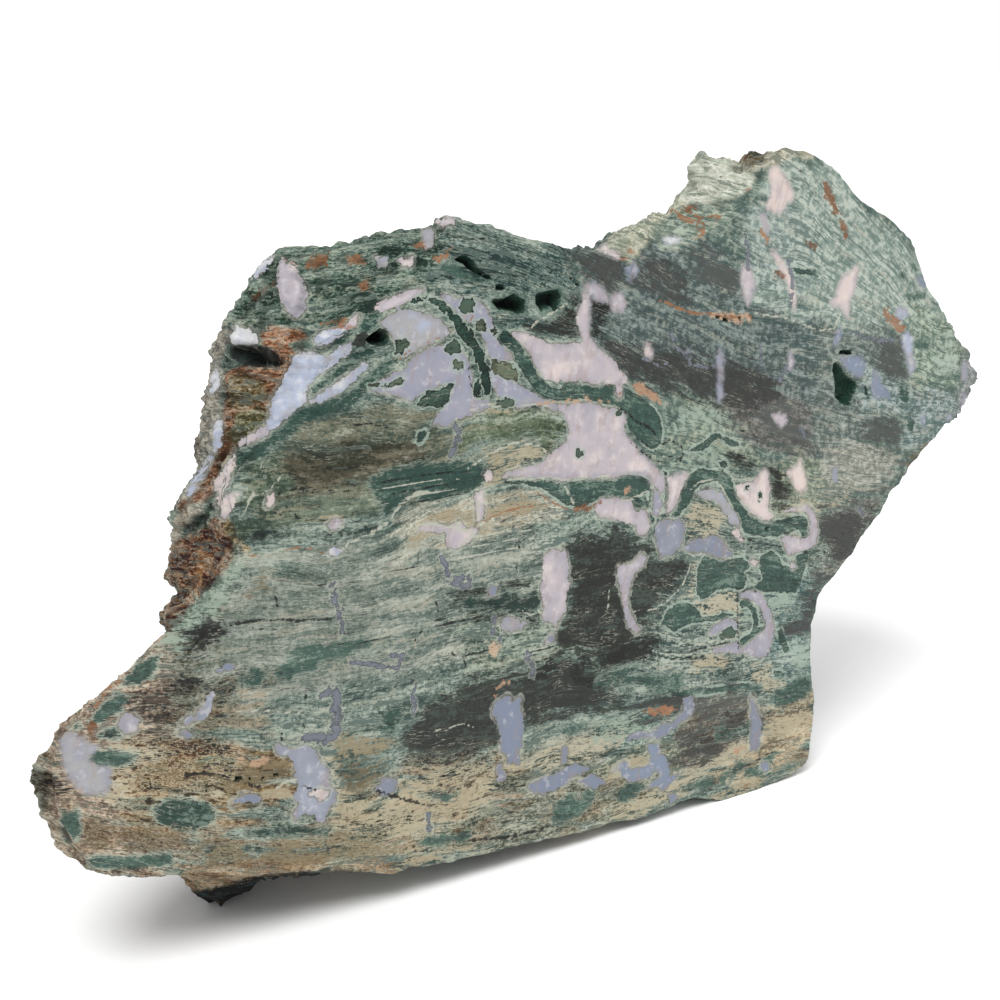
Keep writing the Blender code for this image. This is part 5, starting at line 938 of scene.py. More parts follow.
# Lines stained with rust beside open cracks
RUST_LINES = (
    (0.5, ((116.4, 110), (118, 110.2), (120, 108.9), (122, 108.4), (124, 107.9), (125, 107))),
    (0.45, ((120, 110.2), (122, 109.5), (124, 108.6), (125.8, 108.6), (127.6, 109))),
    (0.4, ((122.8, 107.6), (123.2, 106.4), (122.6, 105.2))),
    (0.35, ((118.2, 109.6), (120.4, 108.2), (122, 107.6))),
    (0.5, ((9.6, 44.6), (10.6, 45.9), (11.4, 46.9), (12.3, 47.5), (13.6, 48))),
    (0.3, ((34.5, 63), (35.5, 62.8), (38.5, 62.3), (40, 62.6), (42, 62.9), (44, 62.6), (45.5, 62.2), (47, 61.3),
        (48, 60.9))),
    (0.4, ((87, 65), (90, 62.8), (93, 61.3))),
    (0.5, ((114.4, 94.9), (116, 94.4), (118, 93.4), (121, 92.3), (124, 91.7), (126, 91.6), (128, 91),
        (131, 90.6), (133, 90.4), (135, 90.3))),
    (0.22, ((62.6, 89.6), (64.4, 90.8), (66.8, 91.6), (69.4, 92.2), (71.6, 93), (72.8, 93.6))),
    (0.2, ((71.4, 92.2), (70, 91.2), (68.4, 89.8), (67.6, 88.2), (66.6, 86.8))),
    (0.25, ((75.6, 94.2), (76.4, 95), (77.2, 96.2), (78.6, 96.2))),
    (0.35, ((76, 61.6), (80, 62.6), (84, 63), (88, 62.4))),
    (0.3, ((104.6, 79), (105.4, 80), (105, 81.4))),
)

# Ground colours of the whole stone, and by zone, as sRGB values from 0 to 255: light, dark, softness of
# the edge in millimetres, outline. Later zones lie over earlier ones. Zones outside the polished face are
# for the broken surfaces.
GROUND_LIGHT = (150, 163, 146)
GROUND_DARK = (96, 114, 104)
ZONES = (
    # Broken surfaces beyond the face
    ((138, 140, 122), (78, 78, 64), 4.0, ((-10, 10), (-10, 60), (34, 66), (34, 46), (14, 20))),
    ((188, 180, 162), (130, 124, 110), 0.8, ((24, 70), (28, 82), (31, 92), (34, 98), (35.5, 97), (33.4, 92),
        (32.8, 86), (32.4, 81), (30, 76), (28, 70))),
    ((186, 142, 110), (112, 80, 60), 0.8, ((33.6, 87), (33.4, 90.4), (36.5, 91.4), (42.7, 90.7), (45.5, 92),
        (43, 88), (40.8, 85.9), (40.4, 83.5), (37.7, 81.2), (35.3, 79.8), (33.2, 78), (31.4, 75), (30.8, 73),
        (27.8, 71.6), (24.9, 71.2), (24.9, 72.6), (26.6, 73.3), (30.3, 77.5), (32.6, 81), (32.8, 84.8))),
    ((158, 154, 118), (92, 88, 60), 0.8, OLIVE_LEDGE),
    ((146, 130, 98), (88, 76, 54), 0.9, BROWN_LEDGE),
    ((190, 138, 104), (122, 84, 60), 0.8, ((39.9, 96.1), (41.6, 96.8), (44.9, 96.2), (47, 95.8), (47.6, 94.2),
        (45.8, 92.4), (44.1, 91.2), (42.6, 91.3), (41.7, 93.2), (39.8, 94.5))),
    ((150, 112, 80), (74, 52, 38), 1.0, ((18, 61.5), (20, 66), (25.2, 67.6), (28.1, 68.2), (30.7, 69.8),
        (33, 65.2), (31.6, 61.6), (28.5, 59.4), (25, 56.4), (21, 52.4), (16, 52), (16, 58))),
    ((180, 132, 88), (120, 82, 52), 0.5, ((26.2, 59), (26.7, 62.1), (27.5, 65.9), (28.1, 65.8), (27.5, 61.9),
        (27, 58))),
    ((190, 198, 176), (128, 146, 128), 0.7, ((20.9, 52.5), (25, 56.6), (28.9, 59.5), (32, 61.8), (35.1, 63.4),
        (35.9, 62.5), (32.7, 59.8), (31.1, 56.5), (29.4, 55.6), (27.6, 53.9), (23.7, 51.4))),
    ((110, 92, 98), (50, 40, 46), 0.7, ((25.3, 51.6), (25.9, 53.4), (28.1, 55.4), (29.4, 55.6), (28.8, 53.7),
        (27.3, 51.2))),
    ((74, 92, 74), (34, 48, 38), 0.6, ((25.4, 69), (28.4, 70.5), (31.1, 73.3), (32.1, 73.5), (30.5, 71),
        (27.7, 68.3), (26.1, 67.5))),
    ((204, 196, 174), (150, 138, 116), 0.6, ((21, 65.2), (21, 67.2), (24, 70.2), (26, 72), (29, 72.4),
        (28.4, 70.9), (25.4, 69), (24.6, 67.3))),
    ((108, 130, 114), (56, 74, 64), 1.0, ((34, 97), (38, 102), (44, 109), (50, 109), (48, 98), (44, 97))),
    ((128, 146, 128), (62, 82, 72), 2.0, ((44, 109), (60, 110), (74, 112), (73, 104), (68, 99), (58, 96),
        (48, 96))),
    ((150, 146, 120), (98, 92, 66), 3.0, ((170, 50), (184, 62), (196, 64), (196, 50))),
    ((212, 212, 204), (156, 164, 154), 2.0, ((188, 64), (190, 78), (197, 76), (198, 66))),
    ((178, 160, 120), (120, 100, 70), 0.5, ((31.3, 69.3), (31.7, 67.2), (32.8, 65.1), (34.7, 62.9),
        (35.8, 63.9), (35.3, 65), (34.1, 65.6), (33.1, 67.8), (32, 69.6))),
    # Polished face, from the nose to the right
    ((212, 192, 164), (132, 114, 96), 3.0, ((0, 18), (2, 46), (20, 54), (22, 36), (20, 18))),
    ((172, 150, 112), (114, 92, 64), 2.5, ((12, 24), (13, 35), (26, 33), (40, 29), (40, 24), (28, 22))),
    ((194, 166, 128), (144, 116, 86), 2.0, ((18, 9), (20, 17), (40, 13), (56, 10), (56, 4), (30, 8))),
    ((162, 166, 150), (114, 126, 112), 3.0, ((26, 45), (28, 56), (34, 62), (44, 61), (54, 62), (66, 60),
        (68, 50), (56, 42), (40, 38), (30, 38))),
    ((122, 134, 112), (70, 84, 72), 2.5, ((33, 64), (34, 78), (46, 80), (56, 78), (56, 66), (44, 65))),
    ((132, 132, 110), (84, 94, 82), 2.0, ((40, 66), (42, 80), (46, 84), (64, 82), (72, 78), (74, 70), (66, 66),
        (58, 66))),
    ((96, 92, 76), (64, 66, 56), 2.0, ((41, 70), (42, 76), (54, 78), (66, 76), (66, 72), (54, 71))),
    ((128, 138, 116), (92, 106, 92), 2.0, ((38, 65.6), (42, 69.6), (56, 70.6), (60, 67), (52, 65.4))),
    ((120, 132, 106), (86, 98, 76), 1.2, ((72, 78.4), (76, 79.8), (84, 79.6), (92, 78), (94.4, 75), (90, 72),
        (86, 74.6), (78, 74), (73, 75))),
    ((174, 178, 160), (114, 128, 116), 2.5, ((56, 40), (56, 60), (66, 62), (82, 62), (90, 56), (88, 42),
        (70, 38))),
    ((216, 212, 188), (162, 164, 144), 2.0, ((60, 60), (62, 65), (76, 67), (90, 64), (92, 60), (76, 59))),
    ((182, 178, 152), (108, 118, 98), 3.0, ((44, 10), (46, 24), (60, 22), (76, 21), (100, 22), (118, 19),
        (120, 6), (100, 2), (70, 6))),
    ((162, 178, 160), (96, 120, 110), 2.5, ((94, 14), (96, 24), (108, 23), (118, 19), (112, 15))),
    ((168, 166, 144), (98, 106, 90), 3.0, ((72, 4), (74, 20), (98, 22), (98, 4))),
    ((148, 160, 140), (86, 102, 90), 3.0, ((70, 34), (72, 48), (92, 50), (94, 36))),
    ((170, 178, 160), (84, 104, 96), 3.0, ((106, 24), (106, 36), (122, 36), (136, 30), (136, 20), (120, 22))),
    ((158, 176, 162), (86, 112, 106), 2.5, ((134, 20), (136, 44), (150, 40), (149, 20))),
    ((216, 196, 158), (168, 154, 124), 2.5, ((122, 6), (136, 12), (136, 15), (149, 16), (148, 2), (124, 2))),
    ((150, 140, 122), (98, 92, 80), 2.5, ((114, 8), (118, 22), (132, 21), (136, 14), (130, 12), (124, 9))),
    ((124, 142, 130), (68, 88, 82), 3.0, ((70, 98), (72, 110), (100, 106), (100, 98), (92, 93), (82, 93))),
    ((144, 156, 146), (88, 100, 96), 3.0, ((96, 88), (98, 106), (124, 105), (134, 102), (152, 90), (166, 78),
        (154, 62), (136, 72), (116, 80))),
    ((178, 186, 160), (112, 130, 116), 2.5, ((112, 64), (118, 78), (134, 73), (138, 62), (130, 62), (122, 66))),
    ((140, 138, 130), (96, 94, 88), 3.0, ((126, 74), (134, 79), (152, 72), (154, 62), (146, 60), (136, 66))),
    ((200, 208, 190), (144, 162, 148), 3.0, ((134, 92), (140, 121), (156, 117), (178, 98), (188, 84), (176, 84),
        (160, 84), (148, 90))),
    ((196, 206, 190), (142, 158, 148), 3.0, ((134, 96), (134, 106), (142, 114), (150, 100), (148, 92))),
    ((156, 164, 152), (100, 110, 102), 3.0, ((148, 60), (152, 86), (176, 84), (176, 74), (164, 68), (174, 58),
        (162, 54))),
    ((192, 204, 180), (116, 136, 118), 2.0, ((176, 72), (176, 90), (190, 84), (190, 72))),
    ((180, 190, 180), (110, 130, 122), 2.0, ((162, 69), (162, 82), (170, 75), (178, 72), (188, 70), (190, 64),
        (178, 60), (172, 62), (174, 68))),
    ((196, 196, 178), (146, 148, 132), 2.5, ((148, 52), (152, 64), (164, 64), (172, 60), (168, 54), (156, 54))),
    ((132, 134, 124), (92, 92, 84), 2.0, ((150, 40), (150, 51), (160, 53), (170, 54), (164, 46), (156, 39))),
    ((178, 184, 158), (116, 128, 110), 2.0, ((136, 52), (138, 62), (146, 64), (152, 60), (152, 50), (142, 50))),
    # Pale broken surfaces of the upper right
    ((236, 232, 204), (178, 184, 158), 1.0, ((101.5, 104.4), (102.8, 105.4), (105.1, 107), (108.6, 109),
        (112.1, 110.6), (115.1, 112), (118.2, 113), (121, 113), (121.6, 110.7), (118.6, 110), (116.8, 109),
        (115, 107.4), (113.2, 105.5), (111.4, 104.2), (109.2, 102.4), (106.2, 102.7))),
    ((244, 244, 222), (200, 206, 182), 0.8, ((119.6, 111.5), (119.4, 118), (121.6, 122), (127, 123), (132, 121),
        (134.4, 117), (137, 114.8), (135, 112.7), (132.6, 111.7), (129.4, 111.2), (125.3, 111))),
    ((222, 216, 192), (172, 170, 144), 0.8, ((131.6, 116.6), (132, 120), (135, 122.4), (141, 123), (148, 122.4),
        (152, 120.6), (151.4, 117.6), (146.3, 117.8), (143.2, 117.3), (140.3, 116.4), (138.4, 116.6),
        (135.6, 115.6))),
    ((120, 104, 76), (70, 60, 44), 0.6, ((132.8, 118.4), (133.6, 120), (136.9, 120.4), (139.6, 119.6),
        (138.8, 117.6), (134.8, 117.2))),
    ((188, 198, 176), (126, 142, 126), 0.8, ((113.2, 107.4), (116.8, 108.8), (120, 109.6), (124, 110.4),
        (132, 111), (131.6, 108.4), (126, 106), (119, 103.4), (115, 103.4))),
    # Painted shade: the underside below the left end coloured near black, as it looks in its own shadow
    ((30, 34, 30), (14, 17, 15), 0.6, ((15, 15.5), (18.4, 15.4), (21, 12.7), (31, 12.3), (37.5, 11.3),
        (45, 9.4), (52, 6.2), (60, 3.0), (60, -4), (14, -4))),
)

# Marks on the broken surfaces, outlined as the camera sees them
WALL_MILK = (
    (0.88, ((46.7, 92.3), (48.8, 91.9), (50.6, 91.4), (52.6, 92.6), (54.8, 93.2), (54.6, 92), (51.6, 90.4),
        (48.9, 88.9), (46.7, 87.1), (46.1, 85.2), (43.8, 83.5), (41.4, 81.9), (39.2, 81.1), (40.2, 83.5),
        (41.1, 86.2), (42.5, 88), (44.4, 90.6), (45.4, 92))),
    (0.2, ((35.2, 79.7), (37.6, 80.1), (39.6, 80.9), (40.4, 82.3), (38.4, 81.5), (35.2, 80.4))),
    (0.85, ((26.1, 74), (27.3, 76.2), (29.1, 77.5), (30.4, 79.2), (30.8, 78.4), (28.9, 75.9), (26.6, 73.1))),
    (0.95, ((31, 81.1), (31.7, 83.4), (32.6, 84.2), (32.6, 82.5), (32.2, 80.2), (31, 79.2))),
    (0.95, ((31.4, 88.2), (31.8, 90.4), (32.6, 91.4), (33, 89.8), (32.2, 88))),
    (0.05, ((30.8, 74.9), (32.7, 77), (34.1, 78.4), (34.1, 77.2), (32.9, 75), (31.9, 73.2), (31.1, 71.7),
        (30.9, 73.3))),
    (1.0, ((35.2, 96.6), (36.4, 97.2), (38, 96.6), (39.4, 95.6), (39.6, 94.8), (38, 94.2), (36.4, 94.4),
        (35.2, 95.2))),
    (1.0, ((39.4, 104.6), (40.2, 106.2), (42, 107), (43.2, 107.2), (42.4, 105.8), (41, 104.8), (40, 104))),
    (0.3, ((44.2, 106.8), (45, 105.8), (46.6, 104.6), (47.4, 103), (47.8, 101), (47.4, 99.4), (46.6, 98),
        (45.6, 97.8), (44.8, 98.8), (43.6, 100.6), (43.4, 102.6), (43.4, 105))),
    (0.1, ((45.4, 106.2), (46.6, 105.4), (46.2, 104), (45.2, 104.8))),
    (0.9, ((48.6, 94.4), (50, 95.2), (52, 95.3), (53.8, 95.4), (54, 94.8), (51, 93.6), (49, 93.4))),
    (0.9, ((46.8, 84.6), (49, 85.8), (51.6, 87), (54, 88.2), (56.4, 89.8), (57.4, 89.4), (54.4, 87),
        (51.4, 85.4), (48.8, 84.6))),
    (0.2, ((59, 98.4), (61, 99), (63, 99.6), (66, 100.2), (68, 100.2), (66, 99), (63, 98), (60.4, 97.4),
        (59.4, 97.6))),
    (0.1, ((54, 96), (55.6, 97.1), (56.4, 96.8), (55.4, 95.4), (54.4, 95.4))),
    (0.15, ((64, 105), (66.4, 105.4), (66.2, 104.2), (64.6, 104))),
    (0.75, ((59.8, 105.6), (62, 105.8), (61.6, 104.4), (60.4, 104.2))),
    (0.7, ((68.2, 109.4), (70, 109.8), (70.2, 107.2), (68.8, 106.6))),
    (0.15, ((70.6, 110.4), (72, 111.2), (74.2, 110.9), (74.2, 110.1), (72, 109.9))),
    (0.15, ((101.8, 104.4), (103.4, 105.2), (104.4, 104), (106.4, 103.2), (105.8, 102.6), (103.4, 103.6))),
    (1.0, ((115.6, 105.6), (118, 105.7), (119.6, 104.9), (118, 104.3), (116, 104.5))),
    (0.4, ((190, 67), (190.6, 70.6), (193, 68.6), (194.6, 66.6), (192.6, 65.6))),
    (0.5, ((190.2, 73), (190.6, 76.4), (191.8, 76), (191.6, 72.6))),
)

WALL_TEAL = (
    (0.9, ((34.4, 77.9), (34.9, 78.7), (37, 78.8), (38.8, 80.1), (39.9, 80.4), (39.1, 78.5), (37.3, 77.2),
        (35.2, 76.8))),
    (0.7, ((56, 95.6), (57.4, 96.8), (59.6, 98.1), (60.2, 97.4), (59.8, 96), (58, 94.4), (56.4, 94))),
    (0.75, GREEN_RIDGE),
    (0.5, ((45, 93.6), (47, 94.4), (48.4, 93.2), (47.4, 92.6), (46, 92.4))),
    (0.75, ((48, 93.2), (50, 93.8), (53, 94.6), (56, 95.2), (54, 93.8), (51, 92.6), (49, 92.4))),
)

WALL_RUST = (
    (0.9, ((38.6, 100.4), (39.6, 101.9), (41.6, 102.6), (43.2, 103.6), (42.8, 103), (41, 101.8),
        (39.4, 100.4))),
    (0.75, ((44.6, 106.4), (46.4, 105.9), (46.4, 105.5), (44.8, 105.7))),
    (0.6, ((48, 104.8), (49.4, 106.8), (52, 106.8), (52, 105), (50, 104.6))),
    (0.5, ((56.4, 102), (58.6, 102.5), (58.5, 100.6), (57, 100.5))),
    (0.5, ((50, 96.4), (54, 97), (55.6, 95.2), (52, 95.8))),
    (0.5, ((54.6, 106), (57, 106.4), (58, 105), (55.6, 104.8))),
    (0.5, ((66.4, 107.2), (68.4, 107.8), (68.6, 106.8), (67, 106.6))),
    (0.45, ((70, 104.8), (72.4, 106), (73.6, 106.6), (73, 105.4), (71, 104.2))),
    (0.4, ((123.6, 107), (124.6, 107), (124.8, 106), (124, 105), (122.6, 105.4), (123.6, 106))),
    (0.45, ((127, 108.5), (128.6, 108.7), (128.2, 107.8), (127, 107.9))),
    (0.5, ((120, 110.8), (123.4, 110.7), (124, 110), (121, 110))),
    (0.35, ((133, 112.4), (135.4, 113.1), (134.8, 112.2))),
    (0.45, ((125.6, 119.4), (128.6, 119.8), (128.2, 119), (126, 118.9))),
    (0.5, ((132.4, 118.8), (135, 118.8), (134.2, 117.8), (132.8, 117.9))),
    (0.4, ((106.4, 103), (107.8, 102.9), (108, 102.3), (106.8, 102.3))),
    (0.3, ((107, 103.8), (109.4, 104.2), (109, 103.5))),
)

# Painted shade: black in the deep recesses of the broken surfaces
WALL_DEPTH_SHADE = (
    (1.0, CAVE),
    (1.0, ((54.6, 92.9), (55.8, 94.4), (57.6, 94.4), (57.8, 93), (56, 92.2))),
    (0.7, ((35.5, 65), (36.1, 66.3), (37.5, 66.3), (38.1, 65.4), (37, 64.8))),
    (0.7, ((25.9, 52.4), (26.9, 54), (28.1, 54.8), (28.2, 53.8), (27, 52.2))),
)

# What the marks are called in the mesh and in the material, and which of them end softly
# The mark called black is painted shade in the recesses of the broken surfaces
MARKS = {
    "milk": MILK + WALL_MILK, "blue": BLUE, "teal": TEAL + WALL_TEAL, "char": CHAR, "black": WALL_DEPTH_SHADE,
    "warm": WARM, "mint": MINT, "rust": RUST + WALL_RUST, "over": OVER,
}
SOFT_MARKS = ("char", "warm", "mint")
LINES = {"grey": GREY_LINES, "pale": PALE_LINES, "dark": DARK_LINES, "rusty": RUST_LINES}
# How far beyond the soft edge of a zone its outline is still looked at, millimetres
ZONE_MARGIN = 3.0

# What the reflection of the pale surroundings adds to the stone's own colour, and its darkest value
SHEEN = 0.028
DARKEST = 0.004
# Correction of the drawn colours for the light of the scene
BALANCE = np.array((0.77, 0.78, 0.84))

# Colours of the material, sRGB values from 0 to 255; for marks, the colour at each tint from 0 to 1
MILK_TINTS = ((0.0, (240, 222, 208)), (0.1, (228, 213, 204)), (0.2, (209, 198, 196)), (0.4, (184, 179, 183)),
              (0.6, (167, 169, 179)), (0.75, (184, 181, 176)), (0.9, (190, 198, 212)), (1.0, (232, 231, 225)))
BLUE_TINTS = ((0.0, (176, 180, 188)), (0.3, (148, 152, 160)), (0.7, (143, 152, 166)), (1.0, (150, 164, 178)))
TEAL_TINTS = ((0.0, (112, 132, 122)), (0.4, (78, 102, 91)), (0.7, (56, 80, 72)), (1.0, (42, 60, 57)))
CHAR_TINTS = ((0.0, (98, 102, 96)), (0.3, (82, 83, 79)), (0.6, (54, 54, 51)), (1.0, (42, 43, 40)))
WARM_TINTS = ((0.0, (206, 198, 170)), (0.2, (196, 184, 152)), (0.5, (172, 158, 126)), (0.8, (132, 117, 88)),
              (1.0, (106, 93, 70)))
MINT_TINTS = ((0.0, (146, 164, 146)), (0.5, (168, 184, 162)), (1.0, (196, 208, 190)))
RUST_TINTS = ((0.0, (214, 184, 152)), (0.3, (188, 138, 102)), (0.6, (146, 100, 70)), (1.0, (94, 68, 52)))
OVER_TINTS = ((0.0, (138, 138, 108)), (0.4, (104, 116, 98)), (0.7, (64, 86, 76)), (1.0, (40, 62, 56)))
GREY_TINT = (132, 136, 142)
LINE_EDGE_TINT = (88, 92, 96)
HALO_TINT = (198, 200, 182)
WARM_RIM_TINT = (196, 172, 150)
SHADE_TINT = (84, 90, 80)
MINT_EDGE_TINT = (178, 194, 174)
TEAL_LINE_TINT = (30, 44, 40)
STAIN_TINT = (176, 150, 132)
SPECK_TINT = (236, 232, 226)
PALE_LINE_TINT = (204, 204, 182)
DARK_LINE_TINT = (44, 48, 42)
RUST_LINE_TINT = (164, 118, 84)
# Painted shade: the darkest in the deep recesses and hollows, then the shade of shallow hollows
DEEP_SHADE_TINT = (22, 34, 30)
HOLLOW_SHADE_TINT = (44, 72, 62)
LENS_TINT = (76, 98, 92)
TAN_TINT = (166, 156, 128)
PIT_AND_SHADE_TINT = (40, 46, 40)
PALE_AND_HIGHLIGHT_TINT = (224, 228, 206)
PORE_TINT = (66, 52, 40)
LAYER_TINT = (170, 134, 98)
LAYER_DARK_TINT = (106, 78, 56)
NET_TINT = (218, 204, 168)
TEAL_CURL_TINT = (88, 115, 100)
TEAL_DEEP_TINT = (42, 58, 56)
# Fine patterns of the material, each about 0 on average: along the grain or not, size in millimetres,
# detail, roughness, shift
FINE_PATTERNS = {
    "fibre": (True, (2.2, 0.4, 1.7), 2.5, 0.72, 4.1),
    "grit": (False, 0.62, 2.0, 0.72, 7.7),
    "edge": (False, 1.0, 2.5, 0.66, 5.5),
    "curl": (False, 1.3, 2.0, 0.6, 3.3),
    "veins": (True, (6.0, 0.8, 3.5), 2.0, 0.62, 31.0),
    "rays": (True, (1.1, 5.0, 3.0), 1.5, 0.6, 41.0),
}
SHIFT_PARTS = (1.0, 1.7, 0.6)
# Numbers of the colour sockets of a mix node
MIX_A = 6
MIX_B = 7
MIX_RESULT = 2
# Where the ground turns from its dark to its light colour
HALF_WAY = (-0.05, 0.05)
# Finish: share of the relief that the polish keeps, bump, roughness of the polish and what breaking adds
POLISH_RELIEF = 0.06
BUMP_STRENGTH = 0.7
BUMP_DISTANCE_M = 0.0009
POLISH_ROUGHNESS = 0.22
ROUGH_GAIN = 0.56
SPECULAR = 0.25

# Floor in metres: a flat sheet far larger than the view
FLOOR_HALF = 30.0
FLOOR_TINT = (252, 252, 252)
FLOOR_ROUGHNESS = 0.9
# Light of the surroundings: near the horizon behind the stone, and elsewhere; the height and the depth of the
# direction, from 0 to 1, over which one turns into the other
HORIZON_LIGHT = 1.0
OVERHEAD_LIGHT = 0.55
HORIZON_HEIGHTS = (0.45, 0.06)
BEHIND = (0.0, 0.3)
# Suns: name, elevation and azimuth in degrees, angle of softness, strength
SUNS = (
    ("key", 60, -50, 28, 1.9),
    ("fill", 72, 50, 70, 0.9),
)


def to_face(points):
    """Row frame in millimetres to (u, v, d)."""
    back = points[:, 1] - Y_SHIFT
    u = points[:, 0] + U_SHIFT
    v = back * math.sin(LEAN) + points[:, 2] * math.cos(LEAN)
    d = back * math.cos(LEAN) - points[:, 2] * math.sin(LEAN)
    return np.stack([u, v, d], 1)


def to_row(face):
    """(u, v, d) to the row frame in millimetres."""
    u, v, d = face[:, 0], face[:, 1], face[:, 2]
    y = v * math.sin(LEAN) + d * math.cos(LEAN) + Y_SHIFT
    z = v * math.cos(LEAN) - d * math.sin(LEAN)
    return np.stack([u - U_SHIFT, y, z], 1)


def camera_place():
    """The eye in millimetres, and the direction from the target back to it."""
    back = np.array([
        math.sin(CAMERA_AZIMUTH) * math.cos(CAMERA_ELEVATION),
        -math.cos(CAMERA_AZIMUTH) * math.cos(CAMERA_ELEVATION),
        math.sin(CAMERA_ELEVATION),
    ])
    return np.array(CAMERA_TARGET) + CAMERA_DISTANCE * back, back


def on_face(points):
    """Where the line from the eye through each point meets the polished plane: (u, v)."""
    eye = to_face(camera_place()[0][None])[0]
    face = to_face(points)
    share = -eye[2] / (face[:, 2] - eye[2])
    return eye[None, :2] + (face[:, :2] - eye[None, :2]) * share[:, None]


def blocks(count, size):
    """Slices that cut a long array into handy parts."""
    return [slice(i, min(i + size, count)) for i in range(0, count, size)]


def side_distances(points, starts, sides):
    """Distance from every point to each side of an outline or a line."""
    away = points[:, None, :] - starts[None]
    t = np.clip((away * sides).sum(2) / np.maximum((sides * sides).sum(1), TINY), 0, 1)
    return np.sqrt(((away - t[..., None] * sides) ** 2).sum(2))


def polygon_distance(points, outline):
    """Distance to the outline, positive inside it."""
    a = np.array(outline, float)
    b = np.roll(a, -1, 0)
    ab = b - a
    gap = side_distances(points, a, ab).min(1)
    y = points[:, 1][:, None]
    crosses = (a[:, 1] > y) != (b[:, 1] > y)
    rise = np.where(np.abs(ab[:, 1]) < TINY, TINY, ab[:, 1])
    at = a[:, 0] + (y - a[:, 1]) / rise * ab[:, 0]
    inside = (crosses & (points[:, 0][:, None] < at)).sum(1) % 2 == 1
    return np.where(inside, gap, -gap)


def near(points, outline, reach):
    """Numbers of the points within the outline's box, widened by the reach."""
    shape = np.array(outline, float)
    low = shape.min(0) - reach
    high = shape.max(0) + reach
    return np.nonzero(((points >= low) & (points <= high)).all(1))[0]


def line_distance(points, line):
    """Distance to an open line."""
    shape = np.array(line, float)
    return side_distances(points, shape[:-1], shape[1:] - shape[:-1]).min(1)


def smoothstep(low, high, x):
    t = np.clip((x - low) / (high - low), 0, 1)
    return t * t * (3 - 2 * t)


def noise_at(points, size, salt):
    """Noise from about -1 to 1 at points given in any frame; size is one length or three."""
    scaled = points / np.array(size) + salt
    return np.array([noise.noise(Vector(p)) for p in scaled]) * NOISE_GAIN


def drift(points, amount, size, salts):
    """A slow move of the points, one noise for each direction."""
    return amount * np.stack([noise_at(points, size, salt) for salt in salts], 1)


def pattern(points, noises):
    """Sum of noises, each given as a size, a salt and a weight."""
    return sum(weight * noise_at(points, size, salt) for size, salt, weight in noises)


def lumps(points, size, salt):
    """Rounded blocks with grooves between them: 0 in a groove, up to 1 on a block."""
    scaled = points / np.array(size) + salt
    out = np.empty(len(scaled))
    for i, p in enumerate(scaled):
        nearest, second = noise.voronoi(Vector(p))[0][:2]
        out[i] = second - nearest
    return np.clip(out / BLOCK_FULL, 0, 1)


def weld(co):
    """Joins vertices that share a place: the first of each, and the number that each one gets."""
    key = np.round(co * WELD_PER_METRE).astype(np.int64)
    _, first, back = np.unique(key, axis=0, return_index=True, return_inverse=True)
    return first, back.reshape(-1)


def cad_triangles():
    """The solid's vertices in millimetres and its triangles."""
    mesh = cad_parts["slab"].data
    co = np.empty(len(mesh.vertices) * 3, np.float32)
    mesh.vertices.foreach_get("co", co)
    co = co.reshape(-1, 3).astype(float)
    mesh.calc_loop_triangles()
    tri = np.empty(len(mesh.loop_triangles) * 3, np.int32)
    mesh.loop_triangles.foreach_get("vertices", tri)
    first, back = weld(co)
    return co[first] / MM, back[tri].reshape(-1, 3)


def walls_only(co, tri):
    """The broken surfaces: everything but the polished plane and the bowls of its hollows."""
    depth = to_face(co)[:, 2]
    front = (np.abs(depth[tri]) < ON_FACE).all(1)
    rest = tri[~front]
    label = np.arange(len(co))
    while True:
        low = label[rest].min(1)
        new = label.copy()
        for k in range(3):
            np.minimum.at(new, rest[:, k], low)
        new = new[new]
        if (new == label).all():
            break
        label = new
    names, counts = np.unique(label[rest[:, 0]], return_counts=True)
    rest = rest[label[rest[:, 0]] == names[counts.argmax()]]
    used, back = np.unique(rest, return_inverse=True)
    return co[used], back.reshape(-1, 3)


def triangle_sides(tri):
    return tri[:, [0, 1, 1, 2, 2, 0]].reshape(-1, 2)


def refine(co, tri, wanted, rounds):
    """Splits edges longer than wanted, at their middles, until none is left."""
    for _ in range(rounds):
        edges, index = np.unique(np.sort(triangle_sides(tri), 1), axis=0, return_inverse=True)
        a, b = co[edges[:, 0]], co[edges[:, 1]]
        middle = (a + b) / 2
        cut = np.linalg.norm(a - b, axis=1) > wanted(middle, co, tri, edges) * SPLIT_OVER
        if not cut.any():
            break
        made = np.full(len(edges), -1)
        made[cut] = len(co) + np.arange(cut.sum())
        co = np.vstack([co, middle[cut]])
        m = made[index.reshape(-1)].reshape(-1, 3)
        tri = split_triangles(co, tri, m)
    return co, tri


def split_triangles(co, tri, m):
    """New triangles; m has the middle vertex of each triangle's sides, or -1 where there is none."""
    new = [tri[(m < 0).all(1)]]
    split = (m >= 0).sum(1)
    full = split == 3
    a, b, c = tri[full].T
    p, q, r = m[full].T
    new += [np.stack(x, 1) for x in ((a, p, r), (p, b, q), (r, q, c), (p, q, r))]
    for k in range(3):
        t = np.roll(tri, -k, 1)
        n = np.roll(m, -k, 1)
        one = (split == 1) & (n[:, 0] >= 0)
        a, b, c = t[one].T
        p = n[one, 0]
        new += [np.stack(x, 1) for x in ((a, p, c), (p, b, c))]
        two = (split == 2) & (n[:, 2] < 0)
        a, b, c = t[two].T
        p, q = n[two, 0], n[two, 1]
        new.append(np.stack([p, b, q], 1))
        short = np.linalg.norm(co[a] - co[q], axis=1) < np.linalg.norm(co[p] - co[c], axis=1)
        first = np.where(short[:, None], np.stack([a, p, q], 1), np.stack([a, p, c], 1))
        second = np.where(short[:, None], np.stack([a, q, c], 1), np.stack([p, q, c], 1))
        new += [first, second]
    return np.vstack(new)


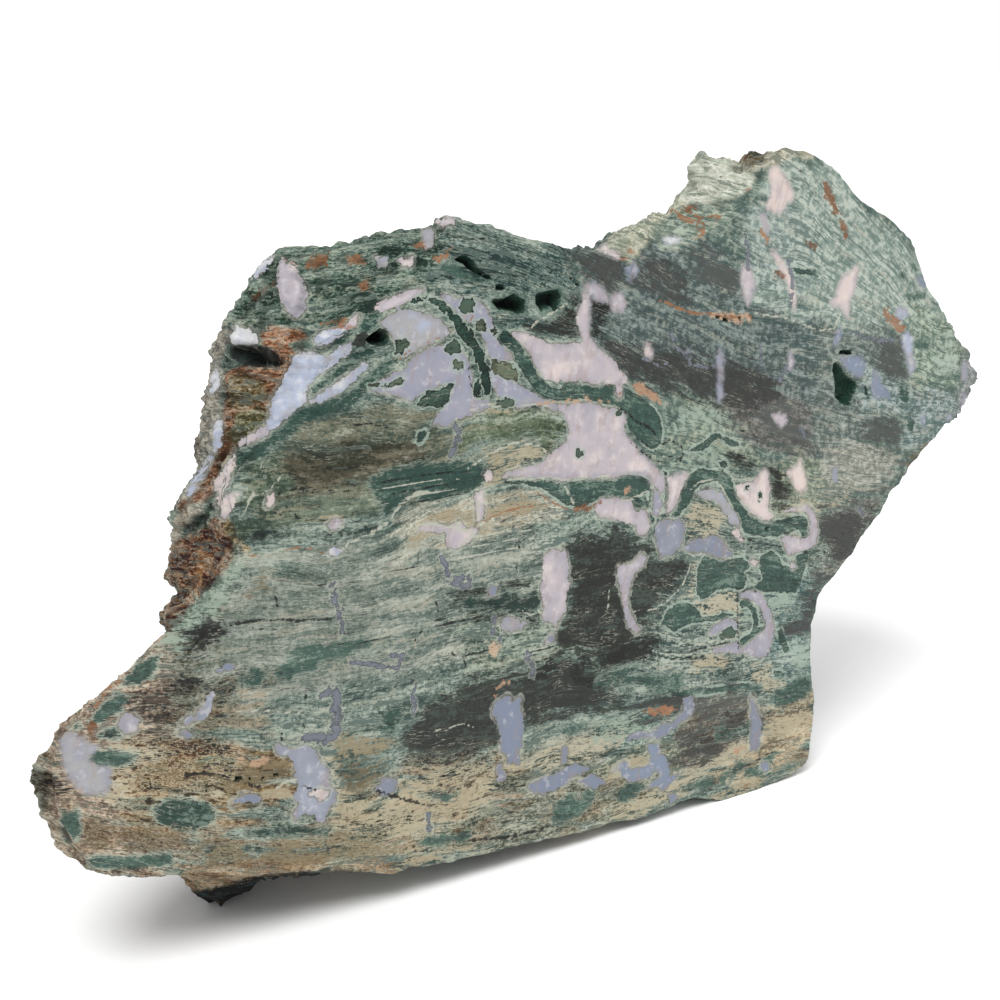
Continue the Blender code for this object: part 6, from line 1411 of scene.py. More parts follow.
def vertex_normals(co, tri):
    a, b, c = co[tri[:, 0]], co[tri[:, 1]], co[tri[:, 2]]
    cross = np.cross(b - a, c - a)
    normals = np.zeros_like(co)
    for k in range(3):
        for axis in range(3):
            normals[:, axis] += np.bincount(tri[:, k], cross[:, axis], len(co))
    return normals / np.maximum(np.linalg.norm(normals, axis=1), TINY)[:, None]


def open_loop(tri):
    """The vertices of the open edge, in order."""
    sides = triangle_sides(tri)
    _, index, counts = np.unique(np.sort(sides, 1), axis=0, return_inverse=True, return_counts=True)
    loose = sides[counts[index.reshape(-1)] == 1]
    follow = dict(loose.tolist())
    start = loose[0][0]
    loop = [start]
    while follow[loop[-1]] != start:
        loop.append(follow[loop[-1]])
    return np.array(loop)


def average(values, edges, count):
    """For each vertex, the mean of its neighbours' values."""
    total = np.zeros_like(values)
    many = np.bincount(edges.reshape(-1), minlength=count)
    for axis in range(values.shape[1]):
        total[:, axis] = np.bincount(edges[:, 0], values[edges[:, 1], axis], count)
        total[:, axis] += np.bincount(edges[:, 1], values[edges[:, 0], axis], count)
    return total / np.maximum(many, 1)[:, None]


def smooth(co, tri, fixed, rounds):
    """Rounds off the flat facets without shrinking the stone."""
    edges = np.unique(np.sort(triangle_sides(tri), 1), axis=0)
    for _ in range(rounds):
        for step in SMOOTH_STEPS:
            move = (average(co, edges, len(co)) - co) * step
            move[fixed] = 0
            co = co + move
    return co


def facing(co, tri):
    """Cosine of the angle between each vertex normal and the line to the eye."""
    eye, _ = camera_place()
    to_eye = eye - co
    to_eye /= np.linalg.norm(to_eye, axis=1)[:, None]
    return (vertex_normals(co, tri) * to_eye).sum(1)


def wanted_size(middle, co, tri, edges):
    """Length that each edge of the broken surfaces may have."""
    look = facing(co, tri)
    seen = np.maximum(look[edges[:, 0]], look[edges[:, 1]]) > FINE_LOOK
    depth = to_face(middle)[:, 2]
    hidden = np.clip(RIM_STEP + HIDDEN_GROWTH * depth, RIM_STEP, HIDDEN_STEP)
    size = np.where(seen, SEEN_STEP, hidden)
    return np.where(depth < RIM_DEPTH, RIM_STEP, size)


def chip_rim(co, loop):
    """Small chips along the rim of the polished face."""
    face = to_face(co[loop])
    for size, amount in RIM_CHIPS:
        for axis, salt in enumerate(RIM_SALTS):
            face[:, axis] += amount * noise_at(face, size, salt)
    face[:, 2] = 0
    co[loop] = to_row(face)


def along(outline, step):
    """Evenly spaced points along a closed outline, a little unsteady."""
    points = []
    shape = [np.array(p, float) for p in outline]
    for a, b in zip(shape, shape[1:] + shape[:1]):
        steps = max(1, int(round(np.linalg.norm(b - a) / step)))
        points += [a + (b - a) * k / steps for k in range(steps)]
    points = np.array(points)
    flat = np.column_stack([points, np.zeros(len(points))])
    for axis, salt in enumerate(OUTLINE_SALTS):
        points[:, axis] += OUTLINE_WOBBLE * noise_at(flat, OUTLINE_WOBBLE_SIZE, salt)
    return points


def face_grid(rim, outlines):
    """Even points inside the rim, clear of it and of the outlines."""
    low, high = rim.min(0), rim.max(0)
    us = np.arange(low[0], high[0], FACE_STEP)
    vs = np.arange(low[1], high[1], FACE_STEP * math.sqrt(3) / 2)
    across, up = np.meshgrid(us, vs)
    across = across + np.where(np.arange(len(vs)) % 2, FACE_STEP / 2, 0)[:, None]
    grid = np.stack([across.ravel(), up.ravel()], 1)
    keep = np.zeros(len(grid), bool)
    for part in blocks(len(grid), FEW_POINTS):
        keep[part] = polygon_distance(grid[part], rim) > RIM_GAP
    grid = grid[keep]
    keep = np.ones(len(grid), bool)
    for outline in outlines:
        ids = near(grid, outline, HOLLOW_GAP)
        keep[ids[np.abs(polygon_distance(grid[ids], outline)) < HOLLOW_GAP]] = False
    return grid[keep]


def face_mesh(rim):
    """Triangles of the polished face inside its rim, with the outlines of the hollows as edges."""
    outlines = [along(outline, OUTLINE_STEP) for _, _, outline in HOLLOWS]
    loops = [rim] + outlines
    edges = []
    base = 0
    for loop in loops:
        n = len(loop)
        edges += [(base + i, base + (i + 1) % n) for i in range(n)]
        base += n
    flat = np.vstack(loops + [face_grid(rim, outlines)])
    result = delaunay_2d_cdt([Vector(p) for p in flat], edges, [], KEEP_INSIDE, MERGE_GAP)
    origin = np.array([o[0] if o else -1 for o in result[3]])
    tri = origin[np.array(result[2])]
    return flat, tri[(tri >= 0).all(1)]


def sink_hollows(flat):
    """Depth of the hollows below the polished face, with uneven floors."""
    depth = np.zeros(len(flat))
    for floor, width, outline in HOLLOWS:
        shape = along(outline, OUTLINE_STEP)
        ids = near(flat, shape, 0)
        gap = polygon_distance(flat[ids], shape)
        low = floor * smoothstep(HOLLOW_LIP, width, gap)
        spot = np.column_stack([flat[ids], np.full(len(ids), floor)])
        low *= 1 + pattern(spot, BOWLS)
        depth[ids] = np.maximum(depth[ids], np.where(gap > HOLLOW_LIP, np.maximum(low, 0), 0))
    return depth


def grain_heights(uv):
    """Thin-plate surface through the grain curves: the same height all along one layer."""
    spots = []
    heights = []
    for height, curve in GRAIN:
        for a, b in zip(curve, curve[1:]):
            spots += [a, ((a[0] + b[0]) / 2, (a[1] + b[1]) / 2)]
            heights += [height, height]
        spots.append(curve[-1])
        heights.append(height)
    spots = np.array(spots, float)
    n = len(spots)

    def kernel(p, q):
        square = ((p[:, None] - q[None]) ** 2).sum(2)
        return square * np.log(np.maximum(square, SMALLEST_SQUARE)) * 0.5

    matrix = np.zeros((n + 3, n + 3))
    matrix[:n, :n] = kernel(spots, spots) + np.eye(n) * GRAIN_EASE
    matrix[:n, n] = matrix[n, :n] = 1
    matrix[:n, n + 1:] = spots
    matrix[n + 1:, :n] = spots.T
    weights = np.linalg.solve(matrix, np.concatenate([heights, np.zeros(3)]))
    out = np.zeros(len(uv))
    for part in blocks(len(uv), MANY_POINTS):
        p = uv[part]
        out[part] = kernel(p, spots) @ weights[:n] + weights[n] + p @ weights[n + 1:]
    return out


def rough_push(face, height, seen):
    """How far the broken surface stands out, by ledges along the layers, blocks and grit, and the relief that
    sets its painted light and shade.
    """
    layers = np.column_stack([face[:, 0], height, face[:, 2]])
    bent = face + drift(face, *BLOCK_DRIFT)
    bent = np.column_stack([bent[:, 0], height + bent[:, 1] - face[:, 1], bent[:, 2]])
    grit = noise_at(face, *GRIT)
    fine = noise_at(face, *FINE_GRIT)
    ledges = noise_at(layers, *LEDGES)
    step = height / STEP_RISE + STEP_BEND * noise_at(face, *STEP_BENDS)
    saw = step - np.floor(step)
    edge = np.minimum(saw / STEP_SLOPE, (1 - saw) / (1 - STEP_SLOPE))
    block = lumps(bent, *BLOCKS) - BLOCK_LEVEL
    chip = lumps(bent, *CHIPS) - BLOCK_LEVEL
    big = LEDGE_HEIGHT * ledges + STEP_HEIGHT * (edge - STEP_LEVEL) + BLOCK_HEIGHT * block
    small = GRIT_HEIGHT * grit + FINE_GRIT_HEIGHT * fine + CHIP_HEIGHT * chip
    small *= np.where(seen, 1.0, HIDDEN_SHARE)
    return big + small, small + SHADING_RELIEF_SHARE * big


def wall_forms(spot):
    """Height of the broken surfaces' own forms, at places as the camera sees them."""
    push = np.zeros(len(spot))
    for height, width, outline in WALL_FORMS:
        ids = near(spot, outline, FORM_LIP)
        if len(ids):
            push[ids] += height * smoothstep(-FORM_LIP, width, polygon_distance(spot[ids], outline))
    return push


def nudged(co):
    """A copy of the vertices with the corrections of the broken outline."""
    co = co.copy()
    spot = on_face(co)
    for u, v, radius, x, z in NUDGES:
        share = np.clip(1 - np.hypot(spot[:, 0] - u, spot[:, 1] - v) / radius, 0, 1)
        share = smoothstep(0, 1, share)
        co[:, 0] += x * share
        co[:, 2] += z * share
    return co


def build_walls():
    """The broken surfaces with their relief: vertices, triangles, the rim's vertices and the relief that sets
    the painted light and shade.
    """
    co, tri = cad_triangles()
    co, tri = walls_only(co, tri)
    co, tri = refine(co, tri, wanted_size, SPLIT_ROUNDS)
    loop = open_loop(tri)
    chip_rim(co, loop)
    fixed = np.zeros(len(co), bool)
    fixed[loop] = True
    floor = co[:, 2] < ON_FLOOR
    co = smooth(co, tri, fixed | floor, SMOOTH_ROUNDS)
    face = to_face(co)
    depth = face[:, 2]
    height = grain_heights(face[:, :2])
    look = facing(co, tri)
    push, shading_relief = rough_push(face, height, look > RELIEF_LOOK)
    fade = smoothstep(0.0, RIM_FADE, depth)
    push = (push - RELIEF_SINK) * fade * smoothstep(0.0, FLOOR_FADE, co[:, 2])
    push += wall_forms(on_face(co)) * smoothstep(0.0, FORMS_LOOK, look) * smoothstep(0.0, FORMS_FADE, depth)
    push[fixed | floor] = 0
    co = co + vertex_normals(co, tri) * push[:, None]
    co += (nudged(co) - co) * smoothstep(0.0, NUDGE_FADE, depth)[:, None]
    co[:, 2] = np.maximum(co[:, 2], 0)
    return co, tri, loop, shading_relief * fade


def build_stone():
    """The whole surface: vertices, triangles, and for each vertex its polish, hollow, and the relief that sets
    the painted light and shade.
    """
    co, tri, loop, shading_relief = build_walls()
    wall_count = len(co)
    rim = to_face(co[loop])[:, :2]
    flat, front = face_mesh(rim)
    sink = sink_hollows(flat)
    sink[: len(rim)] = 0
    front_co = to_row(np.column_stack([flat, sink]))
    index = np.concatenate([loop, wall_count + np.arange(len(flat) - len(rim))])
    co = np.vstack([co, front_co[len(rim):]])
    front = index[front]
    a, b, c = co[front[:, 0]], co[front[:, 1]], co[front[:, 2]]
    outward = np.cross(b - a, c - a)[:, 1] < 0
    front[~outward] = front[~outward][:, ::-1]
    tri = np.vstack([tri, front])
    polished = np.zeros(len(co), bool)
    polished[wall_count:] = True
    polished[loop] = True
    hole = np.zeros(len(co))
    hole[wall_count:] = sink[len(rim):]
    shading_relief = np.concatenate([shading_relief, np.zeros(len(co) - wall_count)])
    return co, tri, polished, hole, shading_relief, loop


def linear(rgb):
    """sRGB values from 0 to 255 to light from 0 to 1."""
    c = np.array(rgb, float) / 255.0
    return np.where(c <= 0.04045, c / 12.92, ((c + 0.055) / 1.055) ** 2.4)


def stone(rgb):
    """The stone's own colour, for a colour as it looks in the light."""
    return np.maximum((linear(rgb) - SHEEN) * BALANCE, DARKEST)


def ground_colours(spot, warp):
    """The light and the dark colour of the ground at each place."""
    light = np.tile(stone(GROUND_LIGHT), (len(spot), 1))
    dark = np.tile(stone(GROUND_DARK), (len(spot), 1))
    for light_rgb, dark_rgb, soft, outline in ZONES:
        ids = near(spot, outline, soft + ZONE_MARGIN)
        if not len(ids):
            continue
        gap = polygon_distance(spot[ids], outline) + warp[ids] * min(soft, MOST_WARP)
        share = smoothstep(-soft / 2, soft / 2, gap)[:, None]
        light[ids] += (stone(light_rgb) - light[ids]) * share
        dark[ids] += (stone(dark_rgb) - dark[ids]) * share
    return light, dark


def mark_values(spot, marks, reach):
    """For each point, the distance into the nearest mark of the class, and the mark's tint."""
    value = np.full(len(spot), -reach)
    tint = np.full(len(spot), 0.5)
    for shade, outline in marks:
        ids = near(spot, outline, reach)
        if not len(ids):
            continue
        gap = np.clip(polygon_distance(spot[ids], outline), -reach, reach)
        better = gap > value[ids]
        value[ids[better]] = gap[better]
        tint[ids[better]] = shade
    return value, tint


def line_values(spot, lines):
    """For each point, the distance to the nearest thin line, in half widths of that line."""
    value = np.full(len(spot), FAR_FROM_LINE)
    for width, line in lines:
        ids = near(spot, line, LINE_REACH)
        if len(ids):
            value[ids] = np.minimum(value[ids], line_distance(spot[ids], line) / (width / 2))
    return value


def put_float(mesh, name, values):
    layer = mesh.attributes.new(name, "FLOAT", "POINT")
    layer.data.foreach_set("value", np.asarray(values, np.float32))


def put_vector(mesh, name, *columns):
    """Up to three numbers for each vertex; the rest are 0."""
    rest = [np.zeros(len(columns[0]))] * (3 - len(columns))
    layer = mesh.attributes.new(name, "FLOAT_VECTOR", "POINT")
    layer.data.foreach_set("vector", np.column_stack([*columns, *rest]).astype(np.float32).ravel())


def put_colour(mesh, name, values):
    layer = mesh.attributes.new(name, "FLOAT_COLOR", "POINT")
    full = np.column_stack([values, np.ones(len(values))])
    layer.data.foreach_set("color", full.astype(np.float32).ravel())


def put_patterns(mesh, face):
    """The slow patterns of the colour, along the grain and free of it; returns the feathering."""
    height = grain_heights(face[:, :2])
    place = face + drift(face, *GRAIN_DRIFT)
    place += drift(face, *GRAIN_RIPPLE)
    layer = height + place[:, 1] - face[:, 1]
    grain = np.column_stack([place[:, 0] - GRAIN_SLANT * place[:, 1], layer, place[:, 2]])
    put_vector(mesh, "grain", *grain.T)
    put_vector(mesh, "stone_place", *face.T)
    feathers = pattern(grain, FEATHERS)
    put_vector(mesh, "field_a", pattern(grain, WIDE_BANDS), pattern(grain, TAN_BANDS), pattern(face, CLOUDS))
    put_vector(mesh, "field_b", pattern(face, SLOW_SPOTS), pattern(grain, VEIN_GATES), feathers)
    return feathers


def put_habits(mesh, spot, seen, feathers):
    """Where marks are soft or frayed, where the stone is porous, and where it is calm."""
    soft, _ = mark_values(spot, SOFT_PARTS, SOFT_REACH)
    pore, pore_share = mark_values(spot, PORE_PARTS, SOFT_REACH)
    ragged, fray = mark_values(spot, RAGGED_PARTS, SOFT_REACH)
    quiet, calm = mark_values(spot, CALM_PARTS, SOFT_REACH)
    put_vector(mesh, "habit", smoothstep(-PART_EDGE, PART_EDGE, soft),
               smoothstep(-PART_EDGE, PART_EDGE, pore + feathers) * pore_share,
               smoothstep(-FRAY_EDGE, FRAY_EDGE, ragged) * fray)
    put_float(mesh, "calm", smoothstep(-PART_EDGE, PART_EDGE, quiet + feathers) * calm * seen)


def put_ground(mesh, face, spot, seen, warp):
    """The ground's two colours; out of the camera's sight the zones wander."""
    wander = face[:, :2] + drift(face, *BACK_WANDER)
    share = seen[:, None]
    for name, front, back in zip(("ground_light", "ground_dark"), ground_colours(spot, warp),
                                 ground_colours(wander, warp)):
        put_colour(mesh, name, front * share + back * (1 - share))


def put_marks(mesh, spot, seen):
    """The marks and the thin lines, which end where the camera doesn't see the surface."""
    fading = 1 - seen
    for name, marks in MARKS.items():
        reach = SOFT_REACH if name in SOFT_MARKS else CRISP_REACH
        value, tint = mark_values(spot, marks, reach)
        put_vector(mesh, "mark_" + name, value - fading * reach, tint)
    for name, lines in LINES.items():
        put_float(mesh, "line_" + name, line_values(spot, lines) + fading * FAR_FROM_LINE)


def make_slab():
    """The dressed stone, in the place of the CAD node."""
    co, tri, polished, hole, shading_relief, loop = build_stone()
    mesh = bpy.data.meshes.new("petrified_slab")
    mesh.from_pydata((co * MM).tolist(), [], tri.tolist())
    mesh.validate()
    mesh.update()
    mesh.shade_smooth()
    face = to_face(co)
    seen = smoothstep(0.0, SEEN_LOOK, facing(co, tri))
    seen[polished] = 1
    spot = on_face(co)
    spot[polished] = face[polished, :2]
    feathers = put_patterns(mesh, face)
    put_habits(mesh, spot, seen, feathers)
    put_ground(mesh, face, spot, seen, feathers * np.where(polished, 1.0, WALL_WARP))
    put_vector(mesh, "surface", polished, hole, shading_relief)
    put_marks(mesh, spot, seen)
    slab = bpy.data.objects.new("petrified_slab", mesh)
    bpy.context.scene.collection.objects.link(slab)
    mesh.materials.append(stone_material())
    mark_sharp_rim(mesh, loop)
    return slab


def mark_sharp_rim(mesh, loop):
    """The rim of the polished face is a clean edge."""
    pairs = set()
    for a, b in zip(loop, np.roll(loop, -1)):
        pairs.add((min(a, b), max(a, b)))
    ends = np.empty(len(mesh.edges) * 2, np.int32)
    mesh.edges.foreach_get("vertices", ends)
    ends = np.sort(ends.reshape(-1, 2), 1)
    sharp = np.array([(a, b) in pairs for a, b in ends.tolist()])
    layer = mesh.attributes.new("sharp_edge", "BOOLEAN", "EDGE")
    layer.data.foreach_set("value", sharp)


def paint(rgb):
    return tuple(stone(rgb)) + (1.0,)


class Graph:
    """Adds shader nodes and links them; a value is a number, a colour or another node's output."""

    def __init__(self, tree):
        self.tree = tree

    def put(self, socket, value):
        if isinstance(value, bpy.types.NodeSocket):
            self.tree.links.new(value, socket)
        else:
            socket.default_value = value

    def add(self, kind, inputs, **settings):
        node = self.tree.nodes.new(kind)
        for name, value in settings.items():
            setattr(node, name, value)
        for name, value in inputs.items():
            self.put(node.inputs[name], value)
        return node

    def math(self, operation, *values):
        return self.add("ShaderNodeMath", dict(enumerate(values)), operation=operation).outputs[0]

    def vector(self, operation, *values):
        return self.add("ShaderNodeVectorMath", dict(enumerate(values)), operation=operation).outputs[0]

    def attribute(self, name, output="Vector"):
        node = self.add("ShaderNodeAttribute", {}, attribute_name=name)
        return node.outputs[output]

    def split(self, vector):
        return self.add("ShaderNodeSeparateXYZ", {0: vector}).outputs[:]

    def noise(self, place, size, detail, roughness, shift):
        """Noise that is about 0 on average; size is one length or three, and the shift sets it apart."""
        lengths = size if isinstance(size, tuple) else (size,) * 3
        scaled = self.vector("MULTIPLY", place, tuple(1 / length for length in lengths))
        moved = self.vector("ADD", scaled, tuple(shift * part for part in SHIFT_PARTS))
        node = self.add("ShaderNodeTexNoise", {"Vector": moved, "Scale": 1.0, "Detail": detail,
                                               "Roughness": roughness})
        return self.math("SUBTRACT", node.outputs[0], 0.5)

    def sum(self, *weighed):
        """Sum of values, each times its weight."""
        total = 0.0
        for value, weight in weighed:
            total = self.math("MULTIPLY_ADD", value, weight, total)
        return total

    def share(self, most, *factors):
        """Product of a number and some values."""
        total = most
        for factor in factors:
            total = self.math("MULTIPLY", factor, total)
        return total

    def line(self, value, slope, start):
        """The value times a slope, from a start."""
        return self.math("MULTIPLY_ADD", value, slope, start)

    def step(self, value, low, high):
        """0 below low, 1 above high, smooth between; low may be above high."""
        first, last = (0.0, 1.0) if low < high else (1.0, 0.0)
        node = self.add("ShaderNodeMapRange", {"Value": value, "From Min": min(low, high),
                                               "From Max": max(low, high), "To Min": first, "To Max": last},
                        interpolation_type="SMOOTHSTEP")
        return node.outputs[0]

    def thread(self, value, wide, thin):
        """Thin lines where the value is near 0, full within thin and gone beyond wide."""
        return self.step(self.math("ABSOLUTE", value), wide, thin)

    def mix(self, share, a, b):
        """Colour a with a share of colour b; each is an output or three sRGB values."""
        a, b = (paint(c) if isinstance(c, tuple) else c for c in (a, b))
        node = self.add("ShaderNodeMix", {0: share, MIX_A: a, MIX_B: b}, data_type="RGBA")
        return node.outputs[MIX_RESULT]

    def ramp(self, value, stops):
        node = self.add("ShaderNodeValToRGB", {0: value})
        elements = node.color_ramp.elements
        elements[0].position, elements[0].color = stops[0][0], paint(stops[0][1])
        elements[1].position, elements[1].color = stops[-1][0], paint(stops[-1][1])
        for place, rgb in stops[1:-1]:
            elements.new(place).color = paint(rgb)
        return node.outputs[0]


class StoneGraph(Graph):
    """The stone's material: values that its layers share, and the layers from the ground up."""

    def __init__(self, tree):
        super().__init__(tree)
        place = self.attribute("stone_place")
        grain = self.attribute("grain")
        self.polish, self.hole, self.shading_relief = self.split(self.attribute("surface"))
        self.wide, self.tan, self.cloud = self.split(self.attribute("field_a"))
        self.slow, self.gate, self.spread = self.split(self.attribute("field_b"))
        self.soft, self.pore, self.ragged = self.split(self.attribute("habit"))
        self.quiet = self.attribute("calm", "Fac")
        self.light = self.attribute("ground_light", "Color")
        self.dark = self.attribute("ground_dark", "Color")
        self.crisp = self.math("SUBTRACT", 1.0, self.soft)
        self.calm = self.line(self.soft, -0.45, 1.0)
        for name, (along_grain, *settings) in FINE_PATTERNS.items():
            setattr(self, name, self.noise(grain if along_grain else place, *settings))
        level = self.sum((self.wide, 0.1), (self.cloud, 0.035), (self.fibre, 0.62), (self.grit, 0.5))
        level = self.math("MULTIPLY", level, self.line(self.soft, -0.6, 1.0))
        level = self.line(self.math("MULTIPLY", self.curl, self.soft), 0.4, level)
        self.level = self.math("MULTIPLY", level, self.line(self.quiet, -0.5, 1.0))
        # Dark pits of the grain, and also the painted shade in the dips of the broken surfaces
        self.pits_and_shade = self.mix(0.6, self.dark, PIT_AND_SHADE_TINT)
        # Pale grain, and also the painted highlight on the high spots of the broken surfaces
        self.pale_and_highlight = self.lay(self.light, PALE_AND_HIGHLIGHT_TINT, 0.45, (self.light, 0.015, 0.12))

    def lay(self, under, over, most, *factors):
        """One colour over another: its greatest share, then what weakens it.

        A factor is an output from 0 to 1, or a value with where it starts to show and where it is full. Marks
        are measured in millimetres from their outline, positive inside.
        """
        factors = [self.step(*f) if isinstance(f, tuple) else f for f in factors]
        return self.mix(self.share(most, *factors), under, over)

    def mark(self, name, *noises):
        """Distance into a class of marks, made uneven by noises, and the marks' tint."""
        value, tint, _ = self.split(self.attribute("mark_" + name))
        return self.sum((value, 1.0), *noises), tint

    def within(self, value, half_edge):
        """Share of the inside of a mark, with an edge of the given half width."""
        return self.step(self.math("DIVIDE", value, half_edge), -1.0, 1.0)

    def ground(self):
        """Fibres and grit between the two colours of the zone."""
        colour = self.lay(self.dark, self.light, 1.0, (self.level, -0.05, 0.06))
        colour = self.lay(colour, TAN_TINT, 0.3, (self.tan, 0.2, 0.6), (self.level, *HALF_WAY))
        colour = self.lay(colour, self.pits_and_shade, 0.85, (self.level, -0.06, -0.12), self.calm)
        colour = self.lay(colour, self.pale_and_highlight, 0.8, (self.level, 0.07, 0.13))
        lens = self.sum((self.veins, 1.0), (self.edge, 0.3), (self.quiet, -0.1))
        colour = self.lay(colour, self.pale_and_highlight, 0.7, (lens, 0.05, 0.07), self.crisp)
        return self.lay(colour, self.mix(0.4, LENS_TINT, self.dark), 0.8, (lens, 0.07, 0.09))

    def porous_layers(self, colour):
        """Layers of the porous end: brown, dark green, and cream lines between."""
        layer = self.sum((self.tan, 1.0), (self.fibre, 1.2))
        half = self.step(self.level, *HALF_WAY)
        brown = self.mix(half, LAYER_DARK_TINT, LAYER_TINT)
        colour = self.lay(colour, brown, 0.8, (layer, 0.12, 0.22), self.pore)
        green = self.mix(half, TEAL_DEEP_TINT, TEAL_CURL_TINT)
        colour = self.lay(colour, green, 0.75, (layer, -0.24, -0.34), self.pore)
        between = self.thread(self.math("SUBTRACT", layer, 0.1), 0.05, 0.02)
        return self.lay(colour, NET_TINT, 0.7, between, self.pore)

    def patches(self, colour):
        """Warm, mint and charcoal patches, feathered along the grain."""
        value, tint = self.mark("warm", (self.spread, 1.0), (self.fibre, 9.0), (self.edge, 3.0))
        warm = self.ramp(tint, WARM_TINTS)
        colour = self.lay(colour, warm, 0.85, (value, -0.7, 0.7), (self.level, -0.12, -0.02))
        value, tint = self.mark("mint", (self.spread, 0.9), (self.fibre, 7.0), (self.curl, 4.0))
        mint = self.ramp(tint, MINT_TINTS)
        colour = self.lay(colour, mint, 0.8, (value, -0.6, 0.6), (self.level, -0.1, 0.0))
        value, tint = self.mark("char", (self.spread, 1.5), (self.fibre, 12.0), (self.edge, 3.0))
        inner = self.lay(self.ramp(tint, CHAR_TINTS), self.dark, 0.35, (self.level, 0.02, 0.12))
        return self.lay(colour, inner, 0.96, (value, -0.8, 0.7))

    def pores(self, colour):
        """Porous stone: a cream net round brown pores."""
        net = self.sum((self.edge, 0.6), (self.fibre, 0.6))
        colour = self.lay(colour, NET_TINT, 0.65, self.thread(net, 0.035, 0.01), self.pore)
        return self.lay(colour, PORE_TINT, 0.7, (net, -0.07, -0.12), self.pore)

    def teal(self, colour):
        """Teal patches with a pale rim, frayed along the grain in places."""
        value, tint = self.mark("teal", (self.edge, 0.9), (self.slow, 0.12), (self.fibre, 1.0))
        frayed = self.sum((self.fibre, 5.0), (self.edge, 1.5), (self.spread, 0.4))
        value = self.math("MULTIPLY_ADD", frayed, self.ragged, value)
        firm = self.line(self.ragged, -0.8, 1.0)
        colour = self.lay(colour, MINT_EDGE_TINT, 0.75, (value, -0.6, -0.3), (self.cloud, -0.9, -0.2), firm)
        curled = self.sum((self.curl, 0.7), (self.level, 0.9), (tint, -0.2))
        inner = self.lay(self.ramp(tint, TEAL_TINTS), TEAL_CURL_TINT, 0.6, (curled, -0.08, 0.02))
        inner = self.lay(inner, MINT_EDGE_TINT, 0.3, (self.level, 0.06, 0.12))
        inner = self.lay(inner, TEAL_DEEP_TINT, 0.6, (self.level, -0.05, -0.11))
        inner = self.lay(inner, TEAL_LINE_TINT, 0.7, (value, 0.3, 0.08), firm)
        return self.lay(colour, inner, 0.95, self.within(value, self.line(self.ragged, 0.4, 0.06)))

    def chalcedony(self, colour):
        """Blue-grey and milky marks with a cream halo and a thin dark rim; also returns their share."""
        glassy = 0.0
        for name, tints in (("blue", BLUE_TINTS), ("milk", MILK_TINTS)):
            value, tint = self.mark(name, (self.edge, 1.7), (self.slow, 0.12))
            value = self.math("ADD", value, 0.12)
            colour = self.lay(colour, HALO_TINT, 0.55, (value, -0.7, -0.4), (self.cloud, -0.6, 0.2), self.crisp)
            colour = self.lay(colour, SHADE_TINT, 0.5, (value, -0.3, -0.2), (self.slow, -0.8, -0.1), self.crisp)
            clouded = self.sum((tint, 1.0), (self.slow, 0.08), (self.curl, 0.2), (self.cloud, 0.07))
            inner = self.lay(self.ramp(clouded, tints), GREY_TINT, 0.3, (value, 1.2, 0.0))
            stain = self.sum((self.rays, 1.0), (self.cloud, 0.08))
            inner = self.lay(inner, STAIN_TINT, 0.3, (stain, 0.04, 0.2), self.polish)
            speck = self.sum((self.curl, 0.8), (self.slow, 0.08))
            inner = self.lay(inner, SPECK_TINT, 0.3, (speck, -0.04, -0.16), self.polish)
            inner = self.lay(inner, WARM_RIM_TINT, 0.35, (value, 0.16, 0.05), self.crisp)
            inside = self.within(value, self.line(self.soft, 0.5, 0.11))
            colour = self.mix(inside, colour, inner)
            glassy = self.math("MAXIMUM", inside, glassy)
        return colour, glassy

    def grey_lines(self, colour):
        """Lines of chalcedony with a halo and dark edges, measured in half widths from their middle."""
        value = self.sum((self.attribute("line_grey", "Fac"), 1.0), (self.edge, 5.0), (self.slow, 0.3))
        colour = self.lay(colour, HALO_TINT, 0.4, (value, 2.0, 1.5), self.crisp)
        colour = self.lay(colour, LINE_EDGE_TINT, 0.8, (value, 1.35, 1.0), self.crisp)
        inner = self.lay(GREY_TINT, LINE_EDGE_TINT, 0.6, (value, 0.3, 0.7))
        return self.lay(colour, inner, 0.9, (value, 1.0, 0.8))

    def rust_and_bars(self, colour):
        """Rust, and the green bars and arches over the milk patches."""
        value, tint = self.mark("rust", (self.edge, 3.0), (self.slow, 0.2))
        rust = self.ramp(tint, RUST_TINTS)
        colour = self.lay(colour, rust, 0.85, (value, -0.25, 0.3), (self.level, -0.14, -0.04))
        value, tint = self.mark("over", (self.edge, 2.0), (self.slow, 0.2))
        colour = self.lay(colour, MINT_EDGE_TINT, 0.6, (value, -0.5, -0.25))
        inner = self.lay(self.ramp(tint, OVER_TINTS), TEAL_CURL_TINT, 0.5, (self.level, 0.0, 0.1))
        inner = self.lay(inner, TEAL_DEEP_TINT, 0.55, (self.level, -0.03, -0.1))
        inner = self.lay(inner, TEAL_LINE_TINT, 0.75, (value, 0.26, 0.1))
        return self.lay(colour, inner, 1.0, (value, -0.12, 0.0))

    def veins_and_cracks(self, colour, glassy):
        """Thin veins along the grain, short cracks across it, and the drawn lines."""
        woody = self.math("SUBTRACT", self.polish, glassy)
        vein = self.thread(self.veins, 0.014, 0.004)
        colour = self.lay(colour, DARK_LINE_TINT, 0.75, vein, (self.gate, 0.0, 0.35), woody)
        vein = self.thread(self.sum((self.veins, 1.0), (self.fibre, 0.3)), 0.012, 0.004)
        colour = self.lay(colour, PALE_LINE_TINT, 0.6, vein, (self.gate, 0.0, -0.35), woody)
        crack = self.thread(self.rays, 0.012, 0.003)
        colour = self.lay(colour, SHADE_TINT, 0.6, crack, (self.slow, 0.25, 0.6), woody)
        for name, rgb, most in (("pale", PALE_LINE_TINT, 0.8), ("dark", DARK_LINE_TINT, 0.9),
                                ("rusty", RUST_LINE_TINT, 0.85)):
            value = self.sum((self.attribute("line_" + name, "Fac"), 1.0), (self.edge, 3.5))
            colour = self.lay(colour, rgb, most, (value, 1.3, 0.7))
        return colour

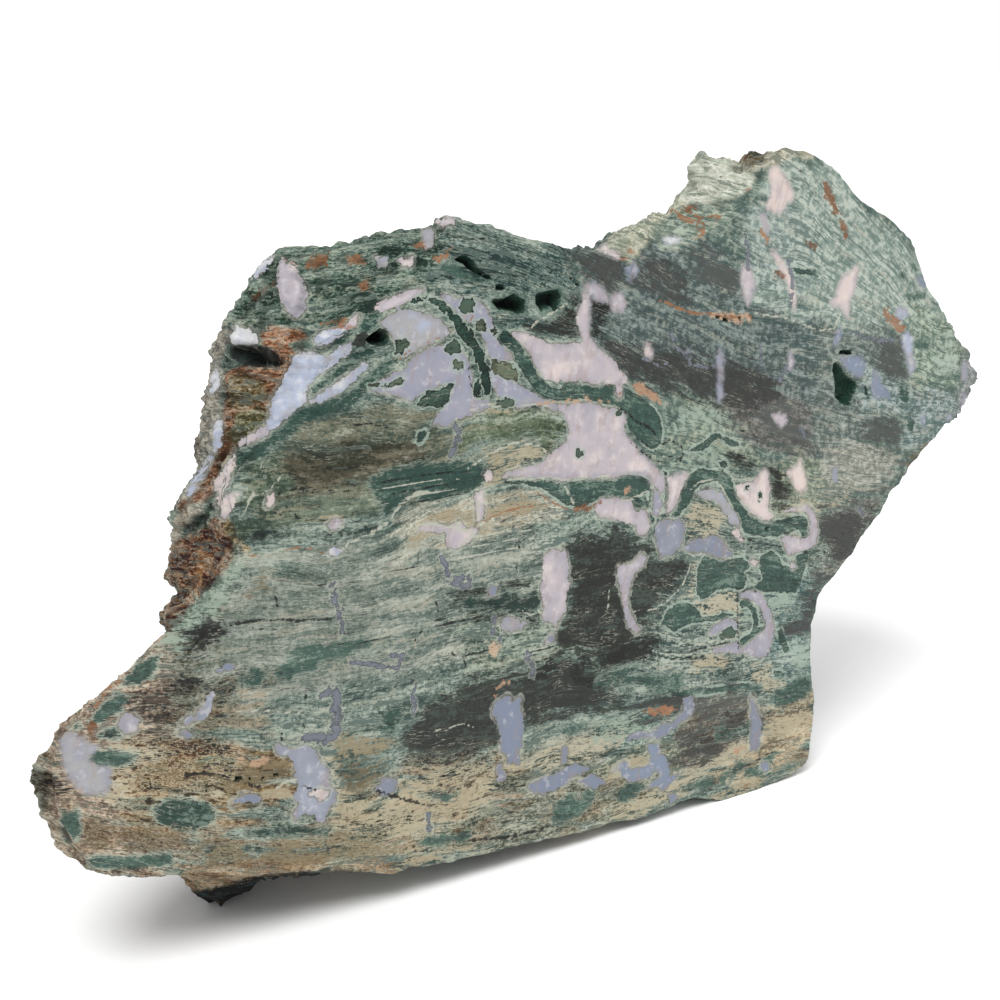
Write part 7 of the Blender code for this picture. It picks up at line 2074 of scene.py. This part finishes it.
    def depth_shade(self, colour):
        """Painted shade: black in the deep recesses of the broken surfaces, and the hollows of the face darker
        with depth.
        """
        value, tint = self.mark("black", (self.edge, 1.5))
        colour = self.lay(colour, DEEP_SHADE_TINT, 0.9, (value, -0.3, 0.2), tint)
        uneven = self.sum((self.hole, 1.0), (self.edge, 2.5), (self.fibre, 1.5))
        depth = self.math("MULTIPLY", uneven, self.step(self.hole, 0.0, 0.25))
        colour = self.lay(colour, HOLLOW_SHADE_TINT, 0.85, (depth, 0.1, 0.5))
        return self.lay(colour, DEEP_SHADE_TINT, 0.9, (depth, 1.3, 3.0))

    def broken(self, colour, glassy):
        """Painted highlight on the high spots and painted shade in the dips of the broken surfaces; also
        returns their share.
        """
        stony = self.math("SUBTRACT", self.math("SUBTRACT", 1.0, self.polish), self.share(0.85, glassy))
        stony = self.math("MAXIMUM", stony, 0.0)
        # Painted highlight on the high spots of the relief, then painted shade in its dips
        colour = self.lay(colour, self.pale_and_highlight, 0.3, (self.shading_relief, 0.02, 0.35), stony)
        return self.lay(colour, self.pits_and_shade, 0.75, (self.shading_relief, -0.05, -0.45), stony, self.calm), stony

    def finish(self, colour, stony):
        """Glossy on the polish and on the glassy veins, dull and grainy elsewhere."""
        rough = self.math("MAXIMUM", stony, self.step(self.hole, 0.02, 0.3))
        grainy = self.sum((self.grit, 1.0), (self.fibre, 0.8))
        relief = self.math("MULTIPLY", grainy, self.line(rough, 1.0 - POLISH_RELIEF, POLISH_RELIEF))
        bump = self.add("ShaderNodeBump", {"Strength": BUMP_STRENGTH, "Distance": BUMP_DISTANCE_M,
                                           "Height": relief})
        surface = self.add("ShaderNodeBsdfPrincipled", {
            "Base Color": colour, "Roughness": self.line(rough, ROUGH_GAIN, POLISH_ROUGHNESS),
            "Normal": bump.outputs[0], "Specular IOR Level": SPECULAR,
        })
        self.add("ShaderNodeOutputMaterial", {"Surface": surface.outputs[0]})


def stone_material():
    material = bpy.data.materials.new("petrified_wood_stone")
    material.use_nodes = True
    material.node_tree.nodes.clear()
    g = StoneGraph(material.node_tree)
    colour = g.ground()
    for layer in (g.porous_layers, g.patches, g.pores, g.teal):
        colour = layer(colour)
    colour, glassy = g.chalcedony(colour)
    colour = g.rust_and_bars(g.grey_lines(colour))
    colour = g.depth_shade(g.veins_and_cracks(colour, glassy))
    colour, stony = g.broken(colour, glassy)
    g.finish(colour, stony)
    return material


def plain_material(name, rgb, roughness):
    material = bpy.data.materials.new(name)
    material.use_nodes = True
    shader = material.node_tree.nodes["Principled BSDF"]
    shader.inputs["Base Color"].default_value = tuple(linear(rgb)) + (1.0,)
    shader.inputs["Roughness"].default_value = roughness
    return material


def make_floor():
    mesh = bpy.data.meshes.new("floor")
    h = FLOOR_HALF
    mesh.from_pydata([(-h, -h, 0), (h, -h, 0), (h, h, 0), (-h, h, 0)], [], [(0, 1, 2, 3)])
    mesh.materials.append(plain_material("pale_floor", FLOOR_TINT, FLOOR_ROUGHNESS))
    floor = bpy.data.objects.new("floor", mesh)
    bpy.context.scene.collection.objects.link(floor)
    return floor


def direction(elevation, azimuth):
    """Unit vector towards a light; azimuth 0 is in front of the stone, negative to its left."""
    e, a = math.radians(elevation), math.radians(azimuth)
    return Vector((math.sin(a) * math.cos(e), -math.cos(a) * math.cos(e), math.sin(e)))


def make_suns():
    for name, elevation, azimuth, softness, strength in SUNS:
        data = bpy.data.lights.new(name, "SUN")
        data.angle = math.radians(softness)
        data.energy = strength
        light = bpy.data.objects.new(name, data)
        towards = direction(elevation, azimuth)
        light.location = towards
        light.rotation_euler = towards.to_track_quat("Z", "Y").to_euler()
        bpy.context.scene.collection.objects.link(light)


def make_surroundings():
    """Pale light from all round, stronger near the horizon behind the stone."""
    world = bpy.data.worlds.new("studio")
    world.use_nodes = True
    g = Graph(world.node_tree)
    background = world.node_tree.nodes["Background"]
    coordinate = g.add("ShaderNodeTexCoord", {}).outputs["Generated"]
    _, backward, height = g.split(coordinate)
    behind = g.math("MULTIPLY", g.step(height, *HORIZON_HEIGHTS), g.step(backward, *BEHIND))
    g.put(background.inputs["Strength"], g.line(behind, HORIZON_LIGHT - OVERHEAD_LIGHT, OVERHEAD_LIGHT))
    background.inputs["Color"].default_value = (1.0, 1.0, 1.0, 1.0)
    bpy.context.scene.world = world


def make_camera():
    place, back = camera_place()
    data = bpy.data.cameras.new("camera")
    data.lens = CAMERA_LENS
    data.sensor_width = CAMERA_SENSOR
    data.clip_start = CAMERA_CLIP_START_M
    camera = bpy.data.objects.new("camera", data)
    camera.location = Vector(place) * MM
    camera.rotation_euler = Vector(back).to_track_quat("Z", "Y").to_euler()
    bpy.context.scene.collection.objects.link(camera)
    bpy.context.scene.camera = camera


make_camera()
make_suns()
make_surroundings()
make_floor()
bpy.context.scene.view_settings.view_transform = "Standard"
slab = make_slab()
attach(slab, "root")
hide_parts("slab")
